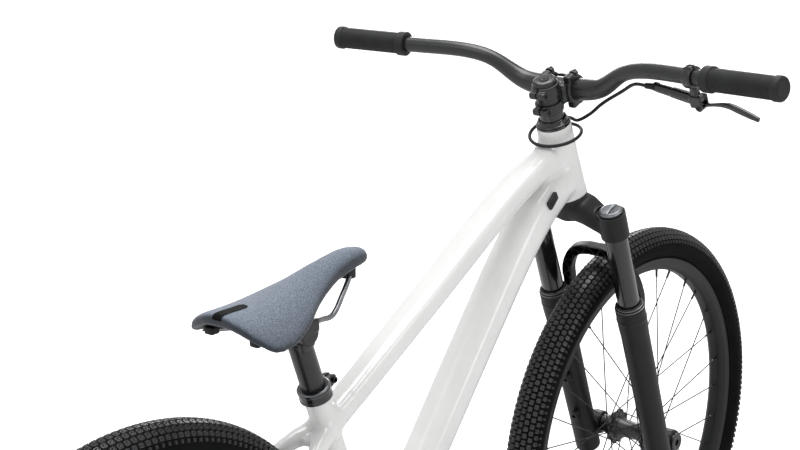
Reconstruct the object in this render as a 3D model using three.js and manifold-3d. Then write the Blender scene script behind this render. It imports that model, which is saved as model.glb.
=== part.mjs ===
// Dirt jump bike with 26 inch wheels, a short-travel fork and one rear disc brake.
// Millimetres. X points forward, Y to the rider's left and Z up. The origin is on the ground midway
// between the axles. Pieces of the fork and the bars are drawn along the steering axis, and the seat's
// along the seat tube.
import * as THREE from 'three';
import { mergeVertices } from 'three/addons/utils/BufferGeometryUtils.js';
import Module from 'manifold-3d';

const wasm = await Module();
wasm.setup();

// Driving sizes of the whole bike
const wheelbase = 1060;
const tyreRadius = 334;
const tyreWidth = 56;
const headAngle = 69.4; // degrees from the ground
const seatAngle = 70; // degrees from the ground
const forkOffset = 37; // front axle ahead of the steering axis
const crownAboveTyre = 142; // crown race above the tyre, along the steering axis
const forkLength = tyreRadius + crownAboveTyre; // axle to crown race
const headTubeLength = 115.5;
const bottomBracketDrop = 18; // below the axles
const bottomBracketHeight = tyreRadius - bottomBracketDrop;
const bottomBracketFromTyre = 60; // ahead of the rear tyre
const bottomBracketAhead = tyreRadius + bottomBracketFromTyre; // ahead of the rear axle
const seatTubeLength = 333; // from the height of the bottom bracket, along the tube
const seatTubeAhead = 24; // where the seat tube's axis passes the bottom bracket
const seatHeight = 88; // collar to the saddle clamp's centre, along the post
const barWidth = 740;
const gap = 0.3; // between touching pieces
const runningGap = 0.5; // between pieces that turn or slide on each other
const overrun = 2; // how far a cut runs past its wall

// Frame tubes: half widths across the bike and half heights across the tube
const headTubeTopRadius = 25;
const headTubeFootRadius = 28;
const headTubeBore = 20;
const lowerCupLip = 4; // crown race to the foot of the head tube
const tubeWall = 2.4;
const downTubeRise = 36; // its axis above the foot of the head tube, along the steering axis
const downTubeFootWidth = 27;
const downTubeFootHeight = 26.5;
const downTubeHeadWidth = 30;
const downTubeHeadHeight = 29;
const downTubeBow = 25.2; // how far it bows up between its ends
const topTubeDrop = 38; // its axis below the top of the head tube, along the steering axis
const topTubeSeatDrop = 60; // its axis below the top of the seat tube, along that tube
const topTubeSeatWidth = 20.5;
const topTubeSeatHeight = 17;
const topTubeHeadWidth = 25.5;
const topTubeHeadHeight = 20;
const topTubeBow = 12.4;
const seatTubeRadius = 17;
const seatTubeBore = 15.8;
const slotWidth = 3;
const slotLength = 28;
const portLength = 26;
const portHeight = 13;
const portBack = 73; // behind the steering axis
const portRise = 35; // above the foot of the head tube
const portProud = 1;

// Bottom bracket, stays and dropouts
const shellLength = 73;
const shellRadius = 23;
const cartridgeRadius = 18;
const cartridgeLip = 3.5;
const spindleRadius = 12;
const chainstayWidth = 7;
const chainstayHeight = 12.5;
const chainstayEndHeight = 9;
const seatstayWidth = 7.5;
const seatstayHeight = 9.5;
const yokeHeight = 14;
const yokeWidth = 15;
const yokeDrop = 1.2; // its start below the top tube's axis
const yokeBridgeRadius = 8.5;
const hubSpacing = 135;
const dropoutThickness = 8;
const dropoutRadius = 19;
const stayClearance = 7; // tyre to stay
const caliperAngle = 16; // degrees above the line forward of the axle
const caliperLength = 36;
const caliperDepth = 22;
const caliperWidth = 30;

// Drive
const chainPitch = 12.7;
const chainringTeeth = 28;
const cogTeeth = 13;
const chainLine = 49.5;
const toothThickness = 2.8;
const toothHeight = 3.4;
const toothRoot = 3.6;
const plateThickness = 1.4; // of a chain link
const platePitch = toothThickness + 2 * gap + plateThickness; // between the middles of its two plates
const plateHeight = 8.4;
const rollerRadius = 2.6;
const chainringHole = 36; // radius of its open middle
const crankLength = 170;
const crankFace = 53.5; // inner face of an arm's boss from the middle of the bike
const crankThickness = 13;
const crankFlare = 11; // how far the pedal end stands further out
const crankWidth = 15; // half width at the boss
const crankEndWidth = 12;
const crankEndThickness = 10.8;
const pedalLength = 100;
const pedalWidth = 96;
const pedalThickness = 17;
const pedalFrame = 14;
const pedalAxleRadius = 6;
const pedalFlangeRadius = 9.6;

// Wheels
const tyreHeight = 47; // above the edge of the rim
const rimRadius = tyreRadius - tyreHeight;
const rimDepth = 21; // from its edge to its inner face
const rimSideDepth = 11; // upright part of its sides
const rimWidth = 34;
const rimWell = 6;
const beadRise = 2; // tyre's bead above the edge of the rim
const spokeCount = 32;
const spokeRadius = 0.93;
const spokeStagger = 0.7; // a spoke's head beside the flange's middle
const wheelSides = 32; // flats round a rim or tyre
const nippleRadius = 2.2;
const nippleLength = 13;
const lacingStep = 6; // rim holes that a spoke leads or trails its hub hole by
const hubFlangeRadius = 29;
const hubFlangeThickness = 3.6;
const frontFlangeSpread = 30;
const rearFlangeLeft = 33;
const rearFlangeRight = 22;
const hubShellRadius = 17;
const hubEndRadius = 15;
const frontHubSpacing = 110;
const frontAxleRadius = 10;
const frontAxleReach = 77;
const rearAxleRadius = 5;
const axleNutRadius = 10;
const axleNutLength = 10;
const driverRadius = 14;
const rotorRadius = 80;
const rotorTrack = 14;
const rotorThickness = 1.8;
const rotorFromMiddle = 57;
const rotorHubRadius = 29;
const rotorArms = 6;
const rotorArmHeight = 9.4;
const rotorArmLead = 24; // degrees that its outer end leads

// Fork
const steererRadius = 14.3;
const stanchionRadius = 17;
const stanchionSpread = 68.4;
const legAhead = 1.5;
const socketRadius = 21;
const socketDrop = 20; // top of the leg sockets below the crown race
const socketLength = 39;
const socketTop = forkLength - socketDrop;
const socketFoot = socketTop - socketLength;
const crownThickness = 36;
const crownEndThickness = 27;
const crownDepth = 24.5;
const crownEndDepth = 19;
const stanchionFoot = 150;
const capHexRadius = 10.6;
const lowersDrop = 50; // their top below the top of the tyre
const lowersTop = tyreRadius - lowersDrop;
const lowersRadius = 22.6;
const lowersFootRadius = 20;
const lowersFoot = 24; // how far the legs reach below the axle
const lowersWell = 40; // floor of the bore above the axle
const sealHeight = 11.5;
const archRise = 22; // above the tyre
const archDepth = 9; // half depth fore and aft
const archHeight = 16;
const archDrop = 46; // its foot below the top of the lowers
const axleBossRadius = 19;
const knobRadius = 17.5;
const knobHeight = 6.2;
const reboundRadius = 8;
const reboundHeight = 9;

// Headset, stem and bars
const cupLip = 3.3;
const coverHeight = 12;
const coverTopRadius = 20;
const spacerHeight = 10;
const spacerRadius = 17.5;
const stemHeight = 44;
const stemRadius = 20;
const stemReach = 37;
const stemNeckWidth = 16.7; // half widths and heights of the neck behind the bar
const stemNeckHeight = 16.5;
const stemEarDepth = 12;
const stemEarWidth = 26;
const stemEarHeight = 9.6;
const stemBarRise = 18; // bar clamp's centre above the foot of the stem
const stemBarWidth = 27; // half of the bar clamp
const stemBarRadius = 21.5;
const faceplateAhead = 2.5; // where the faceplate starts, ahead of the bar's axis
const boltRadius = 3.4;
const boltHead = 4;
const topCapRadius = 17;
const topCapHeight = 7.5;
const topCapRecess = 5.4;
const barRadius = 15.9;
const barEndRadius = 11.1;
const barClampReach = 33; // half of the bar's thick middle
const barTaperEnd = 112;
const barBendReach = 134;
const barRise = 47; // of the outer bend
const barEndRise = 63.3;
const barBack = 7;
const barEndBack = 39.6;
const gripLength = 118;
const gripRadius = 15.8;
const gripCollar = 18;
const gripCollarLength = 13;
const gripCap = 2.5;

// Brake lever, measured along the bar from its clamp and square to it, towards the ground
const leverClampFromEnd = 134;
const leverClampWidth = 14;
const leverClampWall = 4.5;
const cylinderRadius = 8;
const cylinderInnerRadius = 6.4;
const leverNeckWidth = 9.8;
const leverNeckLength = 11.2;
const cylinderInner = 66; // inboard end
const cylinderOuter = 10;
const cylinderDrop = 27;
const cylinderSlope = 8; // how much lower the outboard end is
const pivotOut = 7;
const pivotDrop = 42;
const pivotRadius = 5.5;
const pivotPinRadius = 2.4;
const earThickness = 4;
const bladeThickness = 8;
const bladeHeight = 4.5;
const bladeKneeOut = 50;
const bladeKneeDrop = 36;
const bladeTipOut = 97;
const bladeTipDrop = 51;
const bootRadius = 5;
const bootEndRadius = 4;
const bootLength = 18;

// Hose
const hoseRadius = 2.5;
const hoseSides = 8;
const hoseSteps = 66;
const ringRadius = 37; // of its turns round the head tube
const ringDrop = 9.5; // their start below the top of the head tube
const ringFall = 13; // how far they go down
const ringStart = -30; // degrees round the steering axis
const ringEnd = 425;
const ringSteps = 17;

// Seat
const postRadius = 15.45;
const postInsertion = 150;
const collarRadius = 21.5;
const collarHeight = 14;
const collarLip = 3;
const earLength = 15;
const earWidth = 6;
const clampRadius = 15;
const clampWidth = 26; // half
const cradleLength = 24;
const cradleWidth = 34;
const railRadius = 3.5;
const railSpread = 22;
const railLength = 84; // straight part
const railRise = 12; // clamp's centre to the rails
const railNoseAhead = 98;
const railNoseRise = 49;
const railNoseSpread = 7;
const railTailBehind = 102;
const railTailRise = 20;
const railTailSpread = 37;
const railBlockLength = 14; // blocks under the base that hold the rails
const railBlockTop = 1.2; // above the rails at the tail
const saddleLength = 254;
const saddleNoseAhead = 125; // nose ahead of the clamp's centre
const saddleHalfWidth = 70;
const saddleRise = 81.5; // clamp's centre to the top of the saddle at its nose
const saddleThickness = 34;
const saddleCrust = 13; // cover above its base
const saddleSide = 4; // cover beside its base
const saddlePlate = 6; // thickness of the base
const saddleDroop = 26; // how far the wings' edges hang
const cushionSides = 20;

// Finishes: colour, roughness, metalness
const gloss = finish(0xf2f2f0, 0.18, 0.0);
const blackSatin = finish(0x1c1d1f, 0.42, 0.1);
const blackMatte = finish(0x222325, 0.62, 0.1);
const blackGloss = finish(0x101113, 0.12, 0.2);
const rubberBlack = finish(0x1a1a1b, 0.85, 0.0);
const gripGrey = finish(0x303133, 0.8, 0.0);
const bareSteel = finish(0xb9bbbd, 0.28, 1.0);
const chainSteel = finish(0x77797c, 0.35, 1.0);
const knobGrey = finish(0x8d8f92, 0.35, 0.8);
const blueCloth = finish(0x39424f, 0.95, 0.0);

function finish(color, roughness, metalness) {
  return new THREE.MeshStandardMaterial({ color, roughness, metalness });
}

// Small helpers for points and turns
const along = new THREE.Vector3(0, 1, 0);

function point(x, y, z) {
  return new THREE.Vector3(x, y, z);
}

function lerp(a, b, share) {
  return a + (b - a) * share;
}

function radians(degrees) {
  return THREE.MathUtils.degToRad(degrees);
}

function turned(matrix, geometry) {
  return geometry.applyMatrix4(matrix);
}

// Solids: three.js geometry joined and cut as closed bodies
const weldDistance = 0.0001; // corners nearer than this are one

function solid(geometry) {
  const bare = new THREE.BufferGeometry();
  bare.setAttribute('position', geometry.getAttribute('position'));
  if (geometry.index) bare.setIndex(geometry.index);
  const merged = mergeVertices(bare, weldDistance);
  const places = merged.getAttribute('position').array;
  const corners = [];
  const index = merged.index.array;
  for (let i = 0; i < index.length; i += 3) {
    const [a, b, c] = [index[i], index[i + 1], index[i + 2]];
    if (a !== b && b !== c && c !== a) corners.push(a, b, c);
  }
  const outward = signedVolume(places, corners) > 0;
  for (let i = 0; i < corners.length && !outward; i += 3) {
    [corners[i], corners[i + 1]] = [corners[i + 1], corners[i]];
  }
  const mesh = new wasm.Mesh({
    numProp: 3,
    vertProperties: new Float32Array(places),
    triVerts: new Uint32Array(corners),
  });
  return new wasm.Manifold(mesh);
}

function signedVolume(places, corners) {
  let volume = 0;
  const [a, b, c] = [point(0, 0, 0), point(0, 0, 0), point(0, 0, 0)];
  for (let i = 0; i < corners.length; i += 3) {
    a.fromArray(places, 3 * corners[i]);
    b.fromArray(places, 3 * corners[i + 1]);
    c.fromArray(places, 3 * corners[i + 2]);
    volume += a.dot(b.cross(c));
  }
  return volume;
}

function joined(solids) {
  return solids.reduce((whole, next) => whole.add(next));
}

function cut(body, tools) {
  return tools.reduce((rest, tool) => rest.subtract(tool), body);
}

function geometryOf(body) {
  const mesh = body.getMesh();
  const geometry = new THREE.BufferGeometry();
  const places = new Float32Array(mesh.vertProperties);
  geometry.setAttribute('position', new THREE.BufferAttribute(places, 3));
  geometry.setIndex(new THREE.BufferAttribute(new Uint32Array(mesh.triVerts), 1));
  geometry.computeVertexNormals();
  return geometry;
}

function piece(parent, name, body, material) {
  const mesh = new THREE.Mesh(geometryOf(body), material);
  mesh.name = name;
  parent.add(mesh);
  return mesh;
}

// Shapes
function box(size, centre) {
  const geometry = new THREE.BoxGeometry(size.x, size.y, size.z);
  return solid(geometry.translate(centre.x, centre.y, centre.z));
}

function rodGeometry(from, to, radius, endRadius, sides) {
  const length = from.distanceTo(to);
  const geometry = new THREE.CylinderGeometry(endRadius, radius, length, sides);
  geometry.rotateY(Math.PI / sides);
  const direction = to.clone().sub(from).normalize();
  const turn = new THREE.Quaternion().setFromUnitVectors(along, direction);
  const middle = from.clone().add(to).multiplyScalar(0.5);
  return turned(new THREE.Matrix4().compose(middle, turn, point(1, 1, 1)), geometry);
}

function rod(from, to, radius, sides = 20, endRadius = radius) {
  return solid(rodGeometry(from, to, radius, endRadius, sides));
}

// A drilled hole: the flats between its corners keep its radius clear
function drilled(from, to, radius, sides) {
  return rod(from, to, clearOf(radius, sides), sides);
}

function clearOf(radius, sides) {
  return radius / Math.cos(Math.PI / sides);
}

// Turned piece about the Z axis: pairs of radius and height
function turnedUp(profile, sides) {
  const geometry = new THREE.LatheGeometry(flatPoints(profile), sides);
  return solid(geometry.rotateX(Math.PI / 2));
}

// Turned piece about the Y axis: pairs of radius and distance along the axle
function turnedAcross(profile, sides) {
  return solid(new THREE.LatheGeometry(flatPoints(profile), sides));
}

function flatPoints(pairs) {
  return pairs.map(([a, b]) => new THREE.Vector2(a, b));
}

function ringProfile(inner, outer, low, high) {
  return [[inner, low], [outer, low], [outer, high], [inner, high], [inner, low]];
}

// Plate cut to an outline of X and Z pairs, from one Y to another
function plateAcross(outline, fromY, toY, holes = []) {
  const shape = new THREE.Shape(flatPoints(outline));
  for (const hole of holes) shape.holes.push(new THREE.Path(flatPoints(hole)));
  const geometry = new THREE.ExtrudeGeometry(shape, { depth: toY - fromY, bevelEnabled: false });
  geometry.rotateX(Math.PI / 2);
  return solid(geometry.translate(0, toY, 0));
}

function circleOutline(radius, count, x = 0, z = 0) {
  return Array.from({ length: count }, (unused, i) => {
    const angle = (2 * Math.PI * i) / count;
    return [x + radius * Math.cos(angle), z + radius * Math.sin(angle)];
  });
}

// Tube through a row of rings; each station has a centre, a direction and two half sizes
function loft(stations, sides, grow = 0) {
  const places = [];
  for (const station of stations) {
    const tangent = station.direction.clone().normalize();
    const slant = station.across.dot(tangent);
    const across = station.across.clone().addScaledVector(tangent, -slant).normalize();
    const up = new THREE.Vector3().crossVectors(tangent, across);
    const power = 2 / (station.squareness ?? 2);
    for (let i = 0; i < sides; i += 1) {
      const angle = (2 * Math.PI * (i + 0.5)) / sides;
      const c = Math.sign(Math.cos(angle)) * Math.abs(Math.cos(angle)) ** power;
      const s = Math.sign(Math.sin(angle)) * Math.abs(Math.sin(angle)) ** power;
      const place = station.centre.clone();
      place.addScaledVector(across, c * (station.width + grow));
      place.addScaledVector(up, s * (station.height + grow));
      places.push(place.x, place.y, place.z);
    }
  }
  const last = (stations.length - 1) * sides;
  const index = [];
  for (let row = 0; row < last; row += sides) {
    for (let i = 0; i < sides; i += 1) {
      const j = (i + 1) % sides;
      index.push(row + i, row + j, row + sides + i, row + j, row + sides + j, row + sides + i);
    }
  }
  for (let i = 1; i < sides - 1; i += 1) {
    index.push(0, i + 1, i, last, last + i, last + i + 1);
  }
  const geometry = new THREE.BufferGeometry();
  geometry.setAttribute('position', new THREE.BufferAttribute(new Float32Array(places), 3));
  geometry.setIndex(index);
  return solid(geometry);
}

// Stations along a smooth curve: shares of its length, with sizes that follow
function stationsAlong(curve, shares, sizeAt, across = along) {
  return shares.map((share) => ({
    centre: curve.getPointAt(share),
    direction: curve.getTangentAt(share),
    across,
    ...sizeAt(share),
  }));
}

// Round tube of one size along a curve
function hoseAlong(points, radius, sides, steps) {
  const shape = new THREE.Shape(flatPoints(circleOutline(radius, sides)));
  const extrudePath = new THREE.CatmullRomCurve3(points, false, 'centripetal');
  return solid(new THREE.ExtrudeGeometry(shape, { steps, extrudePath, bevelEnabled: false }));
}

// Places worked out from the driving sizes
const rearAxle = point(-wheelbase / 2, 0, tyreRadius);
const frontAxle = point(wheelbase / 2, 0, tyreRadius);
const bottomBracket = point(rearAxle.x + bottomBracketAhead, 0, bottomBracketHeight);
const steerUp = point(-Math.cos(radians(headAngle)), 0, Math.sin(radians(headAngle)));
const steerAhead = point(Math.sin(radians(headAngle)), 0, Math.cos(radians(headAngle)));
const steerFoot = frontAxle.clone().addScaledVector(steerAhead, -forkOffset);
const steering = new THREE.Group();
steering.position.copy(steerFoot);
steering.rotation.y = radians(headAngle - 90);
steering.updateMatrixWorld(true);
const headTubeFoot = forkLength + lowerCupLip;
const headTubeTop = headTubeFoot + headTubeLength;

function steered(x, y, s) {
  const place = steerFoot.clone().addScaledVector(steerAhead, x).addScaledVector(steerUp, s);
  return place.addScaledVector(along, y);
}

const seatUp = point(-Math.cos(radians(seatAngle)), 0, Math.sin(radians(seatAngle)));
const seatFoot = bottomBracket.clone().add(point(seatTubeAhead, 0, 0));
const seatTop = seatFoot.clone().addScaledVector(seatUp, seatTubeLength);
const seat = new THREE.Group();
seat.position.copy(seatTop);
seat.rotation.y = radians(seatAngle - 90);
seat.updateMatrixWorld(true);

// The frame's tubes as stations, so that each can be grown to cut its neighbours
const tubeShares = [0, 0.3, 0.55, 0.72, 0.86, 1];
const tubeSides = 14;
const boreSides = 8;

function bowed(from, to, bow, shares, bowShares) {
  const run = to.clone().sub(from);
  const normal = point(-run.z, 0, run.x).normalize();
  return shares.map((share, i) => {
    const place = from.clone().addScaledVector(run, share);
    return place.addScaledVector(normal, bow * bowShares[i]);
  });
}

const downTubeHead = steered(0, 0, headTubeFoot + downTubeRise);
const downTubePlaceShares = [0, 0.31, 0.57, 0.76, 0.875, 1];
const downTubeBowShares = [0, 0.43, 0.81, 1, 0.82, 0];
const downTubePath = bowed(
  bottomBracket, downTubeHead, downTubeBow, downTubePlaceShares, downTubeBowShares,
);
const downTubeCurve = new THREE.CatmullRomCurve3(downTubePath, false, 'centripetal');
const topTubeSeat = seatTop.clone().addScaledVector(seatUp, -topTubeSeatDrop);
const topTubeHead = steered(0, 0, headTubeTop - topTubeDrop);
const topTubePlaceShares = [0, 0.4, 0.79, 1];
const topTubeBowShares = [0, 0.5, 1, 0];
const topTubePath = bowed(
  topTubeSeat, topTubeHead, topTubeBow, topTubePlaceShares, topTubeBowShares,
);
const topTubeCurve = new THREE.CatmullRomCurve3(topTubePath, false, 'centripetal');

function downTubeSolid(grow, sides = tubeSides) {
  const sizes = (share) => ({
    width: lerp(downTubeFootWidth, downTubeHeadWidth, share),
    height: lerp(downTubeFootHeight, downTubeHeadHeight, share),
  });
  return loft(stationsAlong(downTubeCurve, tubeShares, sizes), sides, grow);
}

function topTubeSolid(grow, sides = tubeSides) {
  const sizes = (share) => ({
    width: lerp(topTubeSeatWidth, topTubeHeadWidth, share),
    height: lerp(topTubeSeatHeight, topTubeHeadHeight, share),
    squareness: 2.5,
  });
  const shares = [0, 0.45, 0.78, 1];
  return loft(stationsAlong(topTubeCurve, shares, sizes), sides, grow);
}

function headTubeSolid(grow) {
  const radiusFoot = headTubeFootRadius + grow;
  const radiusTop = headTubeTopRadius + grow;
  return rod(steered(0, 0, headTubeFoot), steered(0, 0, headTubeTop), radiusFoot, 24, radiusTop);
}

// What the head tube and the cups at its ends fill, grown to cut the tubes that meet it
function headRoom() {
  const lower = rod(
    steered(0, 0, forkLength), steered(0, 0, headTubeFoot + overrun), headTubeFootRadius + gap, 24,
  );
  const upper = rod(
    steered(0, 0, headTubeTop - overrun), steered(0, 0, headTubeTop + cupLip + gap),
    headTubeTopRadius + gap, 24,
  );
  return joined([headTubeSolid(gap), lower, upper]);
}

// The seat tube ends on the down tube's axis, so its foot is buried in that tube
function seatTubeFootPoint() {
  const run = downTubePath[1].clone().sub(downTubePath[0]);
  const reach = seatFoot.clone().sub(bottomBracket);
  const turn = seatUp.x * run.z - seatUp.z * run.x;
  const distance = (reach.z * run.x - reach.x * run.z) / turn;
  return seatFoot.clone().addScaledVector(seatUp, distance);
}

function seatTubeSolid(grow) {
  return rod(seatTubeFootPoint(), seatTop, seatTubeRadius + grow, 20);
}

function shellSolid(grow) {
  const half = point(0, shellLength / 2, 0);
  const from = bottomBracket.clone().sub(half);
  return rod(from, bottomBracket.clone().add(half), shellRadius + grow, 20);
}

// Frame
function headTube() {
  const from = steered(0, 0, headTubeFoot - overrun);
  const bore = drilled(from, steered(0, 0, headTubeTop + overrun), headTubeBore, 18);
  return cut(headTubeSolid(0), [bore]);
}

function topTube() {
  const tube = cut(topTubeSolid(0), [topTubeSolid(-tubeWall, boreSides)]);
  return cut(tube, [headRoom(), seatTubeSolid(gap), downTubeSolid(gap)]);
}

// Ports for the hose, one on each side of the down tube behind the head tube
function portOutline(grow) {
  const slantShare = 0.35;
  const cornerShare = 0.25;
  const [l, h] = [portLength / 2 + grow, portHeight / 2 + grow];
  const lean = h * slantShare;
  const corner = h * cornerShare;
  return [
    [-l + lean + corner, -h],
    [l - lean - corner, -h + corner * slantShare],
    [l - lean, -h + corner],
    [l, h - corner],
    [l - corner, h],
    [-l + corner + lean, h],
    [-l + lean, h - corner],
    [-l, -h + corner],
  ];
}

const portCentre = steered(-portBack, 0, headTubeFoot + portRise);
const portSlope = -0.72; // radians, along the down tube

function port(side, inner, outer, grow) {
  const plate = new THREE.Shape(flatPoints(portOutline(grow)));
  const geometry = new THREE.ExtrudeGeometry(plate, { depth: outer - inner, bevelEnabled: false });
  geometry.rotateX(Math.PI / 2);
  geometry.rotateY(portSlope);
  const from = side > 0 ? outer : -inner;
  return solid(geometry.translate(portCentre.x, from, portCentre.z));
}

const portInner = downTubeHeadWidth - tubeWall - overrun;
const portOuter = downTubeHeadWidth + portProud;

// Filled but for the hose's way: the fork's caps pass close under it, and the collision hulls
// of a hollow bowed tube would bulge into their way
function downTube() {
  const open = [-1, 1].map((side) => port(side, portInner - overrun, portOuter + overrun, gap));
  const exit = hoseAlong(hoseRoute(), hoseRadius + gap + gap, hoseSides, hoseSteps);
  return cut(downTubeSolid(0), [headRoom(), shellSolid(gap), exit, ...open]);
}

function seatTube() {
  const boreTop = seatTop.clone().addScaledVector(seatUp, overrun);
  const bore = drilled(seatTubeFootPoint(), boreTop, seatTubeBore, 18);
  const slotFrom = seatTop.clone().addScaledVector(seatUp, -slotLength);
  const slot = box(
    point(seatTubeRadius * 2, slotWidth, slotLength * 2),
    point(seatTubeRadius, 0, 0),
  );
  const placed = slot.transform(matrixNumbers(seat.matrixWorld));
  const hole = rod(slotFrom, slotFrom.clone().add(point(seatTubeRadius * 2, 0, 0)), slotWidth, 12);
  return cut(seatTubeSolid(0), [bore, placed, hole, downTubeSolid(gap), shellSolid(gap)]);
}

function matrixNumbers(matrix) {
  return Array.from(matrix.elements);
}

function bottomBracketShell() {
  const reach = point(0, shellLength / 2 + overrun, 0);
  const from = bottomBracket.clone().sub(reach);
  const bore = drilled(from, bottomBracket.clone().add(reach), cartridgeRadius + gap, 16);
  return cut(shellSolid(0), [bore]);
}

// Stays: one path each, for the left side, mirrored for the right
const stayOut = tyreWidth / 2 + stayClearance;
const dropoutMiddle = hubSpacing / 2 + gap + dropoutThickness / 2;

function behindBracket(share) {
  return lerp(bottomBracket.x, rearAxle.x, share);
}

function stayHeightAt(share) {
  return lerp(bottomBracket.z, rearAxle.z, share);
}

function chainstayPath(side) {
  const placeShares = [0.05, 0.175, 0.3, 0.62, 0.78, 1];
  const spreadShare = 0.62;
  const outs = [
    shellLength / 2 - chainstayWidth - gap,
    shellLength / 2 - gap - gap,
    stayOut + chainstayWidth - gap,
    lerp(stayOut, dropoutMiddle, spreadShare),
    dropoutMiddle - gap,
    dropoutMiddle,
  ];
  return placeShares.map((share, i) => (
    point(behindBracket(share), side * outs[i], stayHeightAt(share))
  ));
}

function mirrored(body, side) {
  return side > 0 ? body : body.mirror([0, 1, 0]);
}

function staySizes(width, height, endHeight) {
  return (share) => ({
    width: Math.min(width, lerp(2 * width, dropoutThickness / 2, share)),
    height: lerp(height, endHeight, share),
    squareness: 2.6,
  });
}

const dropoutSides = 18;

function dropout() {
  const from = rearAxle.clone().add(point(0, hubSpacing / 2 + gap, 0));
  const to = from.clone().add(point(0, dropoutThickness, 0));
  return rod(from, to, dropoutRadius, dropoutSides);
}

function axleHole() {
  const reach = point(0, hubSpacing, 0);
  return drilled(rearAxle.clone().sub(reach), rearAxle.clone().add(reach), rearAxleRadius + gap, 10);
}

function chainstaySolid(grow) {
  const curve = new THREE.CatmullRomCurve3(chainstayPath(1), false, 'centripetal');
  const sizes = staySizes(chainstayWidth, chainstayHeight, chainstayEndHeight);
  const shares = [0, 0.16, 0.3, 0.6, 0.8, 1];
  return loft(stationsAlong(curve, shares, sizes), 8, grow);
}

function chainstay(side) {
  const hubSide = box(
    point(dropoutRadius * 4, hubSpacing, dropoutRadius * 4),
    rearAxle.clone(),
  );
  const outer = joined([chainstaySolid(0), dropout()]);
  const whole = cut(outer, [axleHole(), shellSolid(gap), hubSide]);
  const parts = side > 0 ? [caliperMount()] : [];
  return mirrored(joined([whole, ...parts]), side);
}

// Wishbone: a yoke on the seat tube that parts round the tyre
const yokeTop = topTubeSeat.clone().addScaledVector(seatUp, -yokeDrop);

function seatstayPath() {
  const start = yokeTop.clone();
  const end = rearAxle.clone();
  const distance = start.distanceTo(end);
  const partingShare = (distance - tyreRadius - stayClearance) / distance;
  const [nearShare, farShare] = [0.85 * partingShare, 1.7 * partingShare];
  const placeShares = [0, nearShare, farShare, 0.46, 0.66, 0.8, 0.955];
  const dropShares = [0, 0.46 * nearShare, 0.73 * farShare, 0.42, 0.64, 0.79, 0.955];
  const spreadShares = [0.3, 0.7];
  const outs = [
    seatstayWidth - gap,
    yokeWidth + seatstayWidth,
    stayOut + seatstayWidth - gap,
    ...spreadShares.map((share) => lerp(stayOut + seatstayWidth, dropoutMiddle, share)),
    dropoutMiddle - gap,
    dropoutMiddle,
  ];
  return placeShares.map((share, i) => {
    const height = lerp(start.z, end.z, dropShares[i]);
    return point(lerp(start.x, end.x, share), outs[i], height);
  });
}

function seatstayArm(grow) {
  const curve = new THREE.CatmullRomCurve3(seatstayPath(), false, 'centripetal');
  const yokeShare = 0.2;
  const sizes = (share) => ({
    width: share < yokeShare
      ? lerp(yokeWidth, seatstayWidth, share / yokeShare)
      : Math.min(seatstayWidth, lerp(2 * seatstayWidth, dropoutThickness / 2, share)),
    height: lerp(yokeHeight, seatstayHeight, Math.min(1, share / yokeShare)),
    squareness: 2.6,
  });
  const shares = [0, 0.09, 0.18, 0.28, 0.48, 0.66, 0.84, 1];
  return loft(stationsAlong(curve, shares, sizes), 8, grow);
}

function seatstays() {
  const arm = seatstayArm(0);
  const both = joined([arm, arm.mirror([0, 1, 0]), yokeBridge()]);
  const reach = tyreWidth / 2 + stayClearance - gap;
  const roomRadius = tyreRadius + stayClearance - gap;
  const room = turnedAcross(ringProfile(hubShellRadius, roomRadius, -reach, reach), wheelSides)
    .translate(rearAxle.toArray());
  const ends = [-1, 1].map((side) => mirrored(joined([dropoutRoom(), chainstaySolid(gap)]), side));
  return cut(both, [seatTubeSolid(gap), topTubeSolid(gap), room, ...ends]);
}

// Across between the arms, just behind the seat tube
function yokeBridge() {
  const back = point(-seatUp.z, 0, seatUp.x);
  const centre = yokeTop.clone().addScaledVector(back, seatTubeRadius + yokeHeight);
  const half = point(0, yokeWidth, 0);
  return rod(centre.clone().sub(half), centre.clone().add(half), yokeBridgeRadius, 10);
}

// What the other pieces leave free round a dropout
function dropoutRoom() {
  const from = rearAxle.clone().add(point(0, hubSpacing / 2, 0));
  const to = from.clone().add(point(0, dropoutThickness + 2 * gap, 0));
  return drilled(from, to, dropoutRadius + gap, dropoutSides);
}

// Rear brake: caliper on the left chainstay, over the edge of the rotor
const caliperRadius = rotorRadius - rotorTrack / 2;
const caliperCentre = rearAxle.clone().add(point(
  caliperRadius * Math.cos(radians(caliperAngle)),
  rotorFromMiddle,
  caliperRadius * Math.sin(radians(caliperAngle)),
));

function caliperMount() {
  const footHeight = lerp(rearAxle.z, bottomBracket.z, caliperRadius / bottomBracketAhead);
  const foot = point(caliperCentre.x, dropoutMiddle, footHeight);
  const rise = caliperCentre.z - caliperDepth / 2 - gap - foot.z;
  return box(point(caliperLength, dropoutThickness, rise), foot.clone().add(point(0, 0, rise / 2)));
}

function brakeCaliper() {
  const body = box(point(caliperLength, caliperWidth, caliperDepth), caliperCentre);
  const slot = turnedAcross(
    ringProfile(rotorHubRadius, rotorRadius + overrun, -rotorThickness, rotorThickness), wheelSides,
  ).translate([rearAxle.x, rotorFromMiddle, rearAxle.z]);
  const inletAt = caliperInlet();
  const inlet = rod(inletAt.clone().add(point(-caliperLength / 2, 0, 0)), inletAt, bootRadius, 12);
  return cut(joined([body, inlet]), [slot, chainstaySolid(gap), seatstayArm(gap), dropoutRoom()]);
}

// End of the short pipe that the hose joins
function caliperInlet() {
  return caliperCentre.clone().add(point((caliperLength + bootLength) / 2, 0, caliperDepth / 4));
}

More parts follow.
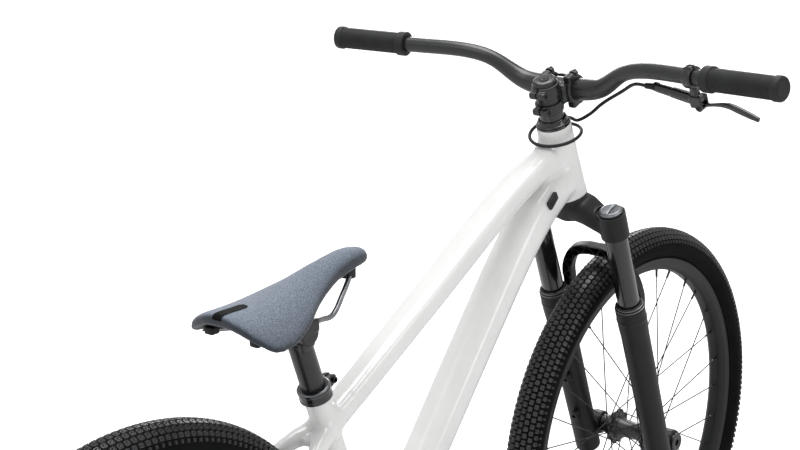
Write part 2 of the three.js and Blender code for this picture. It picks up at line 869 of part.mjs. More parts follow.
function rearAxlePiece() {
  const half = hubSpacing / 2 + dropoutThickness + gap + gap;
  const reach = point(0, half + axleNutLength, 0);
  const bar = rod(rearAxle.clone().sub(reach), rearAxle.clone().add(reach), rearAxleRadius, 10);
  const nuts = [-1, 1].map((side) => {
    const from = rearAxle.clone().add(point(0, side * half, 0));
    return rod(from, from.clone().add(point(0, side * axleNutLength, 0)), axleNutRadius, 6);
  });
  return joined([bar, ...nuts]);
}

const cartridgeSides = 12;

function cartridge() {
  const half = shellLength / 2;
  const lipRadius = shellRadius - tubeWall;
  const bore = clearOf(spindleRadius + gap, cartridgeSides);
  const outline = [
    [bore, -half - gap - cartridgeLip],
    [lipRadius, -half - gap - cartridgeLip],
    [lipRadius, -half - gap],
    [cartridgeRadius, -half - gap],
    [cartridgeRadius, half + gap],
    [lipRadius, half + gap],
    [lipRadius, half + gap + cartridgeLip],
    [bore, half + gap + cartridgeLip],
    [bore, -half - gap - cartridgeLip],
  ];
  return turnedAcross(outline, cartridgeSides).translate(bottomBracket.toArray());
}

// Headset cups: a lip outside the head tube and a sleeve inside its bore
const cupSides = 16;

function headsetCup(isUpper) {
  const sign = isUpper ? 1 : -1;
  const edge = isUpper ? headTubeTop : headTubeFoot;
  const radius = isUpper ? headTubeTopRadius : headTubeFootRadius;
  const lip = isUpper ? cupLip - gap : lowerCupLip - gap - gap;
  const [seatAt, outerAt] = [edge + sign * gap, edge + sign * (gap + lip)];
  const sleeveAt = edge - sign * headTubeBore;
  const inner = clearOf(steererRadius + runningGap, cupSides);
  const bevel = lip / 2;
  return turnedUp([
    [inner, outerAt],
    [radius - bevel, outerAt],
    [radius, outerAt - sign * bevel],
    [radius, seatAt],
    [headTubeBore - gap, seatAt],
    [headTubeBore - gap, sleeveAt],
    [inner, sleeveAt],
    [inner, outerAt],
  ], cupSides);
}

// Chain: two plates that follow the chainring and the cog, with rollers on the straight runs
function pitchRadius(teeth) {
  return chainPitch / (2 * Math.sin(Math.PI / teeth));
}

const ringPitch = pitchRadius(chainringTeeth);
const cogPitch = pitchRadius(cogTeeth);

// Angle of the line between the wheels and of the tangent points
const chainRun = bottomBracket.clone().sub(rearAxle);
const chainDistance = chainRun.length();
const chainLean = Math.atan2(chainRun.z, chainRun.x);
const tangentAngle = Math.acos((cogPitch - ringPitch) / chainDistance);

function polar(centre, radius, angle) {
  return [centre.x + radius * Math.cos(angle), centre.z + radius * Math.sin(angle)];
}

function chainOutline(offset) {
  const outline = [];
  const steps = 7;
  for (let i = 0; i <= steps; i += 1) {
    const angle = chainLean + lerp(-tangentAngle, tangentAngle, i / steps);
    const radius = ringPitch + offset;
    outline.push(polar(bottomBracket, radius, angle));
  }
  for (let i = 0; i <= steps; i += 1) {
    const angle = chainLean + lerp(tangentAngle, 2 * Math.PI - tangentAngle, i / steps);
    const radius = cogPitch + offset;
    outline.push(polar(rearAxle, radius, angle));
  }
  return outline;
}

function chain() {
  const half = plateHeight / 2;
  const plates = [-1, 1].map((side) => {
    const low = -chainLine + (side * platePitch - plateThickness) / 2;
    return plateAcross(chainOutline(half), low, low + plateThickness, [chainOutline(-half)]);
  });
  return joined([...plates, ...chainRollers()]);
}

function chainRollers() {
  const rollers = [];
  const everyLinks = 3; // rollers are drawn on every third link
  const spareLinks = 2; // and none on the last two
  for (const side of [-1, 1]) {
    const angle = chainLean + side * tangentAngle;
    const out = point(Math.cos(angle), 0, Math.sin(angle));
    const from = bottomBracket.clone().addScaledVector(out, ringPitch);
    const to = rearAxle.clone().addScaledVector(out, cogPitch);
    const length = from.distanceTo(to);
    const step = everyLinks * chainPitch;
    for (let run = step; run < length - spareLinks * chainPitch; run += step) {
      const middle = from.clone().lerp(to, run / length);
      const start = middle.clone().add(point(0, -chainLine - platePitch / 2, 0));
      rollers.push(rod(start, start.clone().add(point(0, platePitch, 0)), rollerRadius, 5));
    }
  }
  return rollers;
}

// Toothed wheels
function toothOutline(teeth) {
  const pitch = pitchRadius(teeth);
  const outline = [];
  const toothShares = [-0.32, 0, 0.32];
  const heights = [-toothRoot, toothHeight, -toothRoot];
  for (let tooth = 0; tooth < teeth; tooth += 1) {
    toothShares.forEach((share, i) => {
      const angle = (2 * Math.PI * (tooth + share)) / teeth;
      outline.push([(pitch + heights[i]) * Math.cos(angle), (pitch + heights[i]) * Math.sin(angle)]);
    });
  }
  return outline;
}

const spindleSides = 14;

function chainring() {
  const low = -chainLine - toothThickness / 2;
  const high = -chainLine + toothThickness / 2;
  const ring = plateAcross(toothOutline(chainringTeeth), low, high, [circleOutline(chainringHole, 18)]);
  const arms = [0, 1, 2, 3].map((i) => {
    const angle = (Math.PI * (i + 0.5)) / 2;
    const out = point(Math.cos(angle), 0, Math.sin(angle));
    const from = out.clone().multiplyScalar(spindleRadius + tubeWall);
    const to = out.clone().multiplyScalar(chainringHole + tubeWall);
    return loft([from, to].map((centre) => ({
      centre: centre.setY(-chainLine), direction: out, across: along, width: toothThickness / 2,
      height: crankEndWidth / 2, squareness: 20,
    })), 4);
  });
  const bore = clearOf(spindleRadius + gap, spindleSides);
  const centre = turnedAcross(ringProfile(bore, spindleRadius + toothRoot, low, high), spindleSides);
  return joined([ring, centre, ...arms]).translate(bottomBracket.toArray());
}

const cogSides = 16;

function rearCog() {
  const thickness = toothThickness / 2;
  const outline = toothOutline(cogTeeth);
  const bore = clearOf(driverRadius + runningGap, cogSides);
  const reach = thickness + toothRoot;
  const plate = plateAcross(outline, -thickness, thickness);
  const body = turnedAcross(ringProfile(bore, driverRadius + toothRoot, -reach, reach), cogSides);
  const open = turnedAcross([[0, -reach], [bore, -reach], [bore, reach], [0, reach]], cogSides);
  const cog = joined([cut(plate, [open]), body]).translate([0, -chainLine, 0]);
  return cog.translate(rearAxle.toArray());
}

// Cranks and pedals. The right arm points forward, the left one back
function crankArm(side) {
  const middle = crankFace + crankThickness / 2;
  const thicknesses = [crankThickness / 2, crankThickness / 2, crankEndThickness / 2];
  const widths = [crankWidth, crankEndWidth, crankEndWidth];
  const placeShares = [0, 0.2, 1];
  const outShares = [0, 0.1, 1];
  const curve = placeShares.map((share, i) => ({
    centre: point(share * crankLength, middle + outShares[i] * crankFlare, 0),
    direction: point(1, 0, 0),
    across: along,
    width: thicknesses[i],
    height: widths[i],
    squareness: 3,
  }));
  const arm = loft(curve, 8);
  const boss = rod(point(0, crankFace, 0), point(0, crankFace + crankThickness, 0), crankWidth, 16);
  const eyeAt = middle + crankFlare;
  const eyeHalf = crankEndThickness / 2;
  const eye = rod(
    point(crankLength, eyeAt - eyeHalf, 0), point(crankLength, eyeAt + eyeHalf, 0), crankEndWidth, 14,
  );
  const hole = drilled(
    point(crankLength, eyeAt - crankThickness, 0), point(crankLength, eyeAt + crankThickness, 0),
    pedalAxleRadius + gap, 10,
  );
  return { body: cut(joined([arm, boss, eye]), [hole]), eyeAt, eyeHalf };
}

function crankRight() {
  const arm = crankArm(1).body.mirror([0, 1, 0]);
  const reach = crankFace + crankThickness;
  const spindle = rod(
    point(0, -crankFace - overrun, 0), point(0, reach, 0), spindleRadius, spindleSides,
  );
  return joined([arm, spindle]).translate(bottomBracket.toArray());
}

function crankLeft() {
  const reach = crankFace + crankThickness;
  const cover = rod(
    point(0, reach + gap - overrun, 0), point(0, reach + gap + plateThickness, 0),
    spindleRadius + toothRoot, spindleSides,
  );
  const bore = drilled(
    point(0, crankFace - overrun, 0), point(0, reach + gap, 0), spindleRadius + gap, spindleSides,
  );
  const arm = cut(joined([crankArm(1).body, cover]), [bore]);
  return arm.mirror([1, 0, 0]).translate(bottomBracket.toArray());
}

function pedalCentre(side) {
  const { eyeAt, eyeHalf } = crankArm(1);
  return bottomBracket.clone().add(point(-side * crankLength, side * (eyeAt + eyeHalf), 0));
}

function pedalAxle(side) {
  const out = pedalCentre(side);
  const collar = axleNutLength / 2;
  const start = out.clone().add(point(0, side * gap, 0));
  const flange = rod(start, start.clone().add(point(0, side * collar, 0)), pedalFlangeRadius, 6);
  const thread = rod(
    out.clone().add(point(0, -side * crankEndThickness, 0)),
    out.clone().add(point(0, side * (pedalWidth - pedalFrame), 0)),
    pedalAxleRadius, 10,
  );
  return joined([flange, thread]);
}

function pedal(side) {
  const out = pedalCentre(side);
  const inner = axleNutLength / 2 + gap + runningGap;
  const [l, w, t] = [pedalLength / 2, pedalWidth, pedalThickness / 2];
  const cornerShare = 0.14;
  const corner = w * cornerShare;
  const shape = new THREE.Shape(flatPoints([
    [-l + corner, 0], [l - corner, 0], [l, corner], [l, w - corner], [l - corner, w], [-l + corner, w],
    [-l, w - corner], [-l, corner],
  ]));
  const plate = new THREE.ExtrudeGeometry(shape, { depth: 2 * t, bevelEnabled: false });
  const flat = solid(plate.translate(0, inner, -t));
  const [near, far] = [pedalAxleRadius + pedalFrame / 2, l - pedalFrame];
  const windows = [-1, 1].map((sign) => box(
    point(far - near, w - 2 * pedalFrame, 4 * t), point((sign * (near + far)) / 2, inner + w / 2, 0),
  ));
  const boreEnd = point(0, w - pedalFrame + inner, 0);
  const bore = drilled(point(0, 0, 0), boreEnd, pedalAxleRadius + runningGap, 10);
  return mirrored(cut(flat, [bore, ...windows]), side).translate(out.toArray());
}

// Wheels, drawn about their own axle
function tyre() {
  const half = tyreWidth / 2;
  const shoulderShares = [[0.4, 1], [0.76, 0.86], [1, 0.34]];
  const bead = rimRadius + beadRise;
  const outer = shoulderShares.map(([up, out]) => [bead + up * (tyreHeight - beadRise), out * half]);
  const beadOut = rimWidth / 2 - tubeWall - gap;
  const side = [[bead - rimWell - gap, beadOut], [rimRadius + gap + gap, beadOut], ...outer];
  const mirror = side.map(([r, y]) => [r, -y]);
  return turnedAcross([...mirror, ...side.slice().reverse(), mirror[0]], wheelSides);
}

function rim() {
  const half = rimWidth / 2;
  const inner = rimRadius - rimDepth;
  const floor = rimRadius - rimWell - gap - tubeWall;
  return turnedAcross([
    [rimRadius, half - tubeWall],
    [rimRadius, half],
    [rimRadius - rimSideDepth, half],
    [inner, half / 2],
    [inner, -half / 2],
    [rimRadius - rimSideDepth, -half],
    [rimRadius, -half],
    [rimRadius, -half + tubeWall],
    [floor, -half + tubeWall],
    [floor, half - tubeWall],
    [rimRadius, half - tubeWall],
  ], wheelSides);
}

// Spokes of one side: each leads or trails its hub hole, and they touch where they cross further
// out. A spoke ends in its nipple, just short of the rim
function lacing(flangeAt) {
  const spokes = [];
  const step = (2 * Math.PI) / spokeCount;
  const hubRadius = hubFlangeRadius + spokeRadius + runningGap;
  const end = (rimRadius - rimDepth) * Math.cos(Math.PI / wheelSides) - gap;
  const first = flangeAt > 0 ? 0 : 1;
  for (let i = 0; i < spokeCount / 2; i += 1) {
    const sign = i % 2 === 0 ? 1 : -1;
    const rimAngle = step * (2 * i + first);
    const hubAngle = rimAngle + sign * step * lacingStep;
    const from = point(hubRadius * Math.cos(hubAngle), 0, hubRadius * Math.sin(hubAngle));
    from.y = flangeAt + sign * spokeStagger;
    const out = Math.sign(flangeAt) * nippleRadius;
    spokes.push(spoke(from, point(end * Math.cos(rimAngle), out, end * Math.sin(rimAngle))));
  }
  return joined(spokes);
}

function spoke(from, to) {
  const nippleFrom = to.clone().lerp(from, nippleLength / from.distanceTo(to));
  const direction = to.clone().sub(from);
  const radii = [spokeRadius, spokeRadius, nippleRadius];
  return loft([from, nippleFrom, to].map((centre, i) => ({
    centre, direction, across: along, width: radii[i], height: radii[i], squareness: 20,
  })), 3);
}

const hubSides = 12;

function frontHub() {
  const [f, h, t] = [frontFlangeSpread, frontHubSpacing / 2 - gap, hubFlangeThickness / 2];
  const inner = clearOf(frontAxleRadius + runningGap, hubSides);
  const outline = [
    [inner, -h], [hubEndRadius, -h], [hubShellRadius, -f - t], [hubFlangeRadius, -f - t],
    [hubFlangeRadius, -f + t], [hubShellRadius, -f + t], [hubShellRadius, f - t], [hubFlangeRadius, f - t],
    [hubFlangeRadius, f + t], [hubShellRadius, f + t], [hubEndRadius, h], [inner, h], [inner, -h],
  ];
  return turnedAcross(outline, hubSides);
}

function rearHub() {
  const [l, r, t] = [rearFlangeLeft, rearFlangeRight, hubFlangeThickness / 2];
  const inner = clearOf(rearAxleRadius + runningGap, hubSides);
  const h = hubSpacing / 2 - gap;
  const rotorFace = rotorFromMiddle - rotorThickness / 2 - gap;
  const driverTop = chainLine - toothThickness - toothRoot - 2 * runningGap;
  return turnedAcross([
    [inner, -h], [driverRadius - tubeWall, -h], [driverRadius, -h + tubeWall],
    [driverRadius, -driverTop], [hubShellRadius, -driverTop], [hubShellRadius, -r - t],
    [hubFlangeRadius, -r - t], [hubFlangeRadius, -r + t], [hubShellRadius, -r + t],
    [hubShellRadius, l - t], [hubFlangeRadius, l - t], [hubFlangeRadius, l + t],
    [hubShellRadius, l + t], [rotorHubRadius - tubeWall, rotorFace - tubeWall],
    [rotorHubRadius - tubeWall, rotorFace], [hubEndRadius, rotorFace], [hubEndRadius, h],
    [inner, h], [inner, -h],
  ], hubSides);
}

function rotor() {
  const [low, high] = [-rotorThickness / 2, rotorThickness / 2];
  const track = turnedAcross(ringProfile(rotorRadius - rotorTrack, rotorRadius, low, high), 24);
  const bore = clearOf(hubEndRadius + gap, hubSides);
  const centre = turnedAcross(ringProfile(bore, rotorHubRadius, low, high), hubSides);
  const arms = Array.from({ length: rotorArms }, (unused, i) => {
    const angle = (2 * Math.PI * i) / rotorArms;
    const lead = angle + radians(rotorArmLead);
    const from = point(Math.cos(angle), 0, Math.sin(angle)).multiplyScalar(rotorHubRadius - tubeWall);
    const reach = rotorRadius - rotorTrack + tubeWall;
    const to = point(Math.cos(lead), 0, Math.sin(lead)).multiplyScalar(reach);
    const direction = to.clone().sub(from);
    return loft([from, to].map((place) => ({
      centre: place, direction, across: along, width: rotorThickness / 2, height: rotorArmHeight / 2,
      squareness: 20,
    })), 4);
  });
  return joined([track, centre, ...arms]).translate([0, rotorFromMiddle, 0]);
}

// Fork, in the steering's own frame: x ahead of the axis, z up along it from the axle's foot
const legSides = 18;

function stanchion(side) {
  const [x, y] = [legAhead, side * stanchionSpread];
  const tube = rod(point(x, y, stanchionFoot), point(x, y, socketTop - gap), stanchionRadius, legSides);
  if (side < 0) return tube;
  const capTop = point(x, y, socketTop + knobHeight / 2);
  const cap = rod(point(x, y, socketTop - gap - overrun), capTop, stanchionRadius, legSides);
  const hex = rod(point(x, y, socketTop), point(x, y, socketTop + knobHeight), capHexRadius, 6);
  return joined([tube, cap, hex]);
}

function crownStations() {
  const placeShares = [-1, -0.72, -0.45, -0.25, 0.25, 0.45, 0.72, 1];
  const riseShares = [0.2, 0.38, 0.84, 1, 1, 0.84, 0.38, 0.2];
  const middleShare = 0.5;
  return placeShares.map((share, i) => {
    const middle = Math.abs(share) < middleShare;
    const thickness = lerp(crownEndThickness, crownThickness, riseShares[i]);
    const top = lerp(socketTop - crownEndThickness / 2, forkLength - gap, riseShares[i]);
    return {
      centre: point(legAhead, share * stanchionSpread, top - thickness / 2),
      direction: along,
      across: point(1, 0, 0),
      width: middle ? crownDepth : crownEndDepth,
      height: thickness / 2,
      squareness: 3.2,
    };
  });
}

function forkCrown() {
  const bridge = loft(crownStations(), 10);
  const raceFoot = forkLength - crownThickness + overrun;
  const raceTop = forkLength - gap;
  const race = turnedUp([
    [0, raceFoot], [crownDepth - tubeWall, raceFoot], [crownDepth, raceTop - lowerCupLip],
    [crownDepth, raceTop], [steererRadius, raceTop], [steererRadius, steererTop()], [0, steererTop()],
  ], 18);
  const sockets = [-1, 1].map((side) => {
    const [x, y] = [legAhead, side * stanchionSpread];
    return rod(point(x, y, socketFoot), point(x, y, socketTop), socketRadius, 20);
  });
  const bores = [-1, 1].map((side) => {
    const [x, y] = [legAhead, side * stanchionSpread];
    return drilled(
      point(x, y, socketFoot - overrun), point(x, y, socketTop + crownThickness),
      stanchionRadius + gap, legSides,
    );
  });
  const capRooms = [-1, 1].map((side) => {
    const [x, y] = [legAhead, side * stanchionSpread];
    return drilled(point(x, y, socketTop), point(x, y, forkLength), knobRadius + runningGap, legSides);
  });
  return cut(joined([bridge, race, ...sockets]), [...bores, ...capRooms]);
}

function steererTop() {
  return headTubeTop + coverHeight + spacerHeight + stemHeight - tubeWall;
}

function legSolid(side) {
  const [x, y] = [legAhead, side * stanchionSpread];
  const riseShares = [0.6, 0.84, 0.9];
  const widenShares = [0.5, 0.6, 1];
  const widening = riseShares.map((share, i) => (
    [lerp(lowersFootRadius, lowersRadius, widenShares[i]), share * lowersTop]
  ));
  const profile = [
    [0, -lowersFoot], [lowersFootRadius - tubeWall, -lowersFoot],
    [lowersFootRadius, tubeWall - lowersFoot], [lowersFootRadius, lowersWell], ...widening,
    [lowersRadius, lowersTop], [0, lowersTop],
  ];
  return turnedUp(profile, 14).translate([x, y, 0]);
}

function archStations() {
  const top = tyreRadius + archRise;
  const ahead = forkOffset;
  const legSide = stanchionSpread - archHeight / 2;
  const startAt = lowersTop - archDrop;
  const outShares = [1, 1.02, 0.93, 0.62, 0.24, 0];
  const riseShares = [0, 0.34, 0.68, 0.93, 1, 1];
  const forwardShares = [0.35, 0.95, 1, 1, 1, 1];
  return outShares.map((share, i) => point(
    lerp(legAhead, ahead, forwardShares[i]), legSide * share, lerp(startAt, top, riseShares[i]),
  ));
}

function forkArch() {
  const half = archStations();
  const other = half.slice(0, -1).map((place) => point(place.x, -place.y, place.z)).reverse();
  const curve = new THREE.CatmullRomCurve3([...half, ...other], false, 'centripetal');
  const steps = 12;
  const shares = Array.from({ length: steps + 1 }, (unused, i) => i / steps);
  return loft(shares.map((share) => ({
    centre: curve.getPointAt(share),
    direction: curve.getTangentAt(share),
    across: point(1, 0, 0),
    width: archDepth,
    height: archHeight / 2,
    squareness: 3.5,
  })), 8);
}

function forkLowers() {
  const legs = [-1, 1].map((side) => legSolid(side));
  const bosses = [-1, 1].map((side) => {
    const from = point(forkOffset, side * (frontHubSpacing / 2 + gap), 0);
    const to = point(forkOffset, side * (frontAxleReach - gap), 0);
    return rod(from, to, axleBossRadius, 16);
  });
  const bores = [-1, 1].map((side) => {
    const [x, y] = [legAhead, side * stanchionSpread];
    const top = point(x, y, lowersTop + overrun);
    return drilled(point(x, y, lowersWell), top, stanchionRadius + runningGap, legSides);
  });
  const reach = frontAxleReach + overrun;
  const axle = drilled(
    point(forkOffset, -reach, 0), point(forkOffset, reach, 0), frontAxleRadius + gap, 14,
  );
  const hubRoom = box(
    point(axleBossRadius * 6, frontHubSpacing, axleBossRadius * 4), point(forkOffset, 0, 0),
  );
  const sealRooms = [-1, 1].map((side) => {
    const [x, y] = [legAhead, side * stanchionSpread];
    const top = point(x, y, lowersTop + sealHeight * 2);
    return drilled(point(x, y, lowersTop), top, lowersRadius + gap, legSides);
  });
  return cut(joined([...legs, ...bosses, forkArch()]), [...bores, ...sealRooms, axle, hubRoom]);
}

function frontAxlePiece() {
  const reach = frontAxleReach;
  const bar = rod(point(forkOffset, -reach, 0), point(forkOffset, reach, 0), frontAxleRadius, 14);
  const head = rod(
    point(forkOffset, -reach - axleNutLength / 2, 0), point(forkOffset, -reach, 0),
    frontAxleRadius + tubeWall * 2, 6,
  );
  return joined([bar, head]);
}

function wiperSeal(side) {
  const foot = lowersTop + gap;
  const [x, y] = [legAhead, side * stanchionSpread];
  const inner = clearOf(stanchionRadius + runningGap, legSides);
  return turnedUp([
    [inner, foot], [lowersRadius, foot], [lowersRadius, foot + sealHeight / 2],
    [stanchionRadius + tubeWall, foot + sealHeight], [inner, foot + sealHeight], [inner, foot],
  ], legSides).translate([x, y, 0]);
}

function compressionKnob() {
  const [x, y] = [legAhead, -stanchionSpread];
  const foot = socketTop + gap;
  const round = rod(point(x, y, foot), point(x, y, foot + knobHeight), knobRadius, 18);
  const grip = box(
    point(knobRadius, tubeWall, knobHeight), point(x, y, foot + knobHeight / 2 + overrun),
  );
  return joined([round, grip]);
}

function reboundKnob() {
  const [x, y] = [legAhead, -stanchionSpread];
  const top = -lowersFoot - gap;
  return rod(point(x, y, top - reboundHeight), point(x, y, top), reboundRadius, 12);
}

// Headset cover, spacer, stem and top cap
const coverSides = 20;

function headsetCover() {
  const foot = headTubeTop + cupLip + gap;
  const top = headTubeTop + coverHeight + spacerHeight - gap;
  const inner = clearOf(steererRadius + gap, coverSides);
  const outer = headTubeTopRadius - tubeWall / 2;
  const coverTop = headTubeTop + coverHeight;
  return turnedUp([
    [inner, foot], [outer, foot], [outer, foot + cupLip / 2], [coverTopRadius, coverTop],
    [spacerRadius, coverTop], [spacerRadius, top], [inner, top], [inner, foot],
  ], coverSides);
}

const clampSides = 18;
const stemFoot = headTubeTop + coverHeight + spacerHeight;
const barCentre = point(stemReach, 0, stemFoot + stemBarRise);

function barRod(radius, half, sides) {
  return rod(
    barCentre.clone().add(point(0, -half, 0)), barCentre.clone().add(point(0, half, 0)), radius, sides,
  );
}

function aheadOfBar(start, depth) {
  const span = 2 * (stemBarWidth + overrun);
  const size = point(depth, span, stemHeight * 2);
  return box(size, point(barCentre.x + start + depth / 2, 0, barCentre.z));
}

function stem() {
  const top = stemFoot + stemHeight;
  const clamp = rod(point(0, 0, stemFoot), point(0, 0, top), stemRadius, 18);
  const neck = loft([0, 1].map((share) => ({
    centre: point(share * stemReach, 0, stemFoot + stemBarRise),
    direction: point(1, 0, 0),
    across: along,
    width: lerp(stemNeckWidth, stemBarWidth, share),
    height: lerp(stemBarRise - gap, stemNeckHeight, share),
    squareness: 4,
  })), 8);
  const earShares = [0.2, 0.8];
  const ears = earShares.map((share) => box(
    point(stemEarDepth, stemEarWidth, stemEarHeight),
    point(-stemRadius - boltHead / 2, 0, stemFoot + stemHeight * share),
  ));
  const posts = faceplateBolts().map(([y, z]) => rod(
    point(barCentre.x - stemBarRadius / 2, y, z), point(barCentre.x + faceplateAhead - gap, y, z),
    boltRadius * 2, 8,
  ));
  const bore = drilled(
    point(0, 0, stemFoot - overrun), point(0, 0, top + overrun), steererRadius + gap, 16,
  );
  const split = box(
    point(stemRadius * 2, slotWidth, stemHeight * 2), point(-stemRadius, 0, stemFoot + stemHeight / 2),
  );
  const front = aheadOfBar(faceplateAhead - gap, stemBarRadius * 3);
  const barClamp = barRod(stemBarRadius, stemBarWidth, clampSides);
  return cut(joined([clamp, neck, barClamp, ...ears, ...posts]), [bore, barRoom(), split, front]);
}

function barRoom() {
  return barRod(clearOf(barRadius + gap, clampSides), stemBarWidth * 2, clampSides);
}

function faceplateBolts() {
  const [y, z] = [stemBarWidth - boltRadius * 2, stemBarRadius + boltRadius / 2];
  return [[-y, -z], [y, -z], [-y, z], [y, z]].map(([across, up]) => [across, barCentre.z + up]);
}

function stemFaceplate() {
  const ring = barRod(stemBarRadius - overrun / 2, stemBarWidth, clampSides);
  const open = box(
    point(stemBarRadius * 2, stemBarWidth, stemBarRadius),
    barCentre.clone().add(point(stemBarRadius, 0, 0)),
  );
  const front = faceplateAhead + boltHead;
  const ears = faceplateBolts().map(([y, z]) => rod(
    point(barCentre.x + faceplateAhead, y, z), point(barCentre.x + front, y, z), boltRadius * 2, 8,
  ));
  const heads = faceplateBolts().map(([y, z]) => rod(
    point(barCentre.x + front - gap, y, z), point(barCentre.x + front + boltHead, y, z), boltRadius, 6,
  ));
  const behind = aheadOfBar(faceplateAhead - stemBarRadius * 4, stemBarRadius * 4);
  return cut(joined([ring, ...ears, ...heads]), [barRoom(), open, behind]);
}

function topCap() {
  const foot = stemFoot + stemHeight + gap;
  const top = foot + topCapHeight;
  return turnedUp([
    [0, foot], [topCapRadius, foot], [topCapRadius, top - tubeWall], [topCapRadius - tubeWall, top],
    [topCapRecess, top], [topCapRecess, top - tubeWall], [0, top - tubeWall],
  ], 18);
}

// Handlebar: straight in the clamp, up to the bend, then back along the line of the grips
function barPath() {
  const outShares = [0, 0.33, 0.8];
  const backShares = [0, 0.06, 0.6];
  const riseShares = [0, 0.14, 0.8];
  const bend = outShares.map((share, i) => point(
    barCentre.x - backShares[i] * barBack,
    lerp(barClampReach, barBendReach, share),
    barCentre.z + riseShares[i] * barRise,
  ));
  const bentShare = 0.065;
  return [...bend, ...[bentShare, gripStartShare, 1].map((share) => onGripLine(share))];
}

const gripStartShare = (barWidth / 2 - gripLength - barBendReach) / (barWidth / 2 - barBendReach);

function onGripLine(share) {
  return point(
    barCentre.x - lerp(barBack, barEndBack, share),
    lerp(barBendReach, barWidth / 2, share),
    barCentre.z + lerp(barRise, barEndRise, share),
  );
}

function barEndPlace() {
  return onGripLine(1);
}

function gripInner() {
  return onGripLine(gripStartShare);
}

function handlebar(grow) {
  const half = barPath();
  const other = half.map((place) => point(place.x, -place.y, place.z)).reverse();
  const curve = new THREE.CatmullRomCurve3([...other, ...half], false, 'centripetal');
  const shares = [0, 0.18, 0.26, 0.31, 0.335, 0.36, 0.385, 0.415, 0.46];
  const all = [...shares, ...shares.map((share) => 1 - share).reverse()];
  return loft(all.map((share) => {
    const centre = curve.getPointAt(share);
    const taper = (Math.abs(centre.y) - barClampReach) / (barTaperEnd - barClampReach);
    const radius = lerp(barRadius, barEndRadius, THREE.MathUtils.smoothstep(taper, 0, 1));
    const isEnd = share === 0 || share === 1;
    const direction = isEnd ? gripDirection(Math.sign(centre.y)) : curve.getTangentAt(share);
    return { centre, direction, across: point(1, 0, 0), width: radius, height: radius };
  }), 12, grow);
}

function gripDirection(side) {
  const inner = gripInner();
  const run = barEndPlace().sub(inner).normalize();
  return point(run.x, side * run.y, run.z).multiplyScalar(side);
}

// A frame on the bar: z runs outward along the grip from its inner end, y is across
function gripMatrix(side, distance) {
  const inner = gripInner();
  const out = barEndPlace().sub(inner).normalize();
  const centre = inner.clone().addScaledVector(out, distance);
  const z = point(out.x, side * out.y, out.z);
  const x = point(0, 0, -1).addScaledVector(z, z.z).normalize();
  const y = new THREE.Vector3().crossVectors(z, x);
  const matrix = new THREE.Matrix4().makeBasis(x, y, z);
  return matrix.setPosition(centre.x, side * centre.y, centre.z);
}

const gripSides = 16;

function grip(side) {
  const length = barEndPlace().distanceTo(gripInner());
  const inner = clearOf(barEndRadius + gap, gripSides);
  const top = length + gripCap;
  const body = turnedUp([
    [inner, 0], [gripCollar, 0], [gripCollar, gripCollarLength], [gripRadius, gripCollarLength],
    [gripRadius, top - overrun], [gripRadius - overrun, top], [0, top], [0, length + gap],
    [inner, length + gap], [inner, 0],
  ], gripSides);
  return body.transform(matrixNumbers(gripMatrix(side, 0)));
}

// Brake lever on the right, in a frame on the bar: x towards the ground, z outward, y across
const leverFrame = gripMatrix(-1, gripLength - leverClampFromEnd - leverClampWidth / 2);
const pivotPlace = point(pivotDrop, 0, pivotOut);

function leverBody() {
  const half = leverClampWidth / 2;
  const clamp = rod(point(0, 0, -half), point(0, 0, half), barEndRadius + leverClampWall, 16);
  const cylinderFrom = point(cylinderDrop - cylinderSlope / 2, 0, -cylinderInner);
  const cylinderTo = point(cylinderDrop + cylinderSlope, 0, cylinderOuter);
  const cylinder = rod(cylinderFrom, cylinderTo, cylinderInnerRadius, 12, cylinderRadius);
  const neck = box(
    point(cylinderDrop, leverNeckWidth, leverNeckLength), point(cylinderDrop / 2 + overrun, 0, 0),
  );
  const cheekAt = bladeThickness / 2 + runningGap;
  const cheeks = [-1, 1].map((side) => {
    const low = side > 0 ? cheekAt : -cheekAt - earThickness;
    const from = point(cylinderDrop, low, -pivotOut);
    const size = point(pivotDrop - cylinderDrop, earThickness, 3 * pivotOut);
    const plate = box(size, point(from.x + size.x / 2, low + earThickness / 2, pivotOut / 2));
    const end = rod(
      point(pivotDrop, low, pivotOut), point(pivotDrop, low + earThickness, pivotOut), pivotRadius, 10,
    );
    return joined([plate, end]);
  });
  const pinHalf = point(0, cheekAt + overrun, 0);
  const pin = rod(pivotPlace.clone().sub(pinHalf), pivotPlace.clone().add(pinHalf), pivotPinRadius, 8);
  const bootFrom = point(cylinderFrom.x, 0, -cylinderInner - bootLength);
  const bootTo = point(cylinderFrom.x, 0, -cylinderInner + overrun);
  const boot = rod(bootFrom, bootTo, bootEndRadius, 8, bootRadius);
  const bladeRoom = box(
    point(pivotRadius * 3, bladeThickness + 2 * runningGap, pivotRadius * 6),
    point(pivotDrop, 0, pivotOut + pivotRadius),
  );
  const bore = drilled(
    point(0, 0, -half - overrun), point(0, 0, half + overrun), barEndRadius + gap, 14,
  );
  const body = cut(joined([clamp, neck, cylinder, boot, ...cheeks]), [bore, bladeRoom]);
  return cut(joined([body, pin]).transform(matrixNumbers(leverFrame)), [handlebar(gap)]);
}

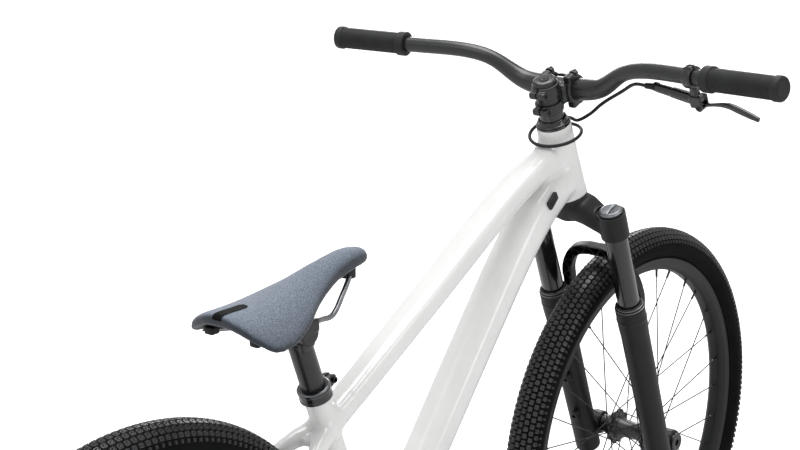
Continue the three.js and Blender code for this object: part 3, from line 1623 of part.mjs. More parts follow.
function leverBlade() {
  const knee = point(bladeKneeDrop, 0, bladeKneeOut);
  const tip = point(bladeTipDrop, 0, bladeTipOut);
  const [innerDropShare, innerOutShare] = [0.7, 0.4];
  const [outerDropShare, outerOutShare] = [0.5, 0.55];
  const curve = new THREE.CatmullRomCurve3([
    pivotPlace,
    point(lerp(pivotDrop, knee.x, innerDropShare), 0, lerp(pivotOut, knee.z, innerOutShare)),
    knee,
    point(lerp(knee.x, tip.x, outerDropShare), 0, lerp(knee.z, tip.z, outerOutShare)),
    tip,
  ]);
  const widthShares = [0.5, 0.5, 0.62, 0.78, 0.6];
  const shares = [0, 0.25, 0.5, 0.75, 1];
  const blade = loft(shares.map((share, i) => ({
    centre: curve.getPointAt(share),
    direction: curve.getTangentAt(share),
    across: along,
    width: bladeThickness * widthShares[i] - gap,
    height: bladeHeight / 2,
    squareness: 3,
  })), 8);
  const half = point(0, bladeThickness / 2, 0);
  const eye = rod(pivotPlace.clone().sub(half), pivotPlace.clone().add(half), pivotRadius, 12);
  const reach = point(0, bladeThickness, 0);
  const [from, to] = [pivotPlace.clone().sub(reach), pivotPlace.clone().add(reach)];
  const hole = drilled(from, to, pivotPinRadius + runningGap, 8);
  return cut(joined([blade, eye]), [hole]).transform(matrixNumbers(leverFrame));
}

// Hose: from the lever, once round the head tube and once more to the left, into the down tube,
// along it, and out of its foot to the caliper. Its points are shares of what they lie beside
function ringTurn(angle, height) {
  const a = radians(angle);
  return steered(ringRadius * Math.cos(a), ringRadius * Math.sin(a), height);
}

function hoseRoute() {
  const start = point(cylinderDrop - cylinderSlope / 2, 0, -cylinderInner - bootLength - gap);
  const lead = start.clone().add(point(0, 0, -bootLength));
  const [exit, bend] = [start, lead].map((place) => (
    place.applyMatrix4(leverFrame).applyMatrix4(steering.matrixWorld)
  ));
  const ringTop = headTubeTop - ringDrop;
  const barShares = [[1.095, -2.62, 1.392], [1.048, -1.7, 0.804], [1, -1.03, 0.265]];
  const downShares = [[0.43, 0.88, -0.68], [0.11, 0.905, -1], [-0.38, 0.905, -1.32]];
  const [bar, down] = [barShares, downShares].map((shares) => shares.map(([ahead, left, up]) => (
    steered(ringRadius * ahead, ringRadius * left, ringTop + ringRadius * up)
  )));
  const coil = Array.from({ length: ringSteps + 1 }, (unused, i) => {
    const share = i / ringSteps;
    return ringTurn(lerp(ringStart, ringEnd, share), ringTop - ringFall * share ** 1.2);
  });
  const end = caliperInlet().add(point(gap, 0, 0));
  const ahead = end.clone().add(point(bootLength, 0, 0));
  const inside = [...hoseAtPort(), ...hoseInTube(), ...hoseByStay()];
  return [exit, bend, ...bar, ...coil, ...down, ...inside, ahead, end];
}

// Past the port: along the tube and up in port lengths, to the left in half widths of the tube
function hoseAtPort() {
  const tube = point(Math.cos(portSlope), 0, -Math.sin(portSlope));
  const up = point(-tube.z, 0, tube.x);
  const portShares = [[1.1, 1.2, 0.4], [0.37, 1.03, 0.17], [-0.62, 0.57, -0.14]];
  return portShares.map(([forward, left, rise]) => {
    const place = portCentre.clone().addScaledVector(tube, portLength * forward);
    return place.addScaledVector(up, portLength * rise).setY(downTubeHeadWidth * left);
  });
}

function hoseInTube() {
  const placeShares = [0.83, 0.7, 0.47, 0.21, 0.1];
  const leftShares = [0.15, -0.07, -0.15, 0.07, 0.52];
  return placeShares.map((share, i) => (
    downTubeCurve.getPointAt(share).setY(downTubeFootWidth * leftShares[i])
  ));
}

// Out beside the bottom bracket's shell and back above the left chainstay
function hoseByStay() {
  const shellShares = [[0.87, 0.99, 1.43], [-0.61, 1.42, 1.26]];
  const byShell = shellShares.map(([ahead, left, up]) => bottomBracket.clone().add(
    point(shellRadius * ahead, (shellLength / 2) * left, shellRadius * up),
  ));
  const stayShares = [[0.19, 0.78, 2.2], [0.42, 0.836, 2.28], [0.62, 0.864, 3.27]];
  const byStay = stayShares.map(([share, left, up]) => (
    point(behindBracket(share), dropoutMiddle * left, stayHeightAt(share) + chainstayHeight * up)
  ));
  return [...byShell, ...byStay];
}

function brakeHose() {
  return hoseAlong(hoseRoute(), hoseRadius, hoseSides, hoseSteps);
}

function hoseGrommet() {
  const exit = hoseAlong(hoseRoute(), hoseRadius + gap, hoseSides, hoseSteps);
  return cut(port(1, portInner, portOuter, 0), [exit]);
}

// Seat pieces, drawn along the seat tube from its top
const collarSides = 18;

function seatCollar() {
  const inner = clearOf(seatTubeRadius + gap, collarSides);
  const lip = clearOf(postRadius + gap, collarSides);
  const foot = -collarHeight;
  const ring = turnedUp([
    [inner, foot], [collarRadius, foot], [collarRadius, collarLip], [lip, collarLip], [lip, gap],
    [inner, gap], [inner, foot],
  ], collarSides);
  const middle = (collarLip - collarHeight) / 2;
  const earAhead = collarRadius + earLength / 2 - overrun;
  const ears = [-1, 1].map((side) => box(
    point(earLength, earWidth, collarHeight + collarLip),
    point(earAhead, (side * (earWidth + slotWidth)) / 2, middle),
  ));
  const split = box(
    point(collarRadius * 2, slotWidth, collarHeight * 4), point(collarRadius + gap, 0, 0),
  );
  const boltAt = point(collarRadius + earLength / 2, 0, middle);
  const reach = point(0, earWidth + slotWidth / 2 + boltHead, 0);
  const bolt = rod(boltAt.clone().sub(reach), boltAt.clone().add(reach), boltRadius, 6);
  return joined([cut(joined([ring, ...ears]), [split]), bolt]);
}

const postTop = seatHeight - clampRadius;

function seatpost() {
  const tube = rod(point(0, 0, -postInsertion), point(0, 0, postTop), postRadius, 18);
  const cradle = box(
    point(cradleLength, cradleWidth, clampRadius), point(0, 0, postTop - clampRadius / 4),
  );
  const room = drilled(
    point(0, -clampWidth * 2, seatHeight), point(0, clampWidth * 2, seatHeight),
    clampRadius + gap, 18,
  );
  return cut(joined([tube, cradle]), [room]);
}

// Saddle, level, drawn from the clamp's centre: x ahead, z up
const saddle = new THREE.Group();
saddle.position.copy(seatTop.clone().addScaledVector(seatUp, seatHeight));
saddle.updateMatrixWorld(true);

function seatpostClamp() {
  const barrel = rod(point(0, -clampWidth, 0), point(0, clampWidth, 0), clampRadius, 16);
  const top = railRise + railRadius + tubeWall;
  const yokeSize = point(clampRadius * 2 - overrun, 2 * (railSpread + railRadius * 2), top);
  const yoke = box(yokeSize, point(0, 0, top / 2));
  const reach = point(railLength / 2, 0, 0);
  const grooves = [-1, 1].map((side) => {
    const centre = point(0, side * railSpread, railRise);
    return drilled(centre.clone().sub(reach), centre.clone().add(reach), railRadius + runningGap, 8);
  });
  const bolts = [-1, 1].map((side) => {
    const x = side * (clampRadius - boltRadius * 2);
    return rod(point(x, 0, 0), point(x, 0, top + boltHead), boltRadius, 6);
  });
  return cut(joined([barrel, yoke, ...bolts]), grooves);
}

function railsTube(radius) {
  const half = railLength / 2;
  const middleShare = 0.5;
  const right = [
    point(-railTailBehind, -railTailSpread, railTailRise),
    point(
      lerp(-railTailBehind, -half, middleShare), lerp(-railTailSpread, -railSpread, middleShare),
      lerp(railTailRise, railRise, middleShare),
    ),
    ...[-half, -half * middleShare, half * middleShare, half].map((x) => point(x, -railSpread, railRise)),
    point(
      lerp(half, railNoseAhead, middleShare), lerp(-railSpread, -railNoseSpread, middleShare),
      lerp(railRise, railNoseRise, middleShare),
    ),
    point(railNoseAhead - railNoseSpread, -railNoseSpread, railNoseRise - overrun),
  ];
  const left = right.map((place) => point(place.x, -place.y, place.z)).reverse();
  return hoseAlong([...right, point(railNoseAhead, 0, railNoseRise), ...left], radius, 8, 30);
}

// Half width, height and thickness of the saddle along its length, from nose to tail
const saddlePlaceShares = [0, 0.03, 0.12, 0.28, 0.46, 0.62, 0.76, 0.88, 0.96, 1];
const saddleWidthShares = [0.09, 0.2, 0.27, 0.34, 0.54, 0.81, 0.97, 1, 0.78, 0.36];
const saddleHeightShares = [0.9, 0.965, 1, 0.926, 0.778, 0.685, 0.64, 0.63, 0.635, 0.625];
const saddleDepthShares = [0.3, 0.6, 0.8, 0.84, 0.78, 0.74, 0.74, 0.7, 0.58, 0.36];

// The saddle's form, drawn in at its ends and sides and moved down
function saddleForm(shrink, lower, sides) {
  return drooped(loft(saddlePlaceShares.map((share, i) => {
    const height = (saddleThickness * saddleDepthShares[i]) / 2;
    return {
      centre: point(
        saddleNoseAhead - shrink - share * (saddleLength - 2 * shrink), 0,
        saddleRise * saddleHeightShares[i] - height - lower,
      ),
      direction: point(-1, 0, 0),
      across: along,
      width: Math.max(saddleHalfWidth * saddleWidthShares[i] - shrink, gap),
      height,
      squareness: 2.4,
    };
  }), sides));
}

// The wings droop below the middle line
function drooped(body) {
  const bend = 2.2;
  return body.warp((place) => {
    place[2] -= saddleDroop * (Math.abs(place[1]) / saddleHalfWidth) ** bend;
  });
}

function saddleCover() {
  return cut(saddleForm(0, 0, cushionSides), [saddleForm(saddleSide, saddleCrust, cushionSides)]);
}

// A thin bowed plate under the cover, with blocks below it that hold the rails
function saddleBase() {
  const plate = cut(saddleForm(saddleSide + gap, saddleCrust + gap, cushionSides), [
    saddleForm(saddleSide, saddleCrust + gap + saddlePlate, cushionSides),
  ]);
  return cut(joined([plate, noseBlock(), tailBlock(1), tailBlock(-1)]), [railsTube(railRadius + gap)]);
}

function noseBlock() {
  const foot = railNoseRise - railRadius - overrun;
  const top = saddleRise - saddleCrust - saddlePlate;
  const size = point(railBlockLength, 2 * (railNoseSpread + railRadius), top - foot);
  return box(size, point(railNoseAhead - railRadius, 0, (top + foot) / 2));
}

function tailBlock(side) {
  const foot = railTailRise - railRadius - overrun;
  const top = railTailRise + railRadius + railBlockTop;
  const size = point(railBlockLength, railRadius * 4, top - foot);
  return box(size, point(-railTailBehind, side * railTailSpread, (top + foot) / 2));
}

// Putting the bike together
const bike = new THREE.Group();
const frame = new THREE.Group();
const rearWheel = new THREE.Group();
const frontWheel = new THREE.Group();
rearWheel.position.copy(rearAxle);
frontWheel.position.copy(frontAxle);
bike.add(frame, steering, seat, saddle, rearWheel, frontWheel);

piece(frame, 'head_tube', headTube(), gloss);
piece(frame, 'top_tube', topTube(), gloss);
piece(frame, 'down_tube', downTube(), gloss);
piece(frame, 'seat_tube', seatTube(), gloss);
piece(frame, 'bottom_bracket_shell', bottomBracketShell(), gloss);
piece(frame, 'chainstay_right', chainstay(-1), gloss);
piece(frame, 'chainstay_left', chainstay(1), gloss);
piece(frame, 'seatstays', seatstays(), gloss);
piece(frame, 'port_plug', port(-1, portInner, portOuter, 0), blackMatte);
piece(frame, 'hose_grommet', hoseGrommet(), blackMatte);
piece(frame, 'bottom_bracket', cartridge(), blackSatin);
piece(frame, 'brake_caliper', brakeCaliper(), blackGloss);
piece(frame, 'brake_hose', brakeHose(), rubberBlack);
piece(frame, 'rear_axle', rearAxlePiece(), bareSteel);
piece(frame, 'chain', chain(), chainSteel);
piece(seat, 'seat_collar', seatCollar(), blackGloss);
piece(steering, 'headset_cup_upper', headsetCup(true), blackSatin);
piece(steering, 'headset_cup_lower', headsetCup(false), blackSatin);
piece(frame, 'rear_cog', rearCog(), chainSteel);
piece(frame, 'chainring', chainring(), blackSatin);
piece(frame, 'crank_arm_right', crankRight(), blackSatin);
piece(frame, 'crank_arm_left', crankLeft(), blackSatin);
for (const [side, name] of [[1, 'left'], [-1, 'right']]) {
  piece(frame, `pedal_axle_${name}`, pedalAxle(side), bareSteel);
  piece(frame, `pedal_${name}`, pedal(side), blackMatte);
}

piece(rearWheel, 'rear_tyre', tyre(), rubberBlack);
piece(rearWheel, 'rear_rim', rim(), blackMatte);
piece(rearWheel, 'rear_spokes_left', lacing(rearFlangeLeft), blackSatin);
piece(rearWheel, 'rear_spokes_right', lacing(-rearFlangeRight), blackSatin);
piece(rearWheel, 'rear_hub', rearHub(), blackSatin);
piece(rearWheel, 'brake_rotor', rotor(), bareSteel);
piece(frontWheel, 'front_tyre', tyre(), rubberBlack);
piece(frontWheel, 'front_rim', rim(), blackMatte);
piece(frontWheel, 'front_spokes_left', lacing(frontFlangeSpread), blackSatin);
piece(frontWheel, 'front_spokes_right', lacing(-frontFlangeSpread), blackSatin);
piece(frontWheel, 'front_hub', frontHub(), blackSatin);

piece(steering, 'fork_lowers', forkLowers(), blackMatte);
piece(steering, 'front_axle', frontAxlePiece(), blackSatin);
piece(steering, 'rebound_knob', reboundKnob(), knobGrey);
piece(steering, 'fork_crown', forkCrown(), blackMatte);
for (const [side, name] of [[1, 'left'], [-1, 'right']]) {
  piece(steering, `fork_seal_${name}`, wiperSeal(side), rubberBlack);
  piece(steering, `stanchion_${name}`, stanchion(side), blackGloss);
  piece(steering, `grip_${name}`, grip(side), gripGrey);
}
piece(steering, 'compression_knob', compressionKnob(), knobGrey);
piece(steering, 'headset_cover', headsetCover(), blackGloss);
piece(steering, 'stem', stem(), blackSatin);
piece(steering, 'stem_faceplate', stemFaceplate(), blackSatin);
piece(steering, 'top_cap', topCap(), blackSatin);
piece(steering, 'handlebar', handlebar(0), blackSatin);
piece(steering, 'lever_body', leverBody(), blackGloss);
piece(steering, 'brake_lever', leverBlade(), blackGloss);

piece(seat, 'seatpost', seatpost(), blackSatin);
piece(saddle, 'seatpost_clamp', seatpostClamp(), blackSatin);
piece(saddle, 'saddle_rails', railsTube(railRadius), bareSteel);
piece(saddle, 'saddle_base', saddleBase(), blackMatte);
piece(saddle, 'saddle_cover', saddleCover(), blueCloth);

export default bike;
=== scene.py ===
import math

import bmesh
import bpy
from bpy.props import FloatProperty, FloatVectorProperty, IntProperty, PointerProperty
from mathutils import Matrix, Vector


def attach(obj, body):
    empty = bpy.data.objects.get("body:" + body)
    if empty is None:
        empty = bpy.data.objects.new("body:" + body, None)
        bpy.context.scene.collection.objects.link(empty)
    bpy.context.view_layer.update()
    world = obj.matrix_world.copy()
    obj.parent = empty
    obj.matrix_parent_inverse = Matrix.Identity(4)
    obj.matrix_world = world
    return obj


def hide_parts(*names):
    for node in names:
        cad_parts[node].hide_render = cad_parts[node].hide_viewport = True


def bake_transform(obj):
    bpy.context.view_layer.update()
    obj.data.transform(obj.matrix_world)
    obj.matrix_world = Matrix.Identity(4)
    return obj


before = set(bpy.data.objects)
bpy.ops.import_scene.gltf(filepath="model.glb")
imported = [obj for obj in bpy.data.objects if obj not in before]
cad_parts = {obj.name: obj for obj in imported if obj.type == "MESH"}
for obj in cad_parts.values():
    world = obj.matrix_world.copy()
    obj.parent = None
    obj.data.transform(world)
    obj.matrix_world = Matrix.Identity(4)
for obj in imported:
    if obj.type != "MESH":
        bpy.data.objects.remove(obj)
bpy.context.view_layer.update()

bl_info = {
    "name": "Dirt jump bike",
    "version": (1, 0, 0),
    "blender": (4, 5, 0),
    "location": "View3D > Sidebar > Bike",
    "description": "Dresses the packed dirt jump bike with detailed pieces and finishes",
    "category": "Object",
}

# Every piece is modelled in millimetres in a frame of its own and placed in metres at the end.
METRES = 0.001
AHEAD = Vector((1, 0, 0))
ACROSS = Vector((0, 1, 0))
UP = Vector((0, 0, 1))

# The bike's layout, in millimetres, as the solids have it
WHEEL_RADIUS = 334
REAR_AXLE = Vector((-530, 0, 334))
FRONT_AXLE = Vector((530, 0, 334))
BRACKET = Vector((-136, 0, 316))
HEAD_ANGLE = math.radians(69.4)
SEAT_ANGLE = math.radians(70)
FORK_OFFSET = 37
CROWN_RACE = 476
HEAD_FOOT = 480
HEAD_TOP = 595.5
STEM_FOOT = 617.5
STEM_HEIGHT = 44
BAR_CENTRE = Vector((37, 0, 635.5))
GAP = 0.3


# Placing

def axes(x, y, z, origin):
    """Matrix of a frame from its three directions and its origin."""
    columns = [(*x, 0), (*y, 0), (*z, 0), (*origin, 1)]
    return Matrix(columns).transposed()


def sideways(side):
    """Turns z to point out to the left at 1, and to the right at -1."""
    return Matrix.Rotation(-side * math.pi / 2, 4, "X")


def mix(a, b, share):
    return a + (b - a) * share


def eased(share):
    share = min(1.0, max(0.0, share))
    return share * share * (3 - 2 * share)


def spread(values, share):
    """Value at a share of the way along evenly spaced values."""
    at = share * (len(values) - 1)
    low = min(int(at), len(values) - 2)
    return mix(values[low], values[low + 1], at - low)


STEER_UP = Vector((-math.cos(HEAD_ANGLE), 0, math.sin(HEAD_ANGLE)))
STEER_AHEAD = Vector((math.sin(HEAD_ANGLE), 0, math.cos(HEAD_ANGLE)))
STEERING = axes(STEER_AHEAD, ACROSS, STEER_UP, FRONT_AXLE - FORK_OFFSET * STEER_AHEAD)
SEAT_UP = Vector((-math.cos(SEAT_ANGLE), 0, math.sin(SEAT_ANGLE)))
SEAT_AHEAD = Vector((math.sin(SEAT_ANGLE), 0, math.cos(SEAT_ANGLE)))
SEAT_FOOT = BRACKET + Vector((24, 0, 0))
SEAT_TOP = SEAT_FOOT + 333 * SEAT_UP
SEAT = axes(SEAT_AHEAD, ACROSS, SEAT_UP, SEAT_TOP)
SADDLE = Matrix.Translation(SEAT_TOP + 88 * SEAT_UP)
REAR_WHEEL = Matrix.Translation(REAR_AXLE)
FRONT_WHEEL = Matrix.Translation(FRONT_AXLE)
CRANKS = Matrix.Translation(BRACKET)
ALONG_Y = axes(Vector((1, 0, 0)), Vector((0, 0, -1)), Vector((0, 1, 0)), Vector())


def steered(x, y, s):
    return STEERING @ Vector((x, y, s))


def smooth_line(points, count=0, shares=None):
    """Places along a smooth curve through the points, and the curve's directions there."""
    ends = [2 * points[0] - points[1], 2 * points[-1] - points[-2]]
    line = [ends[0], *points, ends[1]]
    fine = []
    steps = 24
    for i in range(1, len(line) - 2):
        p, q, r, s = line[i - 1 : i + 3]
        before, here, after = [
            max((b - a).length, 1e-6) ** 0.5 for a, b in ((p, q), (q, r), (r, s))
        ]
        start = ((q - p) / before - (r - p) / (before + here) + (r - q) / here) * here
        end = ((r - q) / here - (s - q) / (here + after) + (s - r) / after) * here
        for step in range(steps):
            t = step / steps
            fine.append(
                q * (2 * t**3 - 3 * t**2 + 1) + start * (t**3 - 2 * t**2 + t)
                + r * (3 * t**2 - 2 * t**3) + end * (t**3 - t**2)
            )
    fine.append(points[-1].copy())
    lengths = [0.0]
    for a, b in zip(fine, fine[1:]):
        lengths.append(lengths[-1] + (b - a).length)
    shares = shares or [i / (count - 1) for i in range(count)]
    places, directions, at = [], [], 0
    for share in shares:
        wanted = share * lengths[-1]
        while at < len(fine) - 2 and lengths[at + 1] < wanted:
            at += 1
        part = (wanted - lengths[at]) / max(lengths[at + 1] - lengths[at], 1e-9)
        places.append(fine[at].lerp(fine[at + 1], part))
        before = fine[max(at - 1, 0)]
        directions.append((fine[min(at + 2, len(fine) - 1)] - before).normalized())
    return places, directions


# Mesh tools

def added(whole, part, place=None, slot=0):
    """Puts a shape into another at a place, with the number of its finish."""
    for face in part.faces:
        face.material_index = slot or face.material_index
    spare = bpy.data.meshes.new("spare")
    part.to_mesh(spare)
    part.free()
    if place is not None:
        spare.transform(place)
    whole.from_mesh(spare)
    bpy.data.meshes.remove(spare)
    return whole


def gathered(*parts):
    whole = bmesh.new()
    for part in parts:
        added(whole, part)
    return whole


def moved(part, place):
    bmesh.ops.transform(part, matrix=place, verts=part.verts)
    return part


def ring(shape, sides, place, outline=None):
    """One closed row of corners: a unit circle, or an outline by angle, at a place."""
    made = bmesh.ops.create_circle(shape, segments=sides, radius=1)["verts"]
    if outline:
        for vert in made:
            x, y = outline(math.atan2(vert.co.y, vert.co.x))
            vert.co = Vector((x, y, 0))
    bmesh.ops.transform(shape, matrix=place, verts=made)
    return list({edge for vert in made for edge in vert.link_edges})


def skinned(places, sides, outline=None, capped=True, closed=False):
    """Skin over a row of rings; each place's axes are the ring's half sizes."""
    shape = bmesh.new()
    outlines = outline if isinstance(outline, list) else [outline] * len(places)
    rows = [ring(shape, sides, place, drawn) for place, drawn in zip(places, outlines)]
    pairs = list(zip(rows, rows[1:]))
    if closed:
        pairs.append((rows[-1], rows[0]))
    for low, high in pairs:
        bmesh.ops.bridge_loops(shape, edges=low + high)
    if capped and not closed:
        for row in (rows[0], rows[-1]):
            bmesh.ops.contextual_create(shape, geom=row)
    bmesh.ops.recalc_face_normals(shape, faces=shape.faces)
    return shape


def squared(power):
    """Outline between a circle at 2 and a square at high powers."""
    def outline(angle):
        c, s = math.cos(angle), math.sin(angle)
        return (
            math.copysign(abs(c) ** (2 / power), c), math.copysign(abs(s) ** (2 / power), s)
        )
    return outline


def many_sided(count, rounding=0.0):
    """Outline of a flat-sided bar, such as a hexagon, over a round one."""
    def outline(angle):
        half = math.pi / count
        flat = math.cos(half) / math.cos((angle % (2 * half)) - half)
        radius = mix(flat, 1.0, rounding)
        return radius * math.cos(angle), radius * math.sin(angle)
    return outline


def lobed(count, depth, turn=0.0):
    """Round outline with shallow scallops."""
    def outline(angle):
        wave = abs(math.sin((angle + turn) * count / 2))
        radius = 1 - depth * (1 - wave) ** 1.6
        return radius * math.cos(angle), radius * math.sin(angle)
    return outline


def station(centre, direction, across, width, height):
    """Place of a ring square to a direction, with its two half sizes."""
    direction = direction.normalized()
    across = (across - across.dot(direction) * direction).normalized()
    return axes(across * width, direction.cross(across) * height, direction, centre)


def lofted(points, sizes, across, sides, power=2.0, count=24, outline=None):
    """Tube along a smooth line; sizes gives half width and half height at a share."""
    places, directions = smooth_line(points, count)
    stations = []
    for i, (place, direction) in enumerate(zip(places, directions)):
        width, height = sizes(i / (count - 1))
        stations.append(station(place, direction, across, width, height))
    return skinned(stations, sides, outline or squared(power))


def hosed(points, radius, sides, count):
    """Round tube along a smooth line that turns every way."""
    places, directions = smooth_line(points, count)
    across = UP if abs(directions[0].z) < 0.9 else ACROSS
    stations = []
    for place, direction in zip(places, directions):
        across = (across - across.dot(direction) * direction).normalized()
        stations.append(station(place, direction, across, radius, radius))
    return skinned(stations, sides)


def turned(rows, sides=48, closed=False):
    """Piece turned about the z axis from pairs of radius and height."""
    shape = bmesh.new()
    corners = [shape.verts.new((radius, 0, height)) for radius, height in rows]
    edges = [shape.edges.new(pair) for pair in zip(corners, corners[1:])]
    if closed:
        edges.append(shape.edges.new((corners[-1], corners[0])))
    bmesh.ops.spin(
        shape, geom=corners + edges, cent=(0, 0, 0), axis=(0, 0, 1), angle=2 * math.pi,
        steps=sides, use_merge=True,
    )
    bmesh.ops.remove_doubles(shape, verts=shape.verts, dist=0.0001)
    bmesh.ops.recalc_face_normals(shape, faces=shape.faces)
    return shape


def stacked(rows, sides=48, closed=False):
    """Piece stacked along z from rows of radius, height and outline."""
    places = [Matrix.Translation((0, 0, h)) @ Matrix.Diagonal((r, r, 1, 1)) for r, h, _ in rows]
    return skinned(places, sides, [outline for _, _, outline in rows], closed=closed)


def aimed(way):
    """Turns z to point along a direction."""
    return way.to_track_quat("Z", "Y").to_matrix().to_4x4()


def rod(start, end, radius, sides=32, end_radius=None, edge=0.4):
    """Round bar between two places, with its rims just broken."""
    run = end - start
    far = end_radius or radius
    edge = min(edge, radius / 3, far / 3, run.length / 3)
    length = run.length
    shape = turned([
        (0, 0), (radius - edge, 0), (radius, edge), (far, length - edge), (far - edge, length),
        (0, length),
    ], sides)
    return moved(shape, Matrix.Translation(start) @ aimed(run))


def softened(shape, width, segments=2, angle=35):
    """Rounds every edge sharper than an angle."""
    sharp = [
        edge for edge in shape.edges
        if len(edge.link_faces) == 2 and edge.calc_face_angle(0) > math.radians(angle)
    ]
    bmesh.ops.bevel(
        shape, geom=sharp, offset=width, offset_type="OFFSET", segments=segments, profile=0.5,
        affect="EDGES", clamp_overlap=True, material=-1,
    )
    return shape


def block(size, centre=(0, 0, 0), edge=0.6, segments=2):
    shape = bmesh.new()
    bmesh.ops.create_cube(shape, size=1)
    bmesh.ops.scale(shape, vec=Vector(size), verts=shape.verts)
    bmesh.ops.translate(shape, vec=Vector(centre), verts=shape.verts)
    return softened(shape, edge, segments) if edge else shape


def loop_of(shape, outline):
    corners = [shape.verts.new((x, y, 0)) for x, y in outline]
    return [shape.edges.new(pair) for pair in zip(corners, corners[1:] + corners[:1])]


def plate(outline, thickness, holes=(), edge=0.3, segments=1):
    """Flat plate about z = 0, cut to an outline, with holes and broken edges."""
    shape = bmesh.new()
    edges = loop_of(shape, outline)
    for hole in holes:
        edges += loop_of(shape, hole)
    bmesh.ops.triangle_fill(shape, use_beauty=True, edges=edges)
    if not holes:
        bmesh.ops.dissolve_limit(
            shape, angle_limit=0.001, verts=shape.verts, edges=shape.edges
        )
    pushed = bmesh.ops.extrude_face_region(shape, geom=shape.faces[:])["geom"]
    lifted = [v for v in pushed if isinstance(v, bmesh.types.BMVert)]
    bmesh.ops.translate(shape, vec=(0, 0, thickness), verts=lifted)
    bmesh.ops.translate(shape, vec=(0, 0, -thickness / 2), verts=shape.verts)
    bmesh.ops.recalc_face_normals(shape, faces=shape.faces)
    return softened(shape, edge, segments, 60) if edge else shape


def circle(radius, count, x=0.0, y=0.0, turn=0.0):
    return [
        (x + radius * math.cos(turn + 2 * math.pi * i / count),
         y + radius * math.sin(turn + 2 * math.pi * i / count))
        for i in range(count)
    ]


def rounded(corners, radius, steps=4):
    """Outline with its corners rounded off."""
    points = [Vector((x, y, 0)) for x, y in corners]
    outline = []
    for i, corner in enumerate(points):
        before, after = points[i - 1], points[(i + 1) % len(points)]
        back = (before - corner).normalized()
        on = (after - corner).normalized()
        reach = min(radius, (before - corner).length / 2.1, (after - corner).length / 2.1)
        start, end = corner + back * reach, corner + on * reach
        for step in range(steps + 1):
            t = step / steps
            place = start * (1 - t) ** 2 + corner * 2 * t * (1 - t) + end * t * t
            outline.append((place.x, place.y))
    return outline


def bolt(radius, height, socket=None, sides=24):
    """Round bolt head with a hexagonal socket, standing on z = 0."""
    socket = socket or radius * 0.5
    hexagon = many_sided(6)
    return stacked([
        (radius * 0.98, -0.5, None), (radius, height * 0.15, None), (radius, height * 0.8, None),
        (radius * 0.93, height, None), (socket * 1.12, height, hexagon),
        (socket, height * 0.93, hexagon), (socket * 0.96, height * 0.35, hexagon),
    ], sides)


def smoothed(shape, rounds, verts=None, factor=0.5):
    verts = verts or shape.verts[:]
    for _ in range(rounds):
        bmesh.ops.smooth_vert(
            shape, verts=verts, factor=factor, use_axis_x=True, use_axis_y=True, use_axis_z=True
        )
    return shape


def through_modifiers(shape, *settings):
    """The shape after a stack of modifiers, each a type and its values."""
    mesh = bpy.data.meshes.new("spare")
    shape.to_mesh(mesh)
    shape.free()
    spare = bpy.data.objects.new("spare", mesh)
    bpy.context.scene.collection.objects.link(spare)
    for kind, values in settings:
        modifier = spare.modifiers.new(kind.lower(), kind)
        for name, value in values.items():
            setattr(modifier, name, value)
    graph = bpy.context.evaluated_depsgraph_get()
    made = bmesh.new()
    made.from_mesh(spare.evaluated_get(graph).to_mesh())
    spare.evaluated_get(graph).to_mesh_clear()
    bpy.data.objects.remove(spare)
    bpy.data.meshes.remove(mesh)
    return made


def fused(parts, voxel, rounds):
    """One skin over overlapping closed shapes, with a soft fillet where they meet."""
    whole = gathered(*parts)
    skin = through_modifiers(whole, ("REMESH", {"mode": "VOXEL", "voxel_size": voxel}))
    return smoothed(skin, rounds)


def carved(shape, *cutters):
    """Cuts closed shapes out of another, one after the other."""
    tools, steps = [], []
    for cutter in cutters:
        mesh = bpy.data.meshes.new("cutter")
        cutter.to_mesh(mesh)
        cutter.free()
        tool = bpy.data.objects.new("cutter", mesh)
        bpy.context.scene.collection.objects.link(tool)
        tools.append(tool)
        steps.append((
            "BOOLEAN", {"operation": "DIFFERENCE", "object": tool, "solver": "MANIFOLD"},
        ))
    made = through_modifiers(shape, *steps)
    for tool in tools:
        mesh = tool.data
        bpy.data.objects.remove(tool)
        bpy.data.meshes.remove(mesh)
    return made


def trimmed(shape, place, radius, bore, depth, lip=0.8):
    """Cuts a tube's end off square at a place whose z points outward, and drills it."""
    inverse = place.inverted()
    near = []
    for vert in shape.verts:
        local = inverse @ vert.co
        if math.hypot(local.x, local.y) < radius * 1.3 and -4 < local.z < 14:
            near.append(vert)
    chosen = set(near)
    edges = [e for e in shape.edges if all(v in chosen for v in e.verts)]
    faces = [f for f in shape.faces if all(v in chosen for v in f.verts)]
    cut = bmesh.ops.bisect_plane(
        shape, geom=near + edges + faces, dist=0.0001, plane_co=place.translation,
        plane_no=place.col[2].xyz, clear_outer=True,
    )["geom_cut"]
    rim = [e for e in cut if isinstance(e, bmesh.types.BMEdge) and e.is_boundary]
    for step_radius, sink in (
        (radius - lip * 0.35, 0), (bore + lip * 0.3, 0), (bore, lip), (bore, depth),
    ):
        pushed = bmesh.ops.extrude_edge_only(shape, edges=rim)["geom"]
        for vert in (v for v in pushed if isinstance(v, bmesh.types.BMVert)):
            local = inverse @ vert.co
            length = max(math.hypot(local.x, local.y), 1e-6)
            vert.co = place @ Vector((
                local.x * step_radius / length, local.y * step_radius / length, -sink
            ))
        rim = [e for e in pushed if isinstance(e, bmesh.types.BMEdge) and e.is_boundary]
    bmesh.ops.contextual_create(shape, geom=rim)
    return shape


# Finishes

def shade(code, alpha=1.0):
    """Linear colour of a web colour code."""
    values = [int(code[i : i + 2], 16) / 255 for i in (0, 2, 4)]
    linear = [v / 12.92 if v <= 0.04045 else ((v + 0.055) / 1.055) ** 2.4 for v in values]
    return (*linear, alpha)


def grey(value):
    return value, value, value, 1


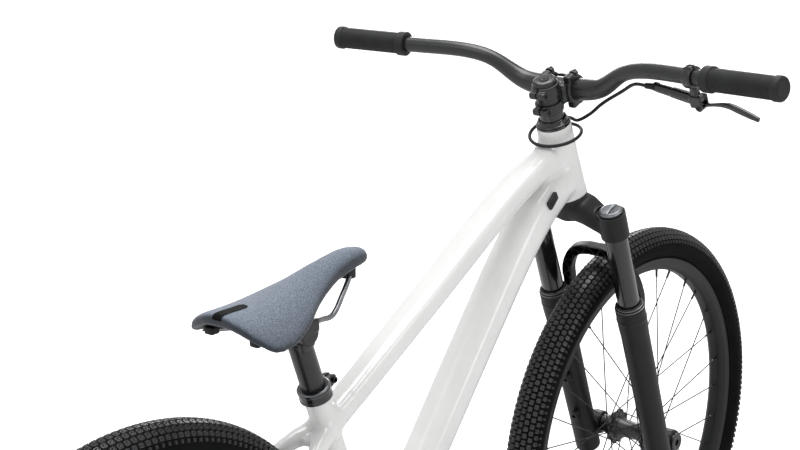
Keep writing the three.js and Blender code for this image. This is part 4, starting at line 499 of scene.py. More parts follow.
def node(tree, kind, values=None, **settings):
    """Adds a node, with its settings, and with values or links for its sockets."""
    made = tree.nodes.new("ShaderNode" + kind)
    for name, value in settings.items():
        setattr(made, name, value)
    for name, value in (values or {}).items():
        socket = made.inputs[name]
        if isinstance(value, bpy.types.NodeSocket):
            tree.links.new(value, socket)
        else:
            socket.default_value = value
    return made


def effect(name, inputs, outputs):
    """Empty shader node group with its sockets, and its inner ends."""
    tree = bpy.data.node_groups.new(name, "ShaderNodeTree")
    for label, kind, default in inputs:
        socket = tree.interface.new_socket(label, in_out="INPUT", socket_type="NodeSocket" + kind)
        socket.default_value = default
    for label, kind in outputs:
        tree.interface.new_socket(label, in_out="OUTPUT", socket_type="NodeSocket" + kind)
    start = tree.nodes.new("NodeGroupInput").outputs
    end = tree.nodes.new("NodeGroupOutput").inputs
    return tree, start, end


def surface_grain():
    """Fine unevenness of a finish: height for the bump, a fine tone for gloss, and a broad
    cloudiness for colour.
    """
    tree, given, result = effect(
        "surface_grain", [("Fine Scale", "Float", 900.0), ("Broad Scale", "Float", 25.0)],
        [("Height", "Float"), ("Tone", "Float"), ("Cloudiness", "Float")],
    )
    place = node(tree, "TexCoord").outputs["Object"]
    fine = node(tree, "TexNoise", {"Vector": place, "Scale": given["Fine Scale"], "Detail": 3.0})
    broad = node(tree, "TexNoise", {"Vector": place, "Scale": given["Broad Scale"], "Detail": 4.0})
    even = node(tree, "MapRange", {"Value": fine.outputs["Fac"], "From Min": 0.3, "From Max": 0.7})
    cloud = node(tree, "MapRange", {
        "Value": broad.outputs["Fac"], "From Min": 0.35, "From Max": 0.65,
    })
    tree.links.new(fine.outputs["Fac"], result["Height"])
    tree.links.new(even.outputs["Result"], result["Tone"])
    tree.links.new(cloud.outputs["Result"], result["Cloudiness"])
    return tree


def edge_wear_and_highlight():
    """Mask of the outer edges, where a dark finish rubs thin, and where a painted highlight
    lightens them.
    """
    tree, given, result = effect(
        "edge_wear_and_highlight", [("Radius", "Float", 0.0006), ("Sharpness", "Float", 0.06)],
        [("Mask", "Float")],
    )
    bent = node(tree, "Bevel", {"Radius": given["Radius"]}, samples=4).outputs["Normal"]
    flat = node(tree, "NewGeometry").outputs["Normal"]
    likeness = node(tree, "VectorMath", {0: bent, 1: flat}, operation="DOT_PRODUCT")
    parting = node(tree, "Math", {0: 1.0, 1: likeness.outputs["Value"]}, operation="SUBTRACT")
    place = node(tree, "TexCoord").outputs["Object"]
    patchy = node(tree, "TexNoise", {"Vector": place, "Scale": 160.0, "Detail": 4.0})
    share = node(tree, "MapRange", {
        "Value": parting.outputs[0], "From Min": 0.004, "From Max": given["Sharpness"],
    })
    broken = node(
        tree, "Math", {0: share.outputs[0], 1: patchy.outputs["Fac"]}, operation="MULTIPLY",
    )
    tree.links.new(broken.outputs[0], result["Mask"])
    return tree


def upward(tree, lowest):
    """How far a face looks up, from nothing at the lowest to one when level."""
    facing = node(tree, "SeparateXYZ", {"Vector": node(tree, "NewGeometry").outputs["Normal"]})
    return node(tree, "MapRange", {
        "Value": facing.outputs["Z"], "From Min": lowest, "From Max": 1.0,
    }).outputs[0]


def settled_dust():
    """Mask of a faint dust that lies on what faces up."""
    tree, given, result = effect(
        "settled_dust", [("Scale", "Float", 60.0)], [("Mask", "Float")],
    )
    place = node(tree, "TexCoord").outputs["Object"]
    specks = node(tree, "TexNoise", {"Vector": place, "Scale": given["Scale"], "Detail": 8.0})
    up = upward(tree, 0.1)
    thin = node(tree, "MapRange", {
        "Value": specks.outputs["Fac"], "From Min": 0.45, "From Max": 0.8,
    })
    both = node(tree, "Math", {0: up, 1: thin.outputs[0]}, operation="MULTIPLY")
    tree.links.new(both.outputs[0], result["Mask"])
    return tree


def heather_yarn():
    """Knitted cloth of mixed yarns: light and dark flecks over fine rows of stitches."""
    tree, given, result = effect(
        "heather_yarn", [("Stitches", "Float", 1500.0), ("Flecks", "Float", 1300.0)],
        [("Yarn", "Float"), ("Shadow", "Float"), ("Height", "Float")],
    )
    place = node(tree, "TexCoord").outputs["Object"]
    long_way = node(tree, "Mapping", {"Vector": place, "Scale": (0.45, 1.0, 1.0)})
    cross_way = node(tree, "Mapping", {"Vector": place, "Scale": (1.0, 0.4, 1.0)})
    one, two = [
        node(tree, "TexNoise", {
            "Vector": way.outputs[0], "Scale": given["Flecks"], "Detail": 2.0, "Roughness": 0.7,
        }).outputs["Fac"] for way in (long_way, cross_way)
    ]
    both = node(tree, "Math", {0: one, 1: two}, operation="ADD")
    yarn = node(tree, "MapRange", {"Value": both.outputs[0], "From Min": 0.78, "From Max": 1.22})
    stitch = node(tree, "TexVoronoi", {"Vector": long_way.outputs[0], "Scale": given["Stitches"]})
    dip = node(tree, "MapRange", {
        "Value": stitch.outputs["Distance"], "From Min": 0.1, "From Max": 0.7,
    })
    height = node(tree, "Math", {0: 1.0, 1: dip.outputs[0]}, operation="SUBTRACT")
    tree.links.new(yarn.outputs[0], result["Yarn"])
    tree.links.new(dip.outputs[0], result["Shadow"])
    tree.links.new(height.outputs[0], result["Height"])
    return tree


EFFECTS = {}


def placed_effect(tree, make, values=None):
    """A copy of a shared effect in a material, with its own values."""
    if make.__name__ not in EFFECTS:
        EFFECTS[make.__name__] = make()
    made = tree.nodes.new("ShaderNodeGroup")
    made.node_tree = EFFECTS[make.__name__]
    for name, value in (values or {}).items():
        made.inputs[name].default_value = value
    return made.outputs


def mixed(tree, share, first, second):
    made = tree.nodes.new("ShaderNodeMix")
    made.data_type = "RGBA"
    for number, value in ((0, share), (6, first), (7, second)):
        socket = made.inputs[number]
        if isinstance(value, bpy.types.NodeSocket):
            tree.links.new(value, socket)
        else:
            socket.default_value = value
    return made.outputs[2]


def scaled_value(tree, value, low, high):
    return node(tree, "MapRange", {"Value": value, "To Min": low, "To Max": high}).outputs[0]


# Each finish: its colour and that colour's partner, roughness and how much it varies, metallic,
# shine, clear coat, the fine grain's scale, depth and strength, the colour of the edges, partly
# worn and partly a painted highlight, and dust
FINISH_PARTS = (
    "colour", "partner", "rough", "vary", "metal", "shine", "coat", "fine", "depth", "strength",
    "wear_and_highlight", "dust",
)
FINISHES = {
    "white_paint": ("e9e9e8", "e4e4e3", 0.2, 0.05, 0.0, 0.5, 0.7, 260.0, 0.00001, 0.15, None, 0.0),
    "black_anodised": (
        "17181a", "1f2022", 0.3, 0.1, 0.1, 0.9, 0.0, 2600.0, 0.00003, 0.25, "6b6c70", 0.03,
    ),
    "matte_black_paint": (
        "121314", "17181a", 0.4, 0.08, 0.0, 0.4, 0.0, 1800.0, 0.00004, 0.22, "3c3d40", 0.0,
    ),
    "gloss_black": (
        "0d0e0f", "131415", 0.14, 0.06, 0.0, 0.6, 0.8, 500.0, 0.00001, 0.1, "55575a", 0.0,
    ),
    "black_steel": (
        "18191b", "2a2b2e", 0.3, 0.12, 0.8, 0.5, 0.0, 1600.0, 0.00002, 0.2, "808286", 0.0,
    ),
    "bare_steel": (
        "b4b6b9", "8e9093", 0.25, 0.14, 1.0, 0.5, 0.0, 1400.0, 0.00002, 0.2, "e4e6e8", 0.0,
    ),
    "chain_steel": (
        "5f6063", "3c3d40", 0.34, 0.16, 1.0, 0.5, 0.0, 900.0, 0.00003, 0.25, "b5b7ba", 0.0,
    ),
    "grey_anodised": (
        "8b8d91", "77797d", 0.3, 0.1, 0.9, 0.5, 0.0, 2200.0, 0.00002, 0.2, "c9cbce", 0.0,
    ),
    # Tyre carcass, painted darker than the tread as painted shade between the blocks; the saddle's
    # patch shares this rubber.
    "tyre_rubber": (
        "090909", "0e0e0e", 0.75, 0.12, 0.0, 0.1, 0.0, 1300.0, 0.00006, 0.4, "3a3a3b", 0.02,
    ),
    # Tread blocks, painted lighter than the carcass as painted light on their tops.
    "tread_rubber_painted_light": (
        "2a2a2b", "353536", 0.34, 0.12, 0.0, 1.0, 0.0, 1300.0, 0.00005, 0.3, "4a4a4b", 0.05,
    ),
    "black_rubber": (
        "0e0e0f", "151516", 0.4, 0.1, 0.0, 0.5, 0.0, 2000.0, 0.00003, 0.25, None, 0.0,
    ),
    "grip_rubber": (
        "191a1b", "232425", 0.55, 0.1, 0.0, 0.45, 0.0, 2600.0, 0.00006, 0.5, None, 0.03,
    ),
    "black_plastic": (
        "141517", "1c1d1f", 0.45, 0.1, 0.0, 0.4, 0.0, 2400.0, 0.00004, 0.3, "333437", 0.02,
    ),
}
MATERIALS = {}


def finish(name):
    """The material of a finish, made when first asked for."""
    if name in MATERIALS:
        return MATERIALS[name]
    made = MATERIALS[name] = bpy.data.materials.new(f"{name}_finish")
    made.use_nodes = True
    tree = made.node_tree
    skin = tree.nodes["Principled BSDF"]
    if name == "blue_cloth":
        return cloth_finish(made, tree, skin)
    look = dict(zip(FINISH_PARTS, FINISHES[name]))
    grain = placed_effect(tree, surface_grain, {"Fine Scale": look["fine"]})
    colour = mixed(tree, grain["Cloudiness"], shade(look["colour"]), shade(look["partner"]))
    rough = scaled_value(
        tree, grain["Tone"], look["rough"] - look["vary"] / 2, look["rough"] + look["vary"] / 2
    )
    # Lighter edges: partly wear, and partly a painted highlight along them.
    if look["wear_and_highlight"]:
        worn_and_lit = placed_effect(tree, edge_wear_and_highlight)
        colour = mixed(tree, worn_and_lit["Mask"], colour, shade(look["wear_and_highlight"]))
    if look["dust"]:
        dust = placed_effect(tree, settled_dust)
        share = scaled_value(tree, dust["Mask"], 0.0, look["dust"])
        colour = mixed(tree, share, colour, shade("a8a49c"))
    bump = node(tree, "Bump", {
        "Height": grain["Height"], "Strength": look["strength"], "Distance": look["depth"],
    })
    tree.links.new(colour, skin.inputs["Base Color"])
    tree.links.new(rough, skin.inputs["Roughness"])
    tree.links.new(bump.outputs[0], skin.inputs["Normal"])
    skin.inputs["Metallic"].default_value = look["metal"]
    skin.inputs["Specular IOR Level"].default_value = look["shine"]
    skin.inputs["Coat Weight"].default_value = look["coat"]
    skin.inputs["Coat Roughness"].default_value = 0.08
    return made


def cloth_finish(made, tree, skin):
    """Heathered blue-grey cloth with a soft sheen; its top is painted lighter and its flanks
    darker, as painted light and shade.
    """
    colours = bpy.context.scene.bike_colours
    yarn = placed_effect(tree, heather_yarn)
    broad = placed_effect(tree, surface_grain, {"Broad Scale": 18.0})
    base = mixed(tree, yarn["Yarn"], (*colours.cloth_dark, 1), (*colours.cloth_light, 1))
    shaded = mixed(tree, scaled_value(tree, yarn["Shadow"], 0.0, 0.45), base, shade("10151c"))
    cloud = scaled_value(tree, broad["Cloudiness"], 0.0, 0.12)
    clouded = mixed(tree, cloud, shaded, shade("5a6878"))
    # Painted light and shade: faces that look up keep the cloth's colour, and the flanks darken
    # towards a deep blue-black.
    lit = upward(tree, 0.3)
    painted_flank_shade = mixed(tree, 0.84, clouded, shade("171b22"))
    painted_light_and_shade = mixed(tree, lit, painted_flank_shade, clouded)
    bump = node(tree, "Bump", {"Height": yarn["Height"], "Strength": 0.55, "Distance": 0.0002})
    tree.links.new(painted_light_and_shade, skin.inputs["Base Color"])
    tree.links.new(bump.outputs[0], skin.inputs["Normal"])
    skin.inputs["Roughness"].default_value = 0.92
    skin.inputs["Sheen Weight"].default_value = 0.35
    skin.inputs["Sheen Roughness"].default_value = 0.4
    return made


# Pieces

def piece(name, shape, place, body, finishes, replaces=(), sharp=38):
    """Makes the finished object, in metres, on its body and in its finish."""
    finishes = [finishes] if isinstance(finishes, str) else finishes
    if place is not None:
        shape.transform(place)
    bmesh.ops.recalc_face_normals(shape, faces=shape.faces)
    shape.transform(Matrix.Scale(METRES, 4))
    mesh = bpy.data.meshes.new(name)
    shape.to_mesh(mesh)
    shape.free()
    mesh.shade_smooth()
    mesh.set_sharp_from_angle(angle=math.radians(sharp))
    made = bpy.data.objects.new(name, mesh)
    bpy.context.scene.collection.objects.link(made)
    for finish_name in finishes:
        mesh.materials.append(finish(finish_name))
    if body:
        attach(made, body)
    if replaces:
        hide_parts(*replaces)
    return made


def dressed(node_name, finish_name):
    """A solid that stays, in its own finish."""
    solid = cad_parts[node_name]
    solid.data.materials.clear()
    solid.data.materials.append(finish(finish_name))


# Frame

def bowed(start, end, bow, shares, bow_shares):
    run = end - start
    normal = Vector((-run.z, 0, run.x)).normalized()
    return [start + run * share + normal * bow * lift for share, lift in zip(shares, bow_shares)]


DOWN_TUBE = bowed(
    BRACKET, steered(0, 0, HEAD_FOOT + 36), 25.2, [0, 0.31, 0.57, 0.76, 0.875, 1],
    [0, 0.43, 0.81, 1, 0.82, 0],
)
TOP_TUBE_SEAT = SEAT_TOP - 60 * SEAT_UP
TOP_TUBE = bowed(
    TOP_TUBE_SEAT, steered(0, 0, HEAD_TOP - 38), 12.4, [0, 0.4, 0.79, 1], [0, 0.5, 1, 0],
)
STAY_OUT = 35
DROPOUT_MIDDLE = 67.5 + 0.3 + 4


def chainstay_line(side):
    shares = [0.05, 0.175, 0.3, 0.62, 0.78, 1]
    outs = [
        29.2, 35.9, STAY_OUT + 6.7, mix(STAY_OUT, DROPOUT_MIDDLE, 0.62), DROPOUT_MIDDLE - GAP,
        DROPOUT_MIDDLE,
    ]
    return [
        BRACKET.lerp(REAR_AXLE, share) + ACROSS * side * out for share, out in zip(shares, outs)
    ]


def seatstay_line(side):
    start = TOP_TUBE_SEAT - 1.2 * SEAT_UP
    distance = (start - REAR_AXLE).length
    parting = (distance - WHEEL_RADIUS - 7) / distance
    near, far = 0.85 * parting, 1.7 * parting
    shares = [0, near, far, 0.46, 0.66, 0.8, 0.955]
    drops = [0, 0.46 * near, 0.73 * far, 0.42, 0.64, 0.79, 0.955]
    outs = [7.2, 22.5, STAY_OUT + 7.2, mix(STAY_OUT + 7.5, DROPOUT_MIDDLE, 0.3),
            mix(STAY_OUT + 7.5, DROPOUT_MIDDLE, 0.7), DROPOUT_MIDDLE - GAP, DROPOUT_MIDDLE]
    return [
        Vector((mix(start.x, REAR_AXLE.x, share), side * out, mix(start.z, REAR_AXLE.z, drop)))
        for share, drop, out in zip(shares, drops, outs)
    ]


def stay_sizes(width, height, end_height):
    return lambda share: (min(width, mix(2 * width, 4, share)), mix(height, end_height, share))


def yoke_sizes(share):
    """A seatstay's half width and height: wide at the yoke, slim from a fifth of the way on."""
    neck = 0.2
    width = mix(15, 7.5, share / neck) if share < neck else min(7.5, mix(15, 4, share))
    return width, mix(14, 9.5, min(1, share / neck))


def flat_topped(power, narrowing):
    """Tube outline with a flat top and a narrower, rounder underside."""
    form = squared(power)
    def outline(angle):
        x, y = form(angle)
        return x * (1 - narrowing * (1 - y) / 2), y
    return outline


def frame_skin(shapes):
    """The welded tubes under one skin."""
    top = lofted(
        TOP_TUBE, lambda s: (mix(20.5, 25.5, s), mix(17, 20, s)), ACROSS, 48, count=40,
        outline=flat_topped(3.2, 0.18),
    )
    down = lofted(
        DOWN_TUBE, lambda s: (mix(27, 30, s), mix(26.5, 29, s)), ACROSS, 48, power=2.25, count=48,
    )
    head = rod(steered(0, 0, HEAD_FOOT - 9), steered(0, 0, HEAD_TOP + 9), 28.4, 64, 24.8)
    seat_from = SEAT_FOOT + SEAT_UP * 2
    tubes = [top, down, head, rod(seat_from, SEAT_TOP + 9 * SEAT_UP, 17.3, 48)]
    tubes.append(rod(BRACKET - ACROSS * 45, BRACKET + ACROSS * 45, 23.3, 56))
    for side in (1, -1):
        tubes.append(lofted(
            chainstay_line(side), stay_sizes(7.3, 12.8, 9), ACROSS, 28, power=2.6, count=40,
        ))
        tubes.append(lofted(seatstay_line(side), yoke_sizes, ACROSS, 28, power=2.6, count=48))
        start = REAR_AXLE + ACROSS * side * 67.8
        tubes.append(rod(start, start + ACROSS * side * 8, 19, 48, edge=1.2))
    back = Vector((-SEAT_UP.z, 0, SEAT_UP.x))
    bridge = TOP_TUBE_SEAT - 1.2 * SEAT_UP + back * 31
    tubes.append(rod(bridge - ACROSS * 15, bridge + ACROSS * 15, 8.5, 32))
    tubes.append(block((36, 8, 18), (-461, DROPOUT_MIDDLE, 338), 2))
    return fused(tubes, shapes.frame_voxel, 7)


def build_frame(shapes):
    skin = frame_skin(shapes)
    for centre, reach, rounds in (
        (steered(-30, 0, 520), 62, 26), (steered(-45, 0, 560), 40, 14),
        (TOP_TUBE_SEAT + Vector((12, 0, 0)), 46, 14),
        (TOP_TUBE_SEAT + Vector((-24, 0, -4)), 40, 12),
        (BRACKET + Vector((10, 0, 16)), 62, 14), (BRACKET + Vector((-34, 0, 0)), 48, 10),
        (REAR_AXLE + Vector((22, 0, 4)), 90, 5),
    ):
        near = [v for v in skin.verts if (v.co - centre).length < reach]
        smoothed(skin, rounds, near)
    turn = Matrix.Rotation(math.pi, 4, "X")
    trimmed(skin, STEERING @ Matrix.Translation((0, 0, HEAD_TOP)), 24.9, 21, 12)
    trimmed(skin, STEERING @ Matrix.Translation((0, 0, HEAD_FOOT)) @ turn, 28.2, 21, 12)
    trimmed(skin, SEAT, 17, 15.8, 130)
    for side in (1, -1):
        end = Matrix.Translation(BRACKET + ACROSS * side * 36.5)
        trimmed(skin, end @ sideways(side), 23, 18.3, 10)
    slot_foot = Vector((30, 0, -28))
    slot = block((26, 3, 60), (30, 0, 2), 0)
    slot_end = rod(slot_foot - Vector((13, 0, 0)), slot_foot + Vector((13, 0, 0)), 3, 16)
    skin = carved(skin, moved(slot, SEAT), moved(slot_end, SEAT))
    piece("painted_frame", skin, None, "frame", "white_paint", [
        "head_tube", "top_tube", "down_tube", "seat_tube", "bottom_bracket_shell",
        "chainstay_right", "chainstay_left", "seatstays",
    ], sharp=50)


PORT_CENTRE = steered(-73, 0, HEAD_FOOT + 35)
PORT_SLOPE = -0.72
PORT_HALF_LENGTH = 13
PORT_HALF_HEIGHT = 6.5
PORT_LEAN = PORT_HALF_HEIGHT * 0.35
PORT_CORNER = PORT_HALF_HEIGHT * 0.25
PORT_OUTLINE = [
    (-PORT_HALF_LENGTH + PORT_LEAN + PORT_CORNER, -PORT_HALF_HEIGHT),
    (PORT_HALF_LENGTH - PORT_LEAN - PORT_CORNER, -PORT_HALF_HEIGHT + PORT_CORNER * 0.35),
    (PORT_HALF_LENGTH - PORT_LEAN, -PORT_HALF_HEIGHT + PORT_CORNER),
    (PORT_HALF_LENGTH, PORT_HALF_HEIGHT - PORT_CORNER),
    (PORT_HALF_LENGTH - PORT_CORNER, PORT_HALF_HEIGHT),
    (-PORT_HALF_LENGTH + PORT_CORNER + PORT_LEAN, PORT_HALF_HEIGHT),
    (-PORT_HALF_LENGTH + PORT_LEAN, PORT_HALF_HEIGHT - PORT_CORNER),
    (-PORT_HALF_LENGTH, -PORT_HALF_HEIGHT + PORT_CORNER),
]


def build_ports():
    """Covers in the down tube's sides; the left one lets the hose in."""
    for side, name, node_name in (
        (-1, "port_cover", "port_plug"), (1, "port_guide", "hose_grommet"),
    ):
        shape = plate(rounded(PORT_OUTLINE, 2.0, 3), 4.6, edge=0.5, segments=2)
        inset = rounded([(x * 0.78, y * 0.7) for x, y in PORT_OUTLINE], 1.6, 3)
        added(shape, plate(inset, 1.2, edge=0.35), Matrix.Translation((0, 0, 2.2)))
        screw = bolt(2.3, 1.0, 1.2, 18)
        added(shape, screw, Matrix.Translation((-5.5, 0.2, 2.4)))
        slope = Matrix.Rotation(PORT_SLOPE, 4, "Y")
        outward = axes(AHEAD, UP, ACROSS * side, Vector())
        place = Matrix.Translation(PORT_CENTRE + ACROSS * side * 28.1) @ slope @ outward
        piece(name, shape, place, "frame", "black_plastic", [node_name])


# Headset, stem and bars

def build_headset():
    for name, edge, sign, radius in (
        ("headset_upper", HEAD_TOP, 1, 25), ("headset_lower", HEAD_FOOT, -1, 28),
    ):
        lip = 3.0 if sign > 0 else 3.4
        rows = [
            (15, 0.2), (15, lip), (radius - 2.2, lip), (radius - 1.1, lip - 0.5),
            (radius - 0.3, lip - 1.2), (radius, lip - 1.7), (radius, 0.7), (radius - 0.3, 0.3),
            (19.6, 0.3), (19.6, -10), (15, -10),
        ]
        shape = turned([(r, edge + sign * h) for r, h in rows], 72, closed=True)
        node_name = "headset_cup_upper" if sign > 0 else "headset_cup_lower"
        piece(name, shape, STEERING, "frame", "gloss_black", [node_name])
    foot = HEAD_TOP + 3.6
    cover = turned([
        (14.8, foot), (23.6, foot), (23.8, foot + 0.5), (23.8, foot + 1.5), (23.2, foot + 2.1),
        (22.2, foot + 2.5), (21.8, foot + 3.2), (21.4, foot + 5.2), (20.6, foot + 7.4),
        (19.6, foot + 8.2), (18.2, foot + 8.4), (14.8, foot + 8.4),
    ], 72, closed=True)
    spacer_foot = HEAD_TOP + 12
    spacer = turned([
        (14.8, spacer_foot), (17.2, spacer_foot), (17.5, spacer_foot + 0.3),
        (17.5, spacer_foot + 4.6), (17.2, spacer_foot + 4.85), (17.5, spacer_foot + 5.1),
        (17.5, spacer_foot + 9.3), (17.2, spacer_foot + 9.6), (14.8, spacer_foot + 9.6),
    ], 64, closed=True)
    piece("headset_cover", gathered(cover, spacer), STEERING, "steering", "gloss_black",
          ["headset_cover"])


BAR_RING_OUT = 20.2
BAR_RING_HALF = 6.4
STEM_BOLT_SHARES = (0.2, 0.8)


def bar_room():
    """Cutter for the bar's middle, a little wider than the bar."""
    return rod(BAR_CENTRE - ACROSS * 40, BAR_CENTRE + ACROSS * 40, 16.3, 64)


def build_stem():
    """Forged stem: a split clamp on the steerer, and two rings that hold the bar."""
    top = STEM_FOOT + STEM_HEIGHT
    clamp = turned([
        (0, STEM_FOOT), (19.3, STEM_FOOT), (19.9, STEM_FOOT + 0.8), (19.9, top - 0.8),
        (19.2, top), (0, top),
    ], 56)
    neck = lofted(
        [Vector((-4, 0, 634)), Vector((14, 0, 635)), Vector((27, 0, 635.5)), BAR_CENTRE + AHEAD],
        lambda s: (mix(15.2, 24, eased(s)), mix(18.5, 13.5, s)), ACROSS, 40, power=3.4, count=16,
    )
    forged = [clamp, neck]
    for side in (1, -1):
        ring_at = BAR_CENTRE + ACROSS * side * BAR_RING_OUT
        half = ACROSS * BAR_RING_HALF
        forged.append(rod(ring_at - half, ring_at + half, 21, 56, edge=1.5))
        for lift in (1, -1):
            forged.append(block((15.6, 12.4, 9), ring_at + Vector((-6.4, 0, lift * 20.4)), 2))
    for share in STEM_BOLT_SHARES:
        height = STEM_FOOT + STEM_HEIGHT * share
        forged.append(block((15, 25.6, 9.8), (-18.6, 0, height), 2.4, 3))
        forged.append(rod(Vector((-20.6, -13, height)), Vector((-20.6, 13, height)), 5.1, 28))
    body = fused(forged, 0.95, 4)
    ahead = block((60, 80, 80), BAR_CENTRE + Vector((2.2 + 30, 0, 0)), 0)
    split = block((30, 2.6, 60), (-27, 0, 640), 0)
    bore = rod(Vector((0, 0, STEM_FOOT - 2)), Vector((0, 0, top + 2)), 14.7, 48)
    window = block((26, 11, 12), (16, 0, STEM_FOOT + 42), 3)
    waist = carved(turned([
        (16.9, STEM_FOOT + 15.5), (40, STEM_FOOT + 14), (40, STEM_FOOT + 30),
        (16.9, STEM_FOOT + 28.5),
    ], 56, closed=True), block((80, 90, 60), (44, 0, STEM_FOOT + 22), 0))
    relief = block((16, 8, 14), (-22, 0, STEM_FOOT + 22), 2)
    body = carved(body, bar_room(), ahead, split, bore, window, relief, waist)
    bolts = bmesh.new()
    for share in STEM_BOLT_SHARES:
        place = Vector((-20.6, -12.6, STEM_FOOT + STEM_HEIGHT * share))
        added(bolts, bolt(3.6, 1.3, 1.9), Matrix.Translation(place) @ sideways(-1))
    piece("stem", body, STEERING, "steering", "black_anodised", ["stem"], sharp=32)
    face = bmesh.new()
    for side in (1, -1):
        ring_at = BAR_CENTRE + ACROSS * side * BAR_RING_OUT
        half = ACROSS * BAR_RING_HALF
        parts = [rod(ring_at - half, ring_at + half, 20.6, 56, edge=1.4)]
        for lift in (1, -1):
            parts.append(block((9, 12, 8.6), ring_at + Vector((5.4, 0, lift * 21)), 1.8))
        behind = block((60, 80, 80), BAR_CENTRE + Vector((2.8 - 30, 0, 0)), 0)
        added(face, carved(fused(parts, 0.95, 3), bar_room(), behind))
        for lift in (1, -1):
            place = Matrix.Translation(ring_at + Vector((9.2, 0, lift * 22.4)))
            added(bolts, bolt(3.4, 1.6, 1.8), place @ Matrix.Rotation(math.pi / 2, 4, "Y"))
    for side in (1, -1):
        for edge in (1, -1):
            place = BAR_CENTRE + Vector((17.2, side * 7, edge * 9.5))
            added(face, block((3.6, 15, 4.2), place, 1.2))
    piece("stem_faceplate", face, STEERING, "steering", "black_anodised", ["stem_faceplate"],
          sharp=32)
    piece("stem_bolts", bolts, STEERING, "steering", "black_steel")
    foot = top + 0.3
    cap = turned([
        (0, foot), (16.6, foot), (17, foot + 0.4), (17, foot + 4.2), (16.3, foot + 5.4),
        (15.2, foot + 6.2), (14.2, foot + 6.5), (13.4, foot + 6.3), (7.2, foot + 6.2),
        (6.6, foot + 5.6), (6.2, foot + 4.6), (0, foot + 4.6),
    ], 64)
    added(cap, bolt(5.6, 2.2, 2.7), Matrix.Translation((0, 0, foot + 4.6)))
    piece("top_cap", cap, STEERING, "steering", "black_anodised", ["top_cap"])


BEND_REACH = 134
BAR_END = 370
GRIP_LENGTH = 118
LEVER_FROM_END = 134
GRIP_START = (BAR_END - GRIP_LENGTH - BEND_REACH) / (BAR_END - BEND_REACH)


def on_grip_line(share):
    return Vector((
        BAR_CENTRE.x - mix(7, 39.6, share), mix(BEND_REACH, BAR_END, share),
        BAR_CENTRE.z + mix(47, 63.3, share),
    ))


def bar_line():
    half = [
        Vector((BAR_CENTRE.x - back * 7, mix(33, BEND_REACH, out), BAR_CENTRE.z + rise * 47))
        for out, back, rise in ((0, 0, 0), (0.33, 0.06, 0.14), (0.8, 0.6, 0.8))
    ]
    half += [on_grip_line(share) for share in (0.065, GRIP_START, 1)]
    other = [Vector((p.x, -p.y, p.z)) for p in reversed(half)]
    return other + half


def grip_place(side, distance):
    """Frame on the bar: z runs out along the grip from its inner end."""
    inner = on_grip_line(GRIP_START)
    out = (on_grip_line(1) - inner).normalized()
    centre = inner + out * distance
    z = Vector((out.x, side * out.y, out.z))
    x = (Vector((0, 0, -1)) + z * z.z).normalized()
    return axes(x, z.cross(x), z, Vector((centre.x, side * centre.y, centre.z)))


def build_bars():
    places, directions = smooth_line(bar_line(), 150)
    stations = []
    for place, direction in zip(places, directions):
        taper = eased((abs(place.y) - 33) / (112 - 33))
        radius = mix(15.9, 11.1, taper)
        stations.append(station(place, direction, AHEAD, radius, radius))
    piece("handlebar", skinned(stations, 48), STEERING, "steering", "black_anodised",
          ["handlebar"])
    length = (on_grip_line(1) - on_grip_line(GRIP_START)).length
    for side, name in ((1, "left"), (-1, "right")):
        rows = [(11.6, 0), (17.2, 0), (18, 0.8), (18, 12.2), (17.3, 13), (16.4, 13.2)]
        grooves = 46
        for i in range(grooves):
            at = mix(13.8, length - 9.5, i / grooves)
            step = (length - 9.5 - 13.8) / grooves
            rows += [(15.75, at), (15.75, at + step * 0.5), (15.35, at + step * 0.62),
                     (15.35, at + step * 0.88)]
        rows += [
            (15.8, length - 9.2), (16.9, length - 8.6), (17.1, length - 7.8), (17.1, length - 1.2),
            (16.6, length + 0.6), (15.6, length + 1.6), (13.9, length + 2.2), (13.4, length + 1.7),
            (12.6, length + 1.6), (12.1, length + 2.2), (9.4, length + 2.4), (8.9, length + 1.9),
            (0, length + 1.9), (0, length + 0.3), (11.6, length + 0.3),
        ]
        shape = turned(rows, 56, closed=True)
        screw_place = Matrix.Translation((-16.6, 0, 6.6)) @ Matrix.Rotation(-math.pi / 2, 4, "Y")
        lug = block((5.6, 9, 9.6), (-14.2, 0, 6.6), 1.2)
        added(shape, lug)
        added(shape, bolt(2.9, 1.2, 1.5, 18), screw_place, 1)
        piece(f"grip_{name}", shape, STEERING @ grip_place(side, 0), "steering",
              ["grip_rubber", "black_steel"], [f"grip_{name}"])


LEVER = grip_place(-1, GRIP_LENGTH - LEVER_FROM_END - 7)
CYLINDER_FOOT = Vector((23, 0, -66))
CYLINDER_HEAD = Vector((35, 0, 10))
BOOT_LENGTH = 18
LEVER_PIVOT = Vector((42, 0, 7))
LEVER_KNEE = Vector((36, 0, 50))
LEVER_TIP = Vector((51, 0, 97))


